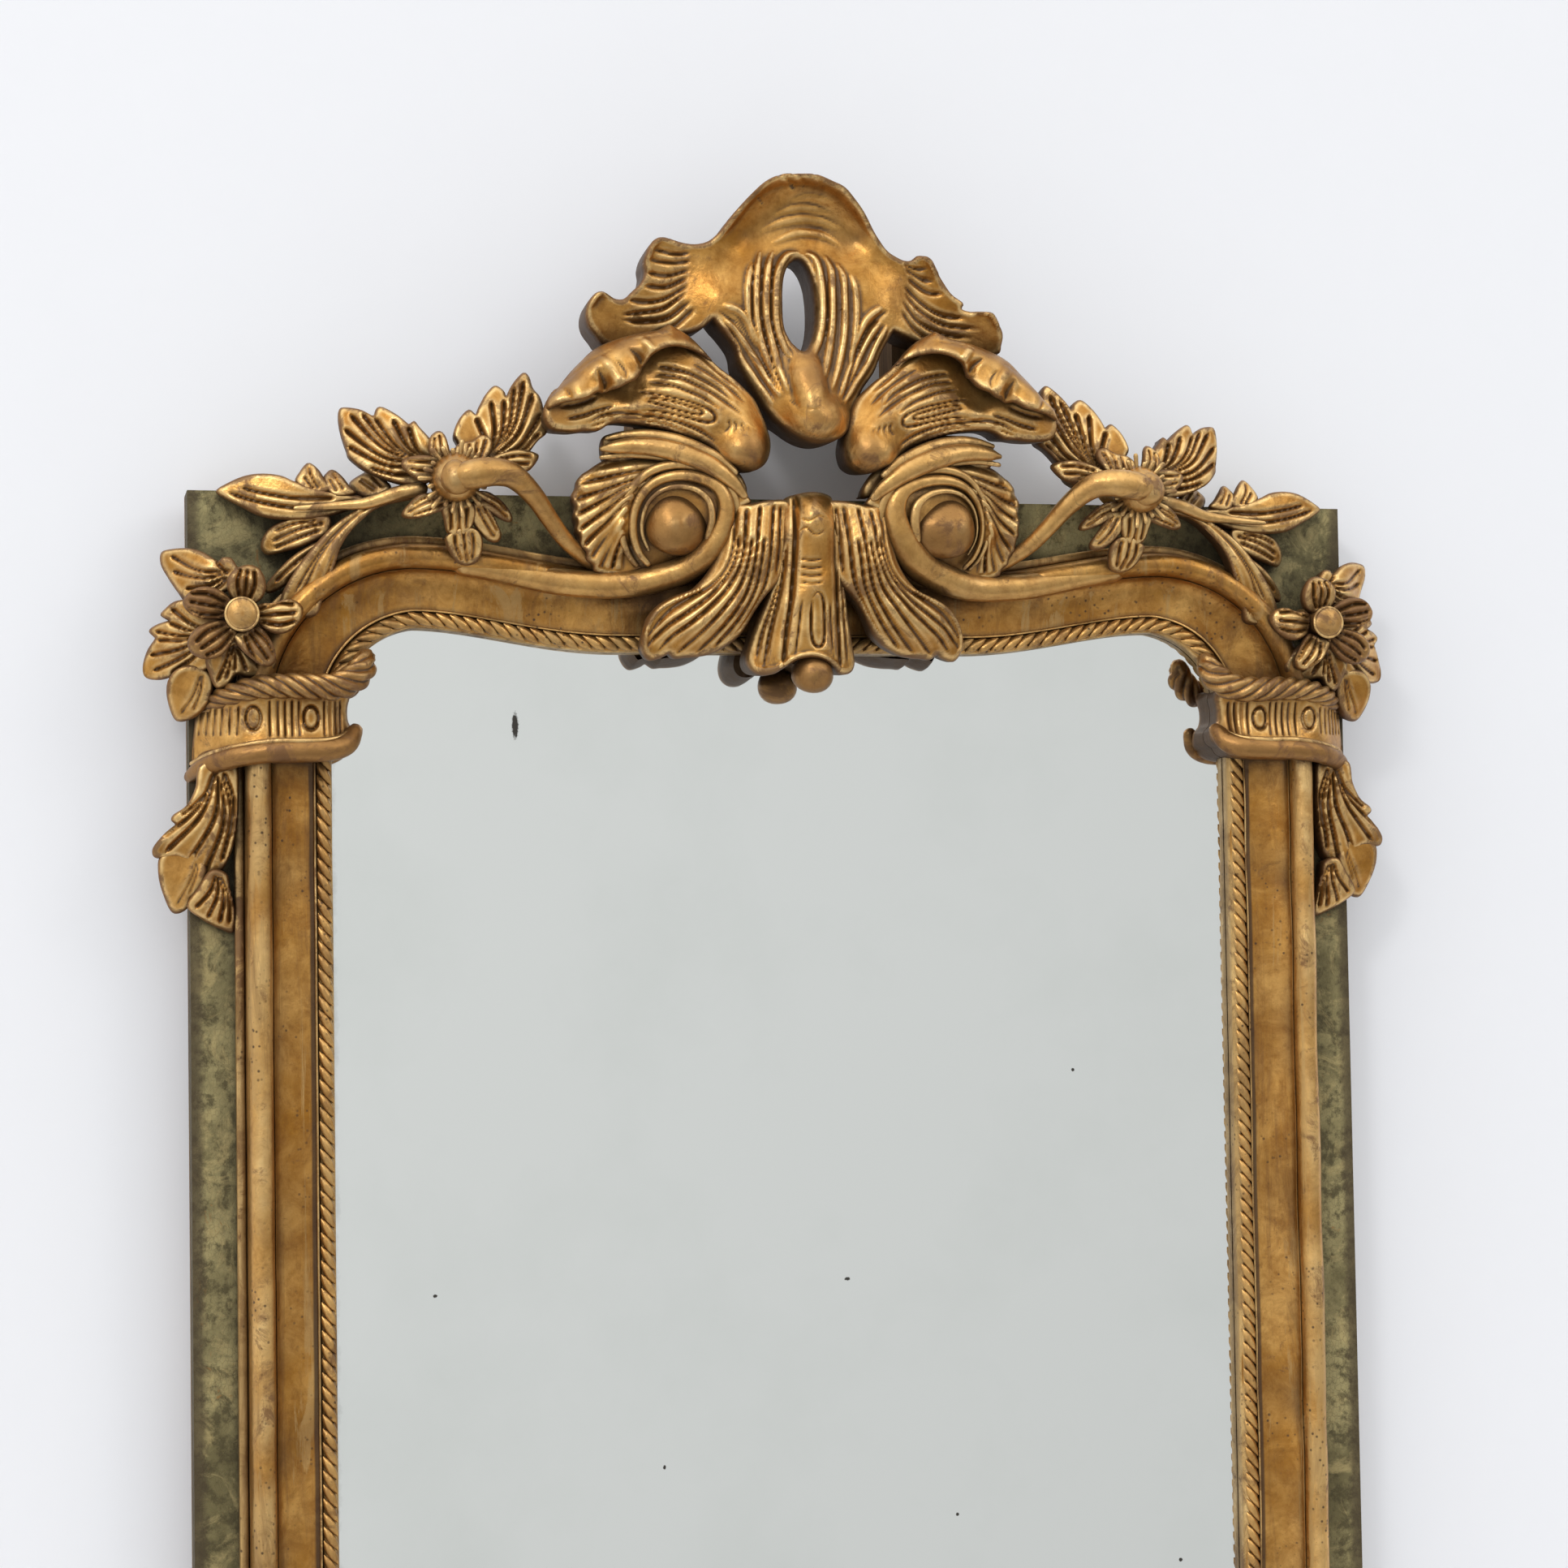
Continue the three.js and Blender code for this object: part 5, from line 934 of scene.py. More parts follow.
def sweep_leaf():
    """The lower leaf that fans out of the volute's foot across the moulding."""
    outline = [(-45, -8), (-49, -18), (-51, -30), (-54, -41), (-59, -49.5), (-64, -55), (-68, -58.5),
               (-73, -60.5), (-80, -63), (-88, -68), (-93, -73.5), (-96, -80), (-98, -88), (-97.5, -94),
               (-93, -99.5), (-86, -98), (-81.5, -95.5), (-81.5, -95.5), (-78, -98.5), (-73, -98), (-66, -97.5),
               (-58, -96), (-50, -92.5), (-44, -88.5), (-39.5, -84.5), (-35, -78), (-30, -70), (-24, -62), (-14, -50),
               (-9, -30), (-8, -15), (-10, -6.5), (-20, -6), (-34, -8.5)]
    ground = [(-46, -9, 48), (-36, -10, 53), (-20, -7, 54), (-10, -18, 51), (-50, -25, 47), (-30, -30, 60),
              (-38, -42, 60), (-42, -22, 55), (-54, -42, 48), (-60, -57, 49), (-52, -62, 57), (-45, -70, 57), (-75, -62, 44), (-92, -74, 40),
              (-97, -88, 37), (-93, -98, 36), (-80, -84, 47), (-70, -76, 52), (-62, -86, 49), (-80, -96, 38),
              (-60, -95, 41), (-44, -87, 45), (-34, -76, 50), (-22, -55, 54), (-14, -40, 52)]
    work = [groove(2.2, 2.6, (-41.5, -12), (-42.5, -32), (-47, -46), (-56, -56), (-68, -63), (-82, -72), (-94, -86), root=0.03, tip=0.1),
            groove(2.4, 3.2, (-39, -26), (-40.5, -37), (-46, -49.5), (-57, -62), (-70, -71.5), (-84, -81), (-95, -92), root=0.03, tip=0.1),
            groove(2.4, 3.2, (-34.5, -11), (-37, -38), (-44, -54), (-55, -66.5), (-68, -77.5), (-80, -86),
                   (-88, -94), root=0.03, tip=0.08),
            groove(2.3, 3, (-31.5, -28), (-33.5, -40), (-39, -56), (-49, -69.5), (-61, -82), (-71, -90.5), (-78, -96), root=0.03, tip=0.08),
            groove(2.2, 3, (-26.5, -9), (-29.5, -38), (-34, -57), (-42, -71), (-52, -82.5), (-60, -90), (-67, -96), root=0.03, tip=0.08),
            groove(2.1, 2.8, (-24.5, -28), (-26, -40), (-29, -55), (-35, -68), (-43, -79), (-51, -87.5), (-56, -93), root=0.03, tip=0.08),
            groove(2, 2.6, (-18.5, -9), (-21, -38), (-24, -54), (-29, -65), (-36, -76), (-43, -84.5), root=0.03),
            groove(1.6, 2, (-14.5, -10), (-16, -36), (-18, -50), root=0.03),
            rib(1.8, 2.4, (-62, -58), (-74, -62.5), (-86, -69), (-93.5, -78), (-96.5, -89), (-93.5, -97), root=0.03, tip=0.1)]
    body = carve(outline, ground, work, (), (), 45, 1.0, 2.6, 2.6, 4, 4, 26, bole=[(-95, -92, 6, 0.5)])
    return [body]


def drop(gilt):
    """The middle leaf, folded over at its head like cloth, over a round bud."""
    outline = [(6, -1), (-3, -2), (-11, -4.5), (-14.5, -9), (-14, -18), (-13.5, -28), (-16, -40), (-19, -52), (-24, -63),
               (-29, -74), (-33, -86), (-36, -97), (-34, -104), (-28, -107.5), (-20, -107), (-13, -103), (-6, -99),
               (2, -97.5), (9, -99), (15, -103), (20, -107), (26, -106), (28.5, -100), (27, -88), (25, -72),
               (23, -55), (21.5, -38), (21, -24), (20, -10), (15, -3)]
    ground = [(5, -1.5, 50), (-13, -9, 48), (19, -8, 48), (-8, -5, 50), (15, -4, 48), (5, -6, 58), (5, -12, 63),
              (4, -30, 62), (-12, -30, 54), (19, -30, 53),
              (3, -55, 61), (-19, -55, 50), (22, -55, 50), (3, -80, 58), (-29, -80, 45), (25, -80, 46), (3, -96, 55),
              (-34, -103, 42), (27, -103, 42), (-16, -94, 53), (16, -94, 53), (-26, -90, 47), (22, -90, 48)]
    work = [groove(2.4, 3.6, (-6, -2), (-6.2, -30), (-8.5, -58), (-12, -82), (-14.5, -103), root=0.02, tip=0.05),
            groove(2.4, 3.6, (17.6, -3), (17.8, -30), (18.2, -58), (19, -82), (19.5, -104), root=0.02, tip=0.05),
            groove(1.8, 2.2, (-11.5, -30), (-14.5, -52), (-19.5, -72), (-24, -92), (-27, -106)),
            groove(1.6, 1.8, (-16, -52), (-21.5, -68), (-27, -84), (-31, -101)),
            groove(1.4, 1.8, (20.5, -45), (21.5, -62), (22.5, -80), (24, -104)),
            groove(1.4, 1.6, (-3, -64), (-5, -80), (-7.5, -97)), groove(1.4, 1.6, (14, -64), (14.5, -80), (15.5, -98)),
            groove(1.7, 2.6, (3, -64), (2.5, -82), (4.5, -90), (8.5, -90.5), (10.5, -84), (10, -64), (6.5, -59.5),
                   (3.2, -63)),
            groove(1.1, 1.1, (-3.5, -40), (3, -41), (10, -40)), groove(1.1, 1.2, (-3.5, -44.5), (3, -45.5), (10.5, -44.5)),
            groove(1.1, 1.1, (-3.5, -49), (3, -50), (10.5, -49)), groove(1.1, 1, (-3, -53.5), (3, -54.5), (10, -53.5)),
            groove(1, 0.9, (-4, -16), (2, -18), (8, -15), (13, -17)), groove(0.9, 1, (-5, -25), (0, -22), (6, -26), (12, -23)),
            rib(2, 2, (-34, -103), (-27, -105), (-19, -104), (-11, -99.5), (-3, -96.5), (6, -96.5), (14, -100),
                (21, -104.5), (26, -103))]
    body = carve(outline, ground, work, (), (), 45, 0.9, 2.6, 2.4, 8, 3, 40, rough=0.35)
    bud = ball(2.5, -107, 44, 12, 11.5, 13, 45, 1.3)
    return piece("middle_drop_carving", [body, bud], gilt, ["drop_leaf"])


# ---------------------------------------------------------------- flowers and sprigs

def petal(outline, middle, tip, vein, plane, low, high, curl=3.0, back=0.0, wide=1.7, deep=1.5, thick=6.0):
    """A small leaf or petal: heights at its root and tip, and three to five gouge lines along it."""
    middle, tip = np.array(middle, float), np.array(tip, float)
    run = tip - middle
    across = np.array((-run[1], run[0]))
    across = across / max(np.linalg.norm(across), 1e-6)
    size = np.linalg.norm(run)
    ground = [(*middle, high), (*tip, low)]
    for t, lift in ((0.35, curl * 0.8), (0.7, curl)):
        c = middle + run * t
        level = high + (low - high) * t + lift
        ground += [(*c, level), (*(c + across * size * 0.25), level - 1.2), (*(c - across * size * 0.25), level - 1.2)]
    work = [groove(1.15 * wide, 1.5 * deep, *line, root=0.05, tip=0.07) for line in vein]
    return carve(outline, ground, work, (), (), plane, 0.95, 2.2, 2.0, back, 1.4, thick)


def fan(root, outline, tips, plane, low, high, curl=3.0, back=0.0, wide=1.9, deep=1.8, thick=9.0, bend=0.12):
    """A leaf whose gouge lines fan from its root to points between its lobes."""
    root = np.array(root, float)
    lines = []
    for tip in tips:
        tip = np.array(tip, float)
        run = tip - root
        side = np.array((-run[1], run[0])) * bend
        lines.append([tuple(root + run * 0.12), tuple(root + run * 0.5 + side), tuple(root + run * 0.97)])
    far = np.mean([t for t in tips], 0)
    return petal(outline, root, far + (far - root) * 0.12, lines, plane, low, high, curl, back, wide, deep, thick)


def top_flower():
    """The open flower on its thick stem, seen from its side, with the club-shaped bud end in front."""
    parts = [
        petal([(-210, 4), (-219, 1.5), (-227, 5), (-232.5, 10.5), (-231, 15), (-222, 17), (-212, 16), (-205, 11)],
              (-208, 8), (-231, 13), [[(-210, 12), (-220, 13), (-230, 13.5)], [(-210, 7), (-219, 8), (-228, 9)]],
              38, 44, 48, 3, 0),
        petal([(-208, -2), (-214, -4), (-222, -5), (-229, -11), (-233, -16.5), (-231, -19), (-224, -19), (-214, -16),
               (-206, -12)], (-207, -6), (-231, -17),
              [[(-209, -6), (-219, -10), (-230, -16)], [(-208, -10), (-217, -14), (-227, -17.5)],
               [(-212, -5), (-220, -7.5), (-227, -12)]], 38, 40, 48, 3, 0),
        petal([(-210, -12), (-209, -20), (-207, -27), (-201, -30), (-195, -27), (-191, -18), (-192, -10), (-200, -7)],
              (-200, -8), (-201, -28), [[(-205, -12), (-205, -26)], [(-200, -12), (-200.5, -28)],
                                        [(-196, -12), (-196, -25)]], 38, 42, 49, 3, 0),
        petal([(-206, -27), (-208.5, -30), (-206.5, -37), (-202, -43.5), (-196, -45.5), (-190, -43), (-187, -36),
               (-187, -29), (-191, -24), (-199, -23)], (-198, -22), (-196, -44),
              [[(-203, -27), (-202, -36), (-199, -43)], [(-198, -25), (-197, -35), (-196, -44)],
               [(-193, -26), (-192, -34), (-193, -42)]], 38, 34, 44, 4, 0),
        petal([(-194, -10), (-187, -8), (-182, -14), (-178, -22), (-176, -28), (-178.5, -32), (-184, -31), (-190, -25),
               (-194, -18)], (-190, -10), (-179, -31),
              [[(-190, -12), (-186, -20), (-180, -29)], [(-187, -11), (-182, -19), (-178, -26)]], 38, 36, 46, 4, 0),
        petal([(-192, -4), (-184, -3), (-176, -8), (-171, -14), (-169.5, -18.5), (-172, -20.5), (-180, -17),
               (-188, -12)], (-190, -6), (-171, -19),
              [[(-188, -7), (-180, -11), (-172, -18)], [(-185, -5), (-178, -8.5), (-172.5, -14)]], 38, 38, 46, 3, 0),
        petal([(-203, 12), (-205, 20), (-208, 29), (-212, 31), (-216.5, 27), (-217, 19), (-213, 13)],
              (-209, 12), (-212, 30), [[(-208, 14), (-210, 22), (-211, 29)], [(-212, 15), (-214, 22), (-213.5, 27)]],
              38, 42, 48, 3, 0),
        petal([(-202, 12), (-203, 20), (-199, 24.5), (-192, 26), (-187, 29.5), (-181.5, 27), (-181, 21), (-186, 13),
               (-194, 10)], (-194, 12), (-189, 28),
              [[(-199, 14), (-199, 23)], [(-195, 14), (-194, 25)], [(-191, 14), (-189, 27.5)], [(-188, 15), (-184, 27)]],
              38, 38, 45, 3, 0),
        petal([(-182, 16), (-173, 20), (-165, 21.5), (-157, 20), (-154, 17.5), (-158, 11), (-163, 8), (-173, 8),
               (-182, 10)], (-180, 13), (-156, 16),
              [[(-178, 15), (-168, 17.5), (-158, 18)], [(-178, 12), (-168, 13), (-159, 13.5)],
               [(-176, 10), (-167, 10)]], 38, 36, 44, 3, 0),
        bead([(-204, 2, 50, 14), (-204, 2, 44, 15), (-203, 2, 30, 11), (-203, 2, 12, 9)], 50, 24, 1.0, 1.2),
    ]
    for k in range(22):
        a = 2 * math.pi * k / 22
        inner, outer = 11 + (k % 2), 16 + 2.5 * (k % 3)
        c, s = math.cos(a), math.sin(a)
        parts.append(bead([(-203 + inner * c, 2 + inner * s, 50, 1.1), (-203 + outer * c, 2 + outer * s, 51.5, 1.5)],
                          50, 7, 0.8, 2.0))
    parts.append(bead([(-201, 4.5, 61, 6.5), (-196, 5, 61.5, 8.2), (-188, 6.5, 61, 8.4), (-180, 7, 59, 8),
                       (-172, 5.5, 56, 7.4), (-165, 0.5, 52, 6.6), (-157, -8.5, 47, 5.8), (-150, -19, 41, 5.2),
                       (-142, -30, 34, 4.8), (-134, -38, 27, 4.4), (-124, -45.5, 20, 4), (-112, -50, 13, 3)],
                      45, 20, 1.0, ruddy=0.35))
    parts.append(ball(-203.5, 2.5, 58, 9.5, 10, 9, 50, 0.5))
    return parts


def flower_leaves():
    outer = fan((-214, 10), [(-212, 20), (-217, 27.5), (-222, 33), (-225, 36.5), (-228, 34.5), (-228, 34.5),
                             (-235, 40), (-243, 44), (-246.5, 43), (-248, 38.5), (-248, 38.5), (-255, 42), (-262, 43.2),
                             (-267, 42.5), (-268, 37), (-266.5, 28), (-263.5, 19), (-262, 15), (-255, 9), (-248, 5.5),
                             (-240, 2.5), (-230, 0), (-220, 0), (-212, 8)],
                [(-229, 34), (-238, 38), (-248.5, 38.5), (-256, 41), (-263, 40), (-267, 32), (-265, 22), (-252, 9)],
                38, 22, 38, 6, 0, 2.3, 2.6, 14, 0.1)
    inner = fan((-186, 10), [(-197, 12), (-201, 24), (-203, 28), (-202, 33), (-199, 39), (-194, 43.7), (-190, 41),
                             (-190, 41), (-188, 46), (-184, 53), (-179, 57.7), (-174, 55), (-172.5, 51.5),
                             (-172.5, 51.5), (-170, 57), (-166, 62.5), (-162, 65.7), (-159, 63), (-157, 57),
                             (-153, 52), (-151, 45), (-149.5, 37), (-149.5, 31), (-154, 27), (-158, 22), (-162, 16),
                             (-166, 8), (-178, 4)],
                [(-190, 40), (-181, 50), (-173, 51), (-167, 60), (-161.5, 62), (-156, 55), (-151, 43), (-152, 32), (-159, 22)],
                38, 22, 36, 6, 0, 2.3, 2.6, 14, -0.1)
    return outer, inner


def sprig():
    """Leaves on the board between the flower and the corner."""
    return [
        petal([(-336, -5), (-330, -0.5), (-320, 4), (-310, 5.5), (-300, 4.5), (-293, 1.5), (-283, -2), (-268, -5),
               (-255, -6.5), (-255, -11), (-266, -16), (-280, -19.5), (-295, -20.5), (-310, -19), (-322, -13.5),
               (-331, -9)], (-262, -10), (-333, -5),
              [[(-258, -9.5), (-275, -13), (-295, -13.5), (-315, -10), (-329, -6)],
               [(-270, -8), (-290, -8.5), (-308, -6), (-322, -3)]], 35, 12, 24, 3, 0, 2, 1.8, 12),
        petal([(-292, 0), (-289, 7.5), (-284.5, 12), (-279.5, 9), (-276, 4), (-272, -3), (-282, -6)], (-278, -4),
              (-285, 11), [[(-279, -3), (-283, 4), (-284.5, 10)], [(-282, -3), (-287, 4)]], 35, 16, 22, 3, 0),
        petal([(-277, 1), (-274, 7), (-270.5, 8.3), (-266, 5), (-262, 0), (-258, -5), (-270, -7)], (-265, -4),
              (-271, 7), [[(-265, -3), (-269, 3), (-270.5, 7)], [(-269, -4), (-273, 3)]], 35, 18, 24, 3, 0),
        petal([(-262, 0), (-255, 6), (-249, 8), (-243, 4), (-238, -1), (-244, -6), (-255, -7)], (-242, -2), (-252, 7),
              [[(-243, -1), (-249, 5)], [(-247, -3), (-256, 3)]], 35, 14, 24, 3, 0),
        petal([(-273, -18), (-285, -18), (-296, -20), (-304, -23.5), (-309.5, -29), (-311.5, -36), (-308, -40.5),
               (-300, -39), (-287, -35), (-274, -28)], (-275, -23), (-309, -36),
              [[(-276, -22), (-291, -26), (-305, -33)], [(-278, -26), (-291, -31), (-304, -37)],
               [(-280, -20.5), (-293, -22.5), (-304, -27)]], 35, 10, 22, 4, 0),
        petal([(-272, -30), (-283, -34), (-294, -41), (-304, -51), (-309, -58), (-308, -62), (-300, -59), (-289, -50),
               (-276, -40)], (-276, -34), (-307, -59),
              [[(-278, -35), (-291, -44), (-304, -56)], [(-276, -37), (-287, -46), (-298, -56)]], 35, 12, 22, 3, 0),
        petal([(-226, -1), (-231.5, -2.5), (-245.7, -7), (-256.8, -13.4), (-270, -22.5), (-279, -31.5), (-289, -43.8),
               (-295.6, -53.9), (-300, -62.7), (-301, -70), (-293, -75), (-281, -74), (-276.5, -62.5), (-271.5, -50.3),
               (-269.2, -42.5), (-267, -35.8), (-261.4, -26.8), (-252.5, -17.8), (-243.6, -12.1), (-230.2, -8.6),
               (-226, -7)], (-236, -6), (-290, -70),
              [[(-232, -5), (-250, -12), (-266, -25), (-278, -40), (-286, -56), (-291, -70)],
               [(-240, -6), (-256, -15.5), (-271, -29), (-283, -45), (-293, -62)],
               [(-252, -16), (-264, -28), (-271, -42), (-277, -58), (-282, -70)]], 35, 24, 30, 3, 0, 1.5, 1.2, 14),
        bead([(-222, -2, 36, 4.4), (-236, -5, 33, 4), (-252, -10.5, 29, 3.4), (-270, -12.5, 26, 2.4),
              (-292, -14, 25, 1.2)], 35, 12, 0.9),
    ]


def corner_flower():
    """Five fluted petals round a flat button."""
    rows = [
        ([(-330, -62), (-330, -54), (-325, -48.5), (-318, -46.5), (-312, -49.5), (-309, -57), (-311, -65),
          (-317, -69), (-325, -68)], (-321, -66), (-319, -48)),
        ([(-314, -69.5), (-305, -67.5), (-297, -65.5), (-291.5, -67), (-288.5, -71.5), (-290.5, -78), (-297, -84),
          (-305, -85), (-313, -80)], (-314, -75), (-291, -73)),
        ([(-328, -86), (-320, -83), (-313, -81), (-307.5, -87), (-304, -95), (-304.5, -101), (-309, -103.5),
          (-316, -100), (-323, -94)], (-319, -84), (-307, -101)),
        ([(-331, -78), (-340, -78.5), (-348, -82.5), (-352.5, -90), (-350, -96.5), (-343, -99.5), (-335, -98),
          (-329, -92), (-325, -84)], (-329, -82), (-347, -95)),
        ([(-327, -67), (-335, -60.5), (-344, -59), (-351, -62), (-355, -68), (-351, -74), (-343, -77), (-334, -77),
          (-329, -74)], (-331, -71), (-353, -67)),
    ]
    parts = []
    for outline, root, tip in rows:
        root, tip = np.array(root, float), np.array(tip, float)
        side = np.array((-(tip - root)[1], (tip - root)[0])) * 0.26
        lines = [[tuple(root + side * k * 0.5), tuple(root + (tip - root) * 0.5 + side * k),
                  tuple(root + (tip - root) * 0.94 + side * k * 0.75)] for k in (-1, 0, 1)]
        points, faces, ruddy = petal(outline, root, tip, lines, 40, 40, 39, 4.5, 0, 2.0, 2.4, 7)
        shade = 0.95 if tip[0] < root[0] else 0.3
        parts.append((points, faces, np.maximum(ruddy, shade)))
    parts.append(bead([(-323, -75, 38, 7.6), (-323, -75, 34, 8), (-323, -75, 10, 8)], 47, 28, 1.0, 1.2, 0.7))
    parts.append(ball(-323, -75, 44.6, 8.9, 8.9, 3.4, 47, 0.6, 0.02, 14, 36))
    parts.append(bead([(-323 + 8.9 * math.cos(a), -75 + 8.9 * math.sin(a), 45, 0.9)
                       for a in np.linspace(0, 2 * math.pi, 25)], 47, 8, 1.0, 2.0))
    return parts


def corner_leaves():
    return [
        fan((-328, -52), [(-366, -39.5), (-360, -37.5), (-351, -37), (-343, -39), (-335, -44), (-333, -42),
                          (-328, -42), (-325, -46), (-322, -52), (-328, -60), (-338, -63), (-346, -66), (-352, -68),
                          (-357, -62), (-363, -53), (-366.5, -46)],
            [(-362, -41), (-361, -50), (-354, -60), (-345, -64), (-336, -44)], 34, 16, 30, 5, 0, 2, 2, 12, 0.08),
        fan((-338, -84), [(-346, -64), (-352, -65), (-359, -66.5), (-364, -70.5), (-366.5, -74), (-362, -77),
                          (-362, -77), (-369, -79.5), (-373, -83), (-369.5, -87), (-369.5, -87), (-374, -94),
                          (-376.5, -103), (-375, -109), (-367, -110.3), (-358, -108), (-347, -106.5), (-338, -102),
                          (-330, -94), (-330, -80)],
            [(-361, -70), (-363, -78), (-371, -83), (-370, -88), (-374, -97), (-372, -106), (-362, -108)],
            30, 8, 28, 4, 0, 2.1, 2.2, 14, 0.06),
        fan((-343, -104), [(-362, -109), (-363.5, -117), (-361.5, -127), (-358, -133), (-351, -132.5), (-344, -128),
                           (-339, -120), (-338, -108), (-346, -102), (-356, -103)],
            [(-356, -130), (-349, -128)], 28, 8, 22, 5, 0, 1.6, 1, 12, 0.05),
        fan((-327, -88), [(-341, -96), (-340, -107), (-336, -115), (-330, -114), (-325, -107.5), (-318, -109),
                          (-311, -107.5), (-304, -104), (-303, -97), (-310, -88), (-325, -82)],
            [(-336, -112), (-331, -111), (-326, -106), (-319, -106), (-311, -104)], 30, 26, 32, 3, 0, 1.8, 2, 14, 0.03),
    ]


def pendant():
    """The leaves that hang below the capital over the frame's edge."""
    return [
        fan((-333, -156), [(-346, -158), (-348, -170), (-353, -180), (-360, -185), (-361.5, -188), (-359, -190.5),
                           (-359, -190.5), (-365.5, -196), (-371.5, -203.5), (-371, -208.5), (-366, -209.5),
                           (-358, -209), (-352, -214), (-346, -221.5), (-341, -222.5), (-334, -217), (-328, -205),
                           (-325, -190), (-324, -174), (-325, -158), (-335, -154)],
            [(-357, -187), (-368, -200), (-366, -208), (-352, -213), (-344, -221), (-334, -214), (-329, -200)],
            28, 9, 20, 6, -8, 2.1, 2.4, 16, 0.09),
        fan((-345, -206), [(-367.5, -208), (-368.5, -218), (-366, -229), (-361, -239.5), (-354, -238.5), (-348, -231),
                           (-343, -224), (-342, -214), (-348, -205), (-359, -202)],
            [(-359, -236), (-352, -230)], 24, 2, 10, 5, -10, 1.5, 0.8, 12, 0.04),
        fan((-335, -216), [(-353, -236), (-345, -243.5), (-336, -248.5), (-327.5, -251), (-326.5, -240),
                           (-329, -228), (-331, -218), (-340, -216), (-347, -226)],
            [(-349, -238), (-342, -244), (-335, -247), (-329.5, -247)], 26, 6, 14, 4, -6, 1.8, 1.9, 12, 0.08),
    ]


# ---------------------------------------------------------------- capitals

def capital():
    """Fluted neck and rolled band of the side column's capital."""
    neck_line = [(-346, -122), (-336, -118), (-320, -114), (-300, -112), (-280, -112), (-266, -113), (-262, -118),
                 (-263.5, -126), (-263, -134), (-259, -140), (-262, -148), (-280, -152), (-305, -151), (-325, -153),
                 (-345, -160), (-350, -160), (-349, -140)]
    neck_ground = [(-348, -125, 4), (-348, -155, 4), (-338, -122, 16), (-338, -152, 16), (-325, -120, 27),
                   (-325, -148, 27), (-308, -116, 32), (-308, -131, 29), (-308, -148, 33), (-290, -115, 32),
                   (-290, -131, 29), (-290, -148, 33), (-272, -116, 29), (-272, -131, 26), (-268, -148, 30),
                   (-264, -118, 20), (-265, -130, 18), (-261, -144, 20)]
    flutes = [groove(1.3, 1.7, (x, -121), (x, -131), (x + 0.3, -142.5), root=0.04, tip=0.04)
              for x in (-302.5, -298.5, -294.5, -290.5, -276.5, -273.5, -270.5, -267.8, -307)]
    for x in (-316, -284):
        ring = [(x + 4.2 * math.cos(a), -131.5 + 6.5 * math.sin(a)) for a in np.linspace(0, 2 * math.pi, 17)]
        flutes.append(groove(1.6, 2.4, *ring, root=0.01, tip=0.01))
    flutes += [groove(1.3, 1.6, (x, -124 - (x + 320) * -0.1), (x - 1, -142), root=0.05, tip=0.05)
               for x in (-324, -328.5, -333, -337, -341, -345)]
    neck = carve(neck_line, neck_ground, flutes, (), (), 30, 0.95, 2, 2, 0, 1, None)
    band = bead([(-351, -164.5, -2, 3.8), (-345, -160, 10, 5.2), (-335, -156, 21, 5.9), (-322, -152.6, 29, 6.1),
                 (-305, -150.4, 33, 6.2), (-288, -150, 34, 6.3), (-273, -149.2, 32, 6.5), (-264, -145.6, 27, 6.4),
                 (-259.5, -139, 22, 4.6)], 30, 22, 0.85, ruddy=1.15)
    lip = bead([(-350, -157, 2, 1.5), (-338, -151, 20, 1.8), (-322, -147, 30, 1.8), (-304, -144.5, 35, 1.8),
                (-285, -144.5, 36, 1.8), (-270, -143, 32, 1.6), (-262, -138.5, 24, 1.2)], 30, 10, 1.0, ruddy=0.1)
    foot = carve([(-346, -152), (-325, -148), (-270, -146), (-262, -142), (-264, -150), (-273, -155.5), (-300, -157),
                  (-325, -158), (-346, -168)],
                 [(-344, -160, 6), (-325, -152, 22), (-300, -150, 27), (-270, -150, 26), (-325, -157, 18)],
                 (), (), (), 30, 1.6, 2, 1.5, 0, 1, None)
    return [neck, band, lip, foot]


def capital_rope():
    """Twisted abacus of the capital, with its inner end rolled up."""
    path = [(-344, -126.5, 3, 4.4), (-337, -122, 15, 5.6), (-327.3, -118.1, 25, 6.4), (-314.3, -114.6, 31, 7),
            (-299, -113.6, 34, 7.3), (-282.6, -114.2, 34, 7.6), (-270.5, -113.8, 32, 8), (-261.7, -110.5, 29, 8.6),
            (-255.5, -104.5, 26, 8.4), (-253.5, -98.5, 23, 6.6)]
    return [bead(path, 30, 44, 0.95, 0.8, 0.75, (8.8, 0.3, 2.5))]


# ---------------------------------------------------------------- mouldings and rope twist

STILE_WIDTH, HEAD_WIDTH = 55.0, 53.0
OUTER_EDGE = 325.5
ARC_MIDDLE, ARC_RADIUS = (223.0, -128.0), 102.5
DIP, DIP_END = 13.5, 105.0
CAPITAL_FOOT = -150.0
MOULDING_FOOT = -1302.0


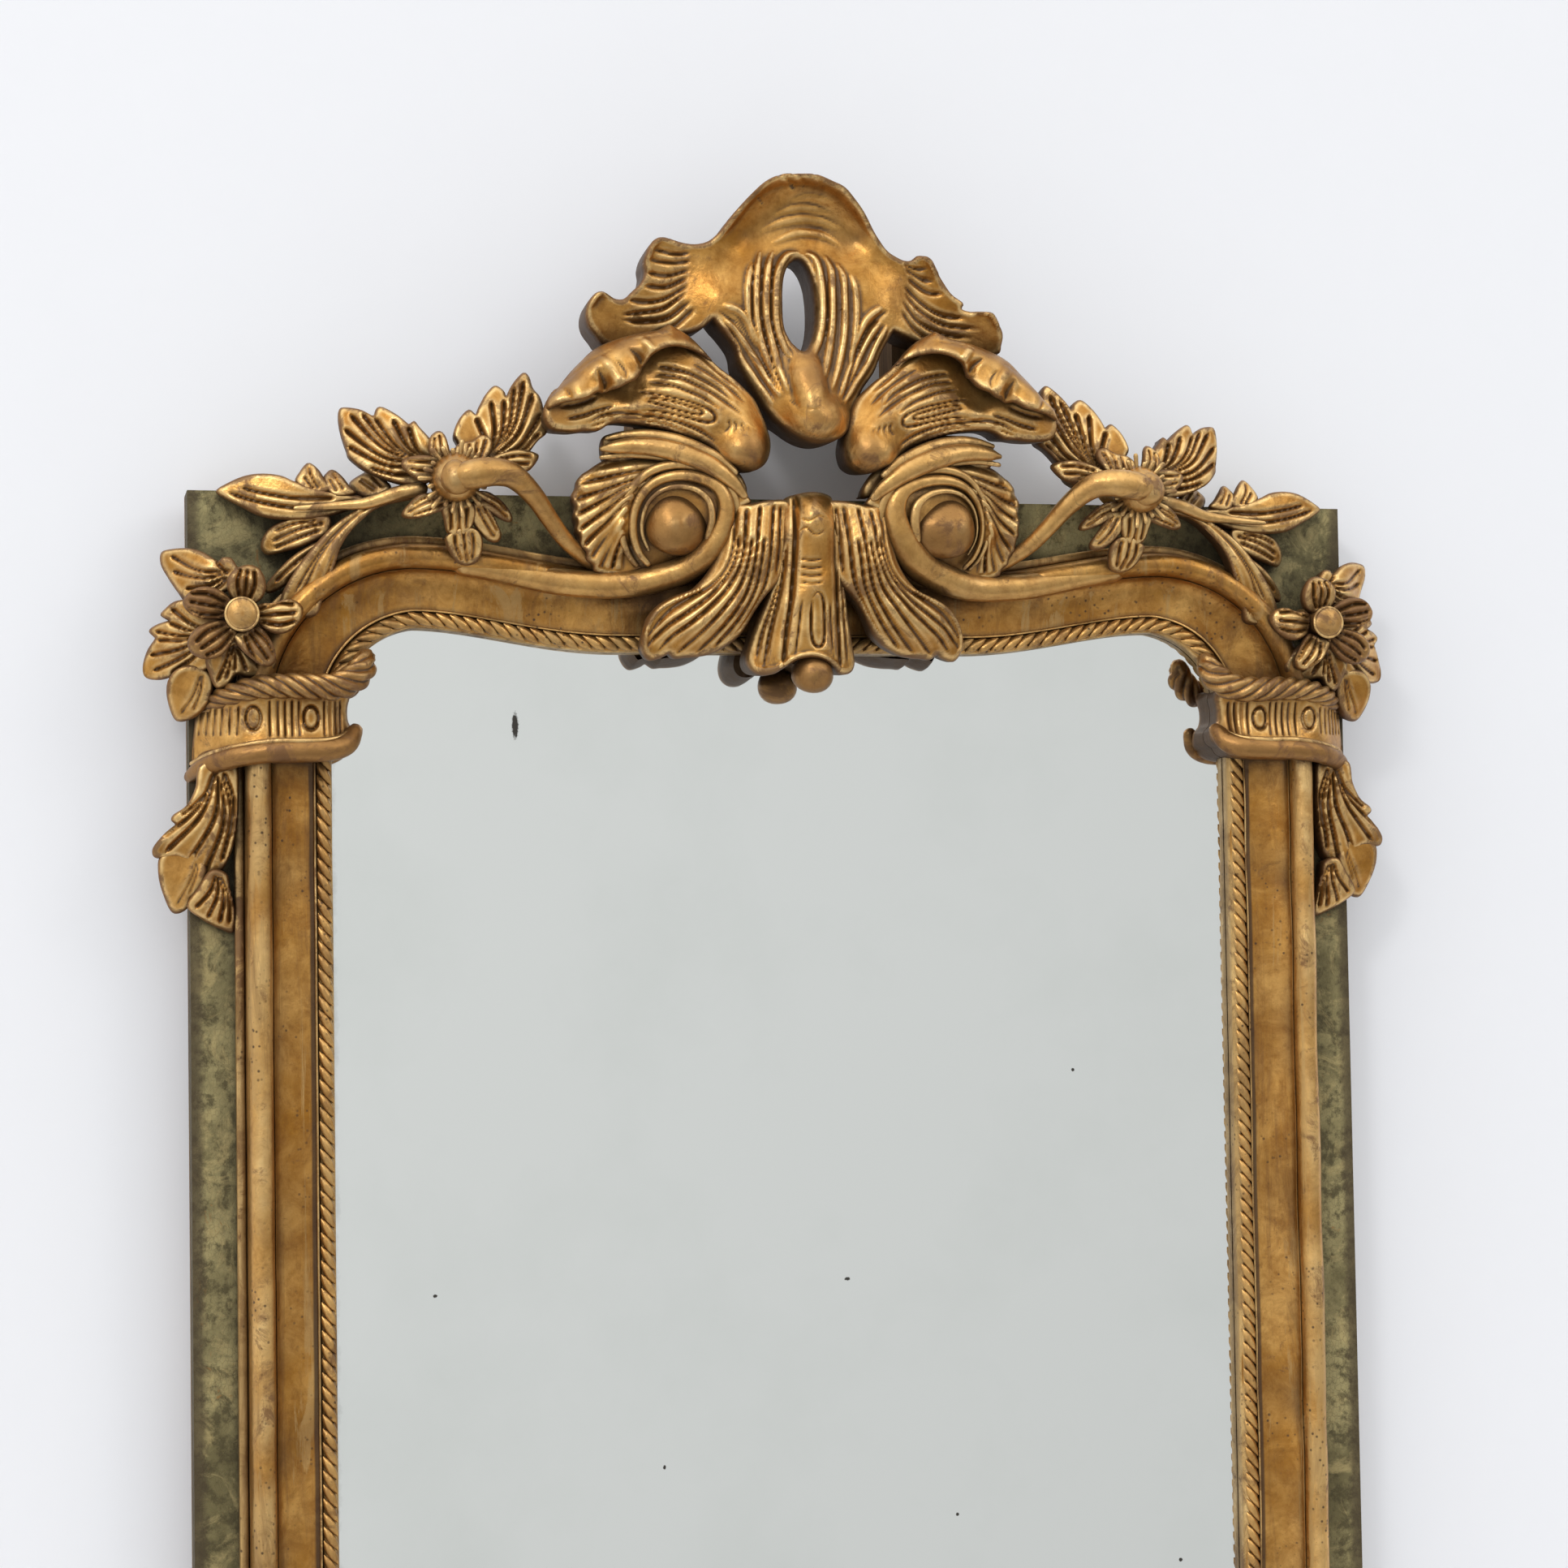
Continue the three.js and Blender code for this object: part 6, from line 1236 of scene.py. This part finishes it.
def profile(width):
    """Section of the gilt moulding: fillet, round ridge, cove, fillet, rope seat and sight lip."""
    ridge = [(12.8 - 7.2 * math.cos(a), 18.8 + 9.7 * math.sin(a)) for a in np.linspace(0.05, math.pi - 0.05, 15)]
    cove = [(20.4 + (width - 31.4) * (1 - math.cos(a)), 20 - 11 * math.sin(a)) for a in np.linspace(0, math.pi / 2, 14)]
    seat = [(width - 4.9 - 3.9 * math.cos(a), 8.6 + 2.6 * math.sin(a)) for a in np.linspace(0.1, math.pi - 0.1, 7)]
    return ([(0.4, 0.4), (0, 1), (0, 8.2), (0.8, 9), (4.2, 9), (4.8, 8.6), (5.2, 7.2), (5.5, 9), (5.6, 14)] + ridge
            + [(20, 16.5), (20.2, 19.4)] + cove
            + [(width - 10.9, 9.9), (width - 10.4, 10.6), (width - 9.6, 10.5), (width - 9.2, 8.2)] + seat
            + [(width - 0.7, 8.6), (width - 0.2, 7.8), (width, 6.6), (width, 0.4)])


def head_line(step=2.5):
    """Outer edge of the left half of the arched head, from the capital up and over to the middle."""
    cx, cz = ARC_MIDDLE
    points = [(-OUTER_EDGE, cz - 12), (-OUTER_EDGE, cz)]
    for a in np.arange(step / ARC_RADIUS, math.pi / 2 - 0.5 * step / ARC_RADIUS, step / ARC_RADIUS):
        points.append((-(cx + ARC_RADIUS * math.cos(a)), cz + ARC_RADIUS * math.sin(a)))
    top = cz + ARC_RADIUS
    for x in np.arange(cx, DIP_END, -step):
        t = (cx - x) / (cx - DIP_END)
        points.append((-x, top - DIP * t * t * (3 - 2 * t)))
    points += [(-x, top - DIP) for x in np.arange(DIP_END, 30, -step)]
    points.append((-2.0, top - DIP))
    return np.array(points)


def offset(line, inwards, side):
    t = np.gradient(line, axis=0)
    t /= np.linalg.norm(t, axis=1)[:, None]
    return line + np.column_stack((-t[:, 1], t[:, 0])) * side * inwards


def stile_line():
    z = np.append(np.arange(MOULDING_FOOT, CAPITAL_FOOT - 4, 9.0), CAPITAL_FOOT + 4)
    return np.column_stack((np.full(len(z), -OUTER_EDGE), z))


def rope_tree():
    """Rope twist: slanting strands set side by side along a line."""
    tree = bpy.data.node_groups.new("Rope twist", "GeometryNodeTree")
    face = tree.interface
    face.new_socket("Line", in_out="INPUT", socket_type="NodeSocketGeometry")
    for label, value in (("Pitch", 0.0078), ("Strand length", 0.0155), ("Strand width", 0.0054), ("Lean", 0.5)):
        face.new_socket(label, in_out="INPUT", socket_type="NodeSocketFloat").default_value = value
    face.new_socket("Finish", in_out="INPUT", socket_type="NodeSocketMaterial")
    face.new_socket("Rope", in_out="OUTPUT", socket_type="NodeSocketGeometry")
    link = tree.links.new

    def node(kind, inputs=(), **settings):
        made = tree.nodes.new(kind)
        for key, value in settings.items():
            setattr(made, key, value)
        for key, value in dict(inputs).items():
            if isinstance(value, bpy.types.NodeSocket):
                link(value, made.inputs[key])
            else:
                made.inputs[key].default_value = value
        return made

    given = node("NodeGroupInput").outputs
    line = node("GeometryNodeMeshToCurve", {"Mesh": given["Line"]}).outputs[0]
    spaced = node("GeometryNodeResampleCurve", {"Curve": line, "Length": given["Pitch"]}, mode="LENGTH").outputs[0]
    short = node("GeometryNodeCurvePrimitiveLine", {"Start": (-0.5, 0, 0), "End": (0.5, 0, 0)}).outputs[0]
    short = node("GeometryNodeResampleCurve", {"Curve": short, "Count": 7}, mode="COUNT").outputs[0]
    part = node("GeometryNodeSplineParameter").outputs["Factor"]
    swell = node("ShaderNodeMath", {0: part, 1: math.pi}, operation="MULTIPLY").outputs[0]
    swell = node("ShaderNodeMath", {0: swell}, operation="SINE").outputs[0]
    swell = node("ShaderNodeMath", {0: swell, 1: 0.55}, operation="POWER").outputs[0]
    swell = node("ShaderNodeMath", {0: swell, 1: 0.12}, operation="MAXIMUM").outputs[0]
    ring = node("GeometryNodeCurvePrimitiveCircle", {"Resolution": 8, "Radius": 0.5}).outputs[0]
    shape = node("GeometryNodeCurveToMesh", {"Curve": short, "Profile Curve": ring, "Fill Caps": True})
    if "Scale" in shape.inputs:
        link(swell, shape.inputs["Scale"])
    else:
        sized = node("GeometryNodeSetCurveRadius", {"Curve": short, "Radius": swell}).outputs[0]
        link(sized, shape.inputs["Curve"])
    size = node("ShaderNodeCombineXYZ", {0: given["Strand length"], 1: given["Strand width"],
                                         2: given["Strand width"]}).outputs[0]
    strand = node("GeometryNodeTransform", {"Geometry": shape.outputs[0], "Scale": size}).outputs[0]
    facing = node("FunctionNodeAlignRotationToVector", {"Vector": (0, -1, 0)}, axis="Z").outputs[0]
    facing = node("FunctionNodeAlignRotationToVector",
                  {"Rotation": facing, "Vector": node("GeometryNodeInputTangent").outputs[0]},
                  axis="X", pivot_axis="Z").outputs[0]
    set_out = node("GeometryNodeInstanceOnPoints", {"Points": spaced, "Instance": strand, "Rotation": facing}).outputs[0]
    lean = node("ShaderNodeCombineXYZ", {2: given["Lean"]}).outputs[0]
    leaned = node("GeometryNodeRotateInstances", {"Instances": set_out, "Rotation": lean}).outputs[0]
    real = node("GeometryNodeRealizeInstances", {"Geometry": leaned}).outputs[0]
    real = node("GeometryNodeSetShadeSmooth", {0: real}).outputs[0]
    real = node("GeometryNodeSetMaterial", {"Geometry": real, "Material": given["Finish"]}).outputs[0]
    link(real, node("NodeGroupOutput").inputs[0])
    return tree


def fixing_tree():
    """Hand-made clout nails, a head at every point, each turned its own way."""
    tree = bpy.data.node_groups.new("Clout nails", "GeometryNodeTree")
    face = tree.interface
    face.new_socket("Points", in_out="INPUT", socket_type="NodeSocketGeometry")
    face.new_socket("Head size", in_out="INPUT", socket_type="NodeSocketFloat").default_value = 0.006
    face.new_socket("Finish", in_out="INPUT", socket_type="NodeSocketMaterial")
    face.new_socket("Nails", in_out="OUTPUT", socket_type="NodeSocketGeometry")
    link = tree.links.new
    given = tree.nodes.new("NodeGroupInput").outputs
    head = tree.nodes.new("GeometryNodeMeshUVSphere")
    head.inputs["Segments"].default_value, head.inputs["Rings"].default_value = 9, 5
    head.inputs["Radius"].default_value = 0.5
    flat = tree.nodes.new("GeometryNodeTransform")
    flat.inputs["Scale"].default_value = (1.0, 0.42, 0.92)
    link(head.outputs[0], flat.inputs["Geometry"])
    turn = tree.nodes.new("FunctionNodeRandomValue")
    turn.data_type = "FLOAT_VECTOR"
    turn.inputs["Min"].default_value, turn.inputs["Max"].default_value = (-0.12, -3.1, -0.12), (0.12, 3.1, 0.12)
    turn.inputs["Seed"].default_value = 7
    put = tree.nodes.new("GeometryNodeInstanceOnPoints")
    link(given["Points"], put.inputs["Points"])
    link(flat.outputs[0], put.inputs["Instance"])
    link(turn.outputs[0], put.inputs["Rotation"])
    link(given["Head size"], put.inputs["Scale"])
    real = tree.nodes.new("GeometryNodeRealizeInstances")
    link(put.outputs[0], real.inputs[0])
    even = tree.nodes.new("GeometryNodeSetShadeSmooth")
    link(real.outputs[0], even.inputs[0])
    dress = tree.nodes.new("GeometryNodeSetMaterial")
    link(even.outputs[0], dress.inputs["Geometry"])
    link(given["Finish"], dress.inputs["Material"])
    link(dress.outputs[0], tree.nodes.new("NodeGroupOutput").inputs[0])
    return tree


def grown_from(name, points, edges, tree, inputs):
    """The plain mesh that a node tree makes on the given points and edges (metres)."""
    seed = bpy.data.meshes.new(name + "_line")
    seed.from_pydata([tuple(p) for p in points], edges, [])
    host = bpy.data.objects.new(name + "_host", seed)
    bpy.context.scene.collection.objects.link(host)
    modifier = host.modifiers.new("made", "NODES")
    modifier.node_group = tree
    for item in tree.interface.items_tree:
        if item.item_type == "SOCKET" and item.in_out == "INPUT" and item.name in inputs:
            modifier[item.identifier] = inputs[item.name]
    bpy.context.view_layer.update()
    made = host.evaluated_get(bpy.context.evaluated_depsgraph_get())
    mesh = bpy.data.meshes.new_from_object(made)
    mesh.name = name
    host.modifiers.remove(modifier)
    bpy.data.objects.remove(host)
    # a middling proud level gives these pieces part of the gilding's painted ridge highlight
    for key, level in (("proud", 0.2), ("bole", 0.2)):
        if key not in mesh.attributes:
            mesh.attributes.new(key, "FLOAT", "POINT").data.foreach_set(
                "value", np.full(len(mesh.vertices), level, np.float32))
    obj = bpy.data.objects.new(name, mesh)
    bpy.context.scene.collection.objects.link(obj)
    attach(obj, BODY)
    return obj


def rope_along(name, lines, finish, tree, lean, stands_for):
    """Rope twist seated along lines of (across, up) points."""
    points, edges = [], []
    for line in lines:
        start = len(points)
        points += [tuple(p) for p in metres(np.column_stack((line, np.full(len(line), 11.2))))]
        edges += [(start + i, start + i + 1) for i in range(len(line) - 1)]
    obj = grown_from(name, points, edges, tree, {"Lean": lean, "Finish": finish})
    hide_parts(*stands_for)
    return obj


def mouldings(gilt):
    """Side, head and foot mouldings, with the rope twist round the sight edge."""
    rope = rope_tree()
    stile, head = stile_line(), head_line()
    run = sweep(stile, profile(STILE_WIDTH), -1, 0.5)
    arch = sweep(head, profile(HEAD_WIDTH), -1, 0.5)
    section = np.array(profile(HEAD_WIDTH))[:, 0]
    inward = offset(head, 1.0, -1) - head
    spread = 7 * np.clip((-head[:, 0] - ARC_MIDDLE[0]) / ARC_RADIUS, 0, 1)
    share = np.clip((section - 20) / (HEAD_WIDTH - 20), 0, 1)
    arch[0][:-2, :2] += (inward[:, None] * (spread[:, None] * share)[..., None]).reshape(-1, 2)
    p, depth = arch[0], ARC_MIDDLE[1] + ARC_RADIUS - DIP - arch[0][:, 1]
    fading = np.clip((p[:, 0] + 150) / 35, 0, 1) * np.clip((38 - depth) / 10, 0, 1)
    p[:, 2] -= np.clip(p[:, 2] - 11, 0, None) * fading
    for hand, turn in (("left", lambda f: f), ("right", mirrored)):
        piece("side_moulding_" + hand, [turn(run)], gilt, ["moulding_" + hand], depth=0.4)
        piece("head_moulding_" + hand, [turn(arch)], gilt, ["moulding_head_" + hand], depth=2.4)
    x = np.linspace(-FOOT_REACH, FOOT_REACH, 65)
    foot = np.column_stack((x, np.full(len(x), FOOT_EDGE)))
    piece("foot_moulding", [sweep(foot, profile(STILE_WIDTH), 1, 0.5)], gilt, ["moulding_bottom"], depth=0.4)
    stile_rope = offset(stile, STILE_WIDTH - 4.9, -1)
    head_rope = offset(head, HEAD_WIDTH - 4.9, -1) + inward * spread[:, None]
    foot_rope = offset(foot, STILE_WIDTH - 4.9, 1)
    flip = np.array((-1, 1))
    rope_along("rope_twist_left", [stile_rope], gilt, rope, 0.52, ["rope_left"])
    rope_along("rope_twist_right", [stile_rope * flip], gilt, rope, 0.52, ["rope_right"])
    rope_along("rope_twist_head_left", [head_rope], gilt, rope, -0.52, ["rope_head_left"])
    rope_along("rope_twist_head_right", [head_rope * flip], gilt, rope, 0.52, ["rope_head_right"])
    rope_along("rope_twist_foot", [foot_rope], gilt, rope, 0.52, ["rope_bottom"])


FOOT_REACH = 258.0
FOOT_EDGE = -1377.5


# ---------------------------------------------------------------- the back

def nails(iron):
    """Clout nails that hold the backing boards to the carcass."""
    places = []
    for n in (1, 2, 3):
        low, high = (np.array(c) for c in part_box("backing_board_%d" % n))
        for share in (0.12, 0.5, 0.88):
            for z in (low[2] + 0.014, high[2] - 0.014):
                places.append((low[0] + (high[0] - low[0]) * share, high[1] + 0.0006, z))
    return grown_from("backing_nails", places, [], fixing_tree(), {"Finish": iron})


def screw(at, radius, slant):
    """Slotted round-head screw, its head facing the wall: position in metres, radius in mm."""
    rows, sides = 6, 20
    points, faces = [], []
    for i in range(rows + 1):
        a = (math.pi / 2) * i / rows
        r, lift = radius * math.cos(a), 0.45 * radius * math.sin(a)
        for j in range(sides):
            b = 2 * math.pi * j / sides
            x, z = r * math.cos(b), r * math.sin(b)
            across = abs(-x * math.sin(slant) + z * math.cos(slant))
            cut = 0.3 * radius if across < radius * 0.16 and i > 1 else 0.0
            points.append((x, max(lift - cut, 0.02), z))
    for i in range(rows):
        for j in range(sides):
            k = (j + 1) % sides
            faces.append((i * sides + j, i * sides + k, (i + 1) * sides + k, (i + 1) * sides + j))
    faces.append(tuple(rows * sides + j for j in range(sides)))
    faces.append(tuple(reversed(range(sides))))
    return [(at[0] + x / 1000, at[1] + y / 1000, at[2] + z / 1000) for x, y, z in points], faces


def screws(iron):
    points, faces = [], []
    for node in ("hanger_plate_left", "hanger_plate_right"):
        low, high = (np.array(c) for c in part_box(node))
        middle, side = (low + high)[0] / 2, 1 if high[0] > 0 else -1
        for across, up in ((0, 0.032), (0, 0.022), (0.006, -0.004)):
            p, f = screw((middle + side * across, low[1] + 0.0023, up), 3.2, 0.7 + up * 40)
            faces += [tuple(i + len(points) for i in g) for g in f]
            points += p
    mesh = bpy.data.meshes.new("hanger_screws")
    mesh.from_pydata(points, [], faces)
    mesh.materials.append(iron)
    obj = bpy.data.objects.new("hanger_screws", mesh)
    bpy.context.scene.collection.objects.link(obj)
    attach(obj, BODY)


# ---------------------------------------------------------------- the whole mirror

def bend_volute(p):
    """The right-hand scroll sits a little further out than the left."""
    p = np.array(p)
    p[:, 0] += 13 * np.exp(-((p[:, 0] - 79) / 28) ** 2) * np.exp(-((p[:, 1] + 20) / 35) ** 2)
    return p


def build():
    gilt, worn = gilding("worn water gilding"), gilding("rubbed moulding gilding", True)
    green, mirror, iron = old_green(), old_mirror(), black_iron()
    board, block = back_wood("old pine"), back_wood("old pine across", (3.5, 60.0, 60.0))
    mouldings(worn)
    shell(gilt)
    pair("rocaille_leaf", rocaille_leaf(), gilt, ["crest_leaf"])
    pair("comb", comb(), gilt, ["wave_comb"], bend_volute)
    pair("scroll", volute(), gilt, ["volute"], bend_volute)
    pair("sweeping_leaf", sweep_leaf(), gilt, ["sweep_leaf"])
    drop(gilt)
    pair("flower", top_flower(), gilt, ["top_flower"])
    outer, inner = flower_leaves()
    pair("flower_outer_leaf", [outer], gilt, ["flower_leaf_outer"])
    pair("flower_inner_leaf", [inner], gilt, ["flower_leaf_inner"])
    pair("sprig", sprig(), gilt, ["sprig_leaf"])
    pair("corner_rosette", corner_flower(), gilt, ["corner_flower"])
    pair("corner_foliage", corner_leaves(), gilt, ["corner_leaf"])
    pair("pendant", pendant(), gilt, ["pendant_leaf"])
    pair("capital", capital(), gilt, ["capital"])
    pair("capital_twist", capital_rope(), gilt, ["capital_rope"])
    nails(iron)
    screws(iron)
    dress = (("carcass_", green), ("glass_plate", mirror), ("backing_board", board), ("crest_strut", board),
             ("glass_block", block), ("hanger_plate", iron), ("hanging_ring", iron), ("base_", worn))
    for node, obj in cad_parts.items():
        for start, finish in dress:
            if node.startswith(start):
                for place in obj.material_slots:
                    place.material = finish


def aimed(obj, at, target):
    obj.location = at
    obj.rotation_euler = (Vector(target) - Vector(at)).to_track_quat("-Z", "Y").to_euler()
    bpy.context.scene.collection.objects.link(obj)


def soft_lamp(name, at, target, width, height, watts):
    lamp = bpy.data.lights.new(name, "AREA")
    lamp.shape, lamp.size, lamp.size_y, lamp.energy = "RECTANGLE", width, height, watts
    aimed(bpy.data.objects.new(name, lamp), at, target)


def flat(name, corners, material, faces=((0, 1, 2, 3),)):
    mesh = bpy.data.meshes.new(name)
    mesh.from_pydata(corners, [], faces)
    mesh.materials.append(material)
    obj = bpy.data.objects.new(name, mesh)
    bpy.context.scene.collection.objects.link(obj)


def room():
    """Pale wall and floor, a big soft light high on the left and an even room light."""
    back, ground = 0.0125, -1.366
    side, low, high = 0.325, -1.33, 0.022   # an opening that the board covers, so that its back has light
    flat("wall", [(-4, back, ground), (4, back, ground), (4, back, 3.5), (-4, back, 3.5),
                  (-side, back, low), (side, back, low), (side, back, high), (-side, back, high)],
         plain_wall("pale wall", tone(246, 246, 250)), [(0, 1, 5, 4), (1, 2, 6, 5), (2, 3, 7, 6), (3, 0, 4, 7)])
    flat("floor", [(-4, -1.1, ground), (4, -1.1, ground), (4, back, ground), (-4, back, ground)],
         plain_wall("pale floor", tone(208, 208, 210)))
    soft_lamp("window", (-1.5, -2.4, 1.5), (0, 0, -0.1), 0.5, 0.5, 14)
    soft_lamp("broad light", (2.2, -2.3, 1.5), (0, 0, -0.3), 1.0, 1.4, 8)
    world = bpy.data.worlds.new("even room")
    bpy.context.scene.world = world
    world.use_nodes = True
    tree = world.node_tree
    tree.nodes.clear()
    way = tree.nodes.new("ShaderNodeTexCoord")
    split = tree.nodes.new("ShaderNodeSeparateXYZ")
    band = tree.nodes.new("ShaderNodeValToRGB")
    half = tree.nodes.new("ShaderNodeMath")
    half.operation = "MULTIPLY_ADD"
    half.inputs[1].default_value, half.inputs[2].default_value = 0.5, 0.5
    stops = ((0.0, 0.18), (0.22, 0.28), (0.36, 0.42), (0.5, 0.45), (0.62, 0.46), (0.76, 0.75), (1.0, 1.0))
    while len(band.color_ramp.elements) < len(stops):
        band.color_ramp.elements.new(0.5)
    for element, (position, level) in zip(band.color_ramp.elements, stops):
        element.position = position
        element.color = (level * 0.985, level, level * 0.995, 1)
    across = tree.nodes.new("ShaderNodeMath")
    across.operation = "MULTIPLY_ADD"
    across.inputs[1].default_value, across.inputs[2].default_value = -0.40, 1.64
    tree.links.new(split.outputs[0], across.inputs[0])
    light = tree.nodes.new("ShaderNodeBackground")
    tree.links.new(across.outputs[0], light.inputs["Strength"])
    out = tree.nodes.new("ShaderNodeOutputWorld")
    tree.links.new(way.outputs["Generated"], split.inputs[0])
    tree.links.new(split.outputs[2], half.inputs[0])
    tree.links.new(half.outputs[0], band.inputs[0])
    tree.links.new(band.outputs[0], light.inputs["Color"])
    tree.links.new(light.outputs[0], out.inputs[0])


def camera():
    lens = bpy.data.cameras.new("view")
    lens.lens, lens.sensor_width, lens.sensor_fit = 73.68, 36.0, "HORIZONTAL"
    obj = bpy.data.objects.new("view", lens)
    bpy.context.scene.collection.objects.link(obj)
    obj.matrix_world = Matrix(((0.97215, 0.00467, -0.2343, -0.448), (-0.23378, -0.04758, -0.9711, -1.868),
                               (-0.01569, 0.99886, -0.0452, -0.218), (0, 0, 0, 1)))
    bpy.context.scene.camera = obj


build()
room()
camera()
bpy.context.scene.view_settings.view_transform = "Standard"
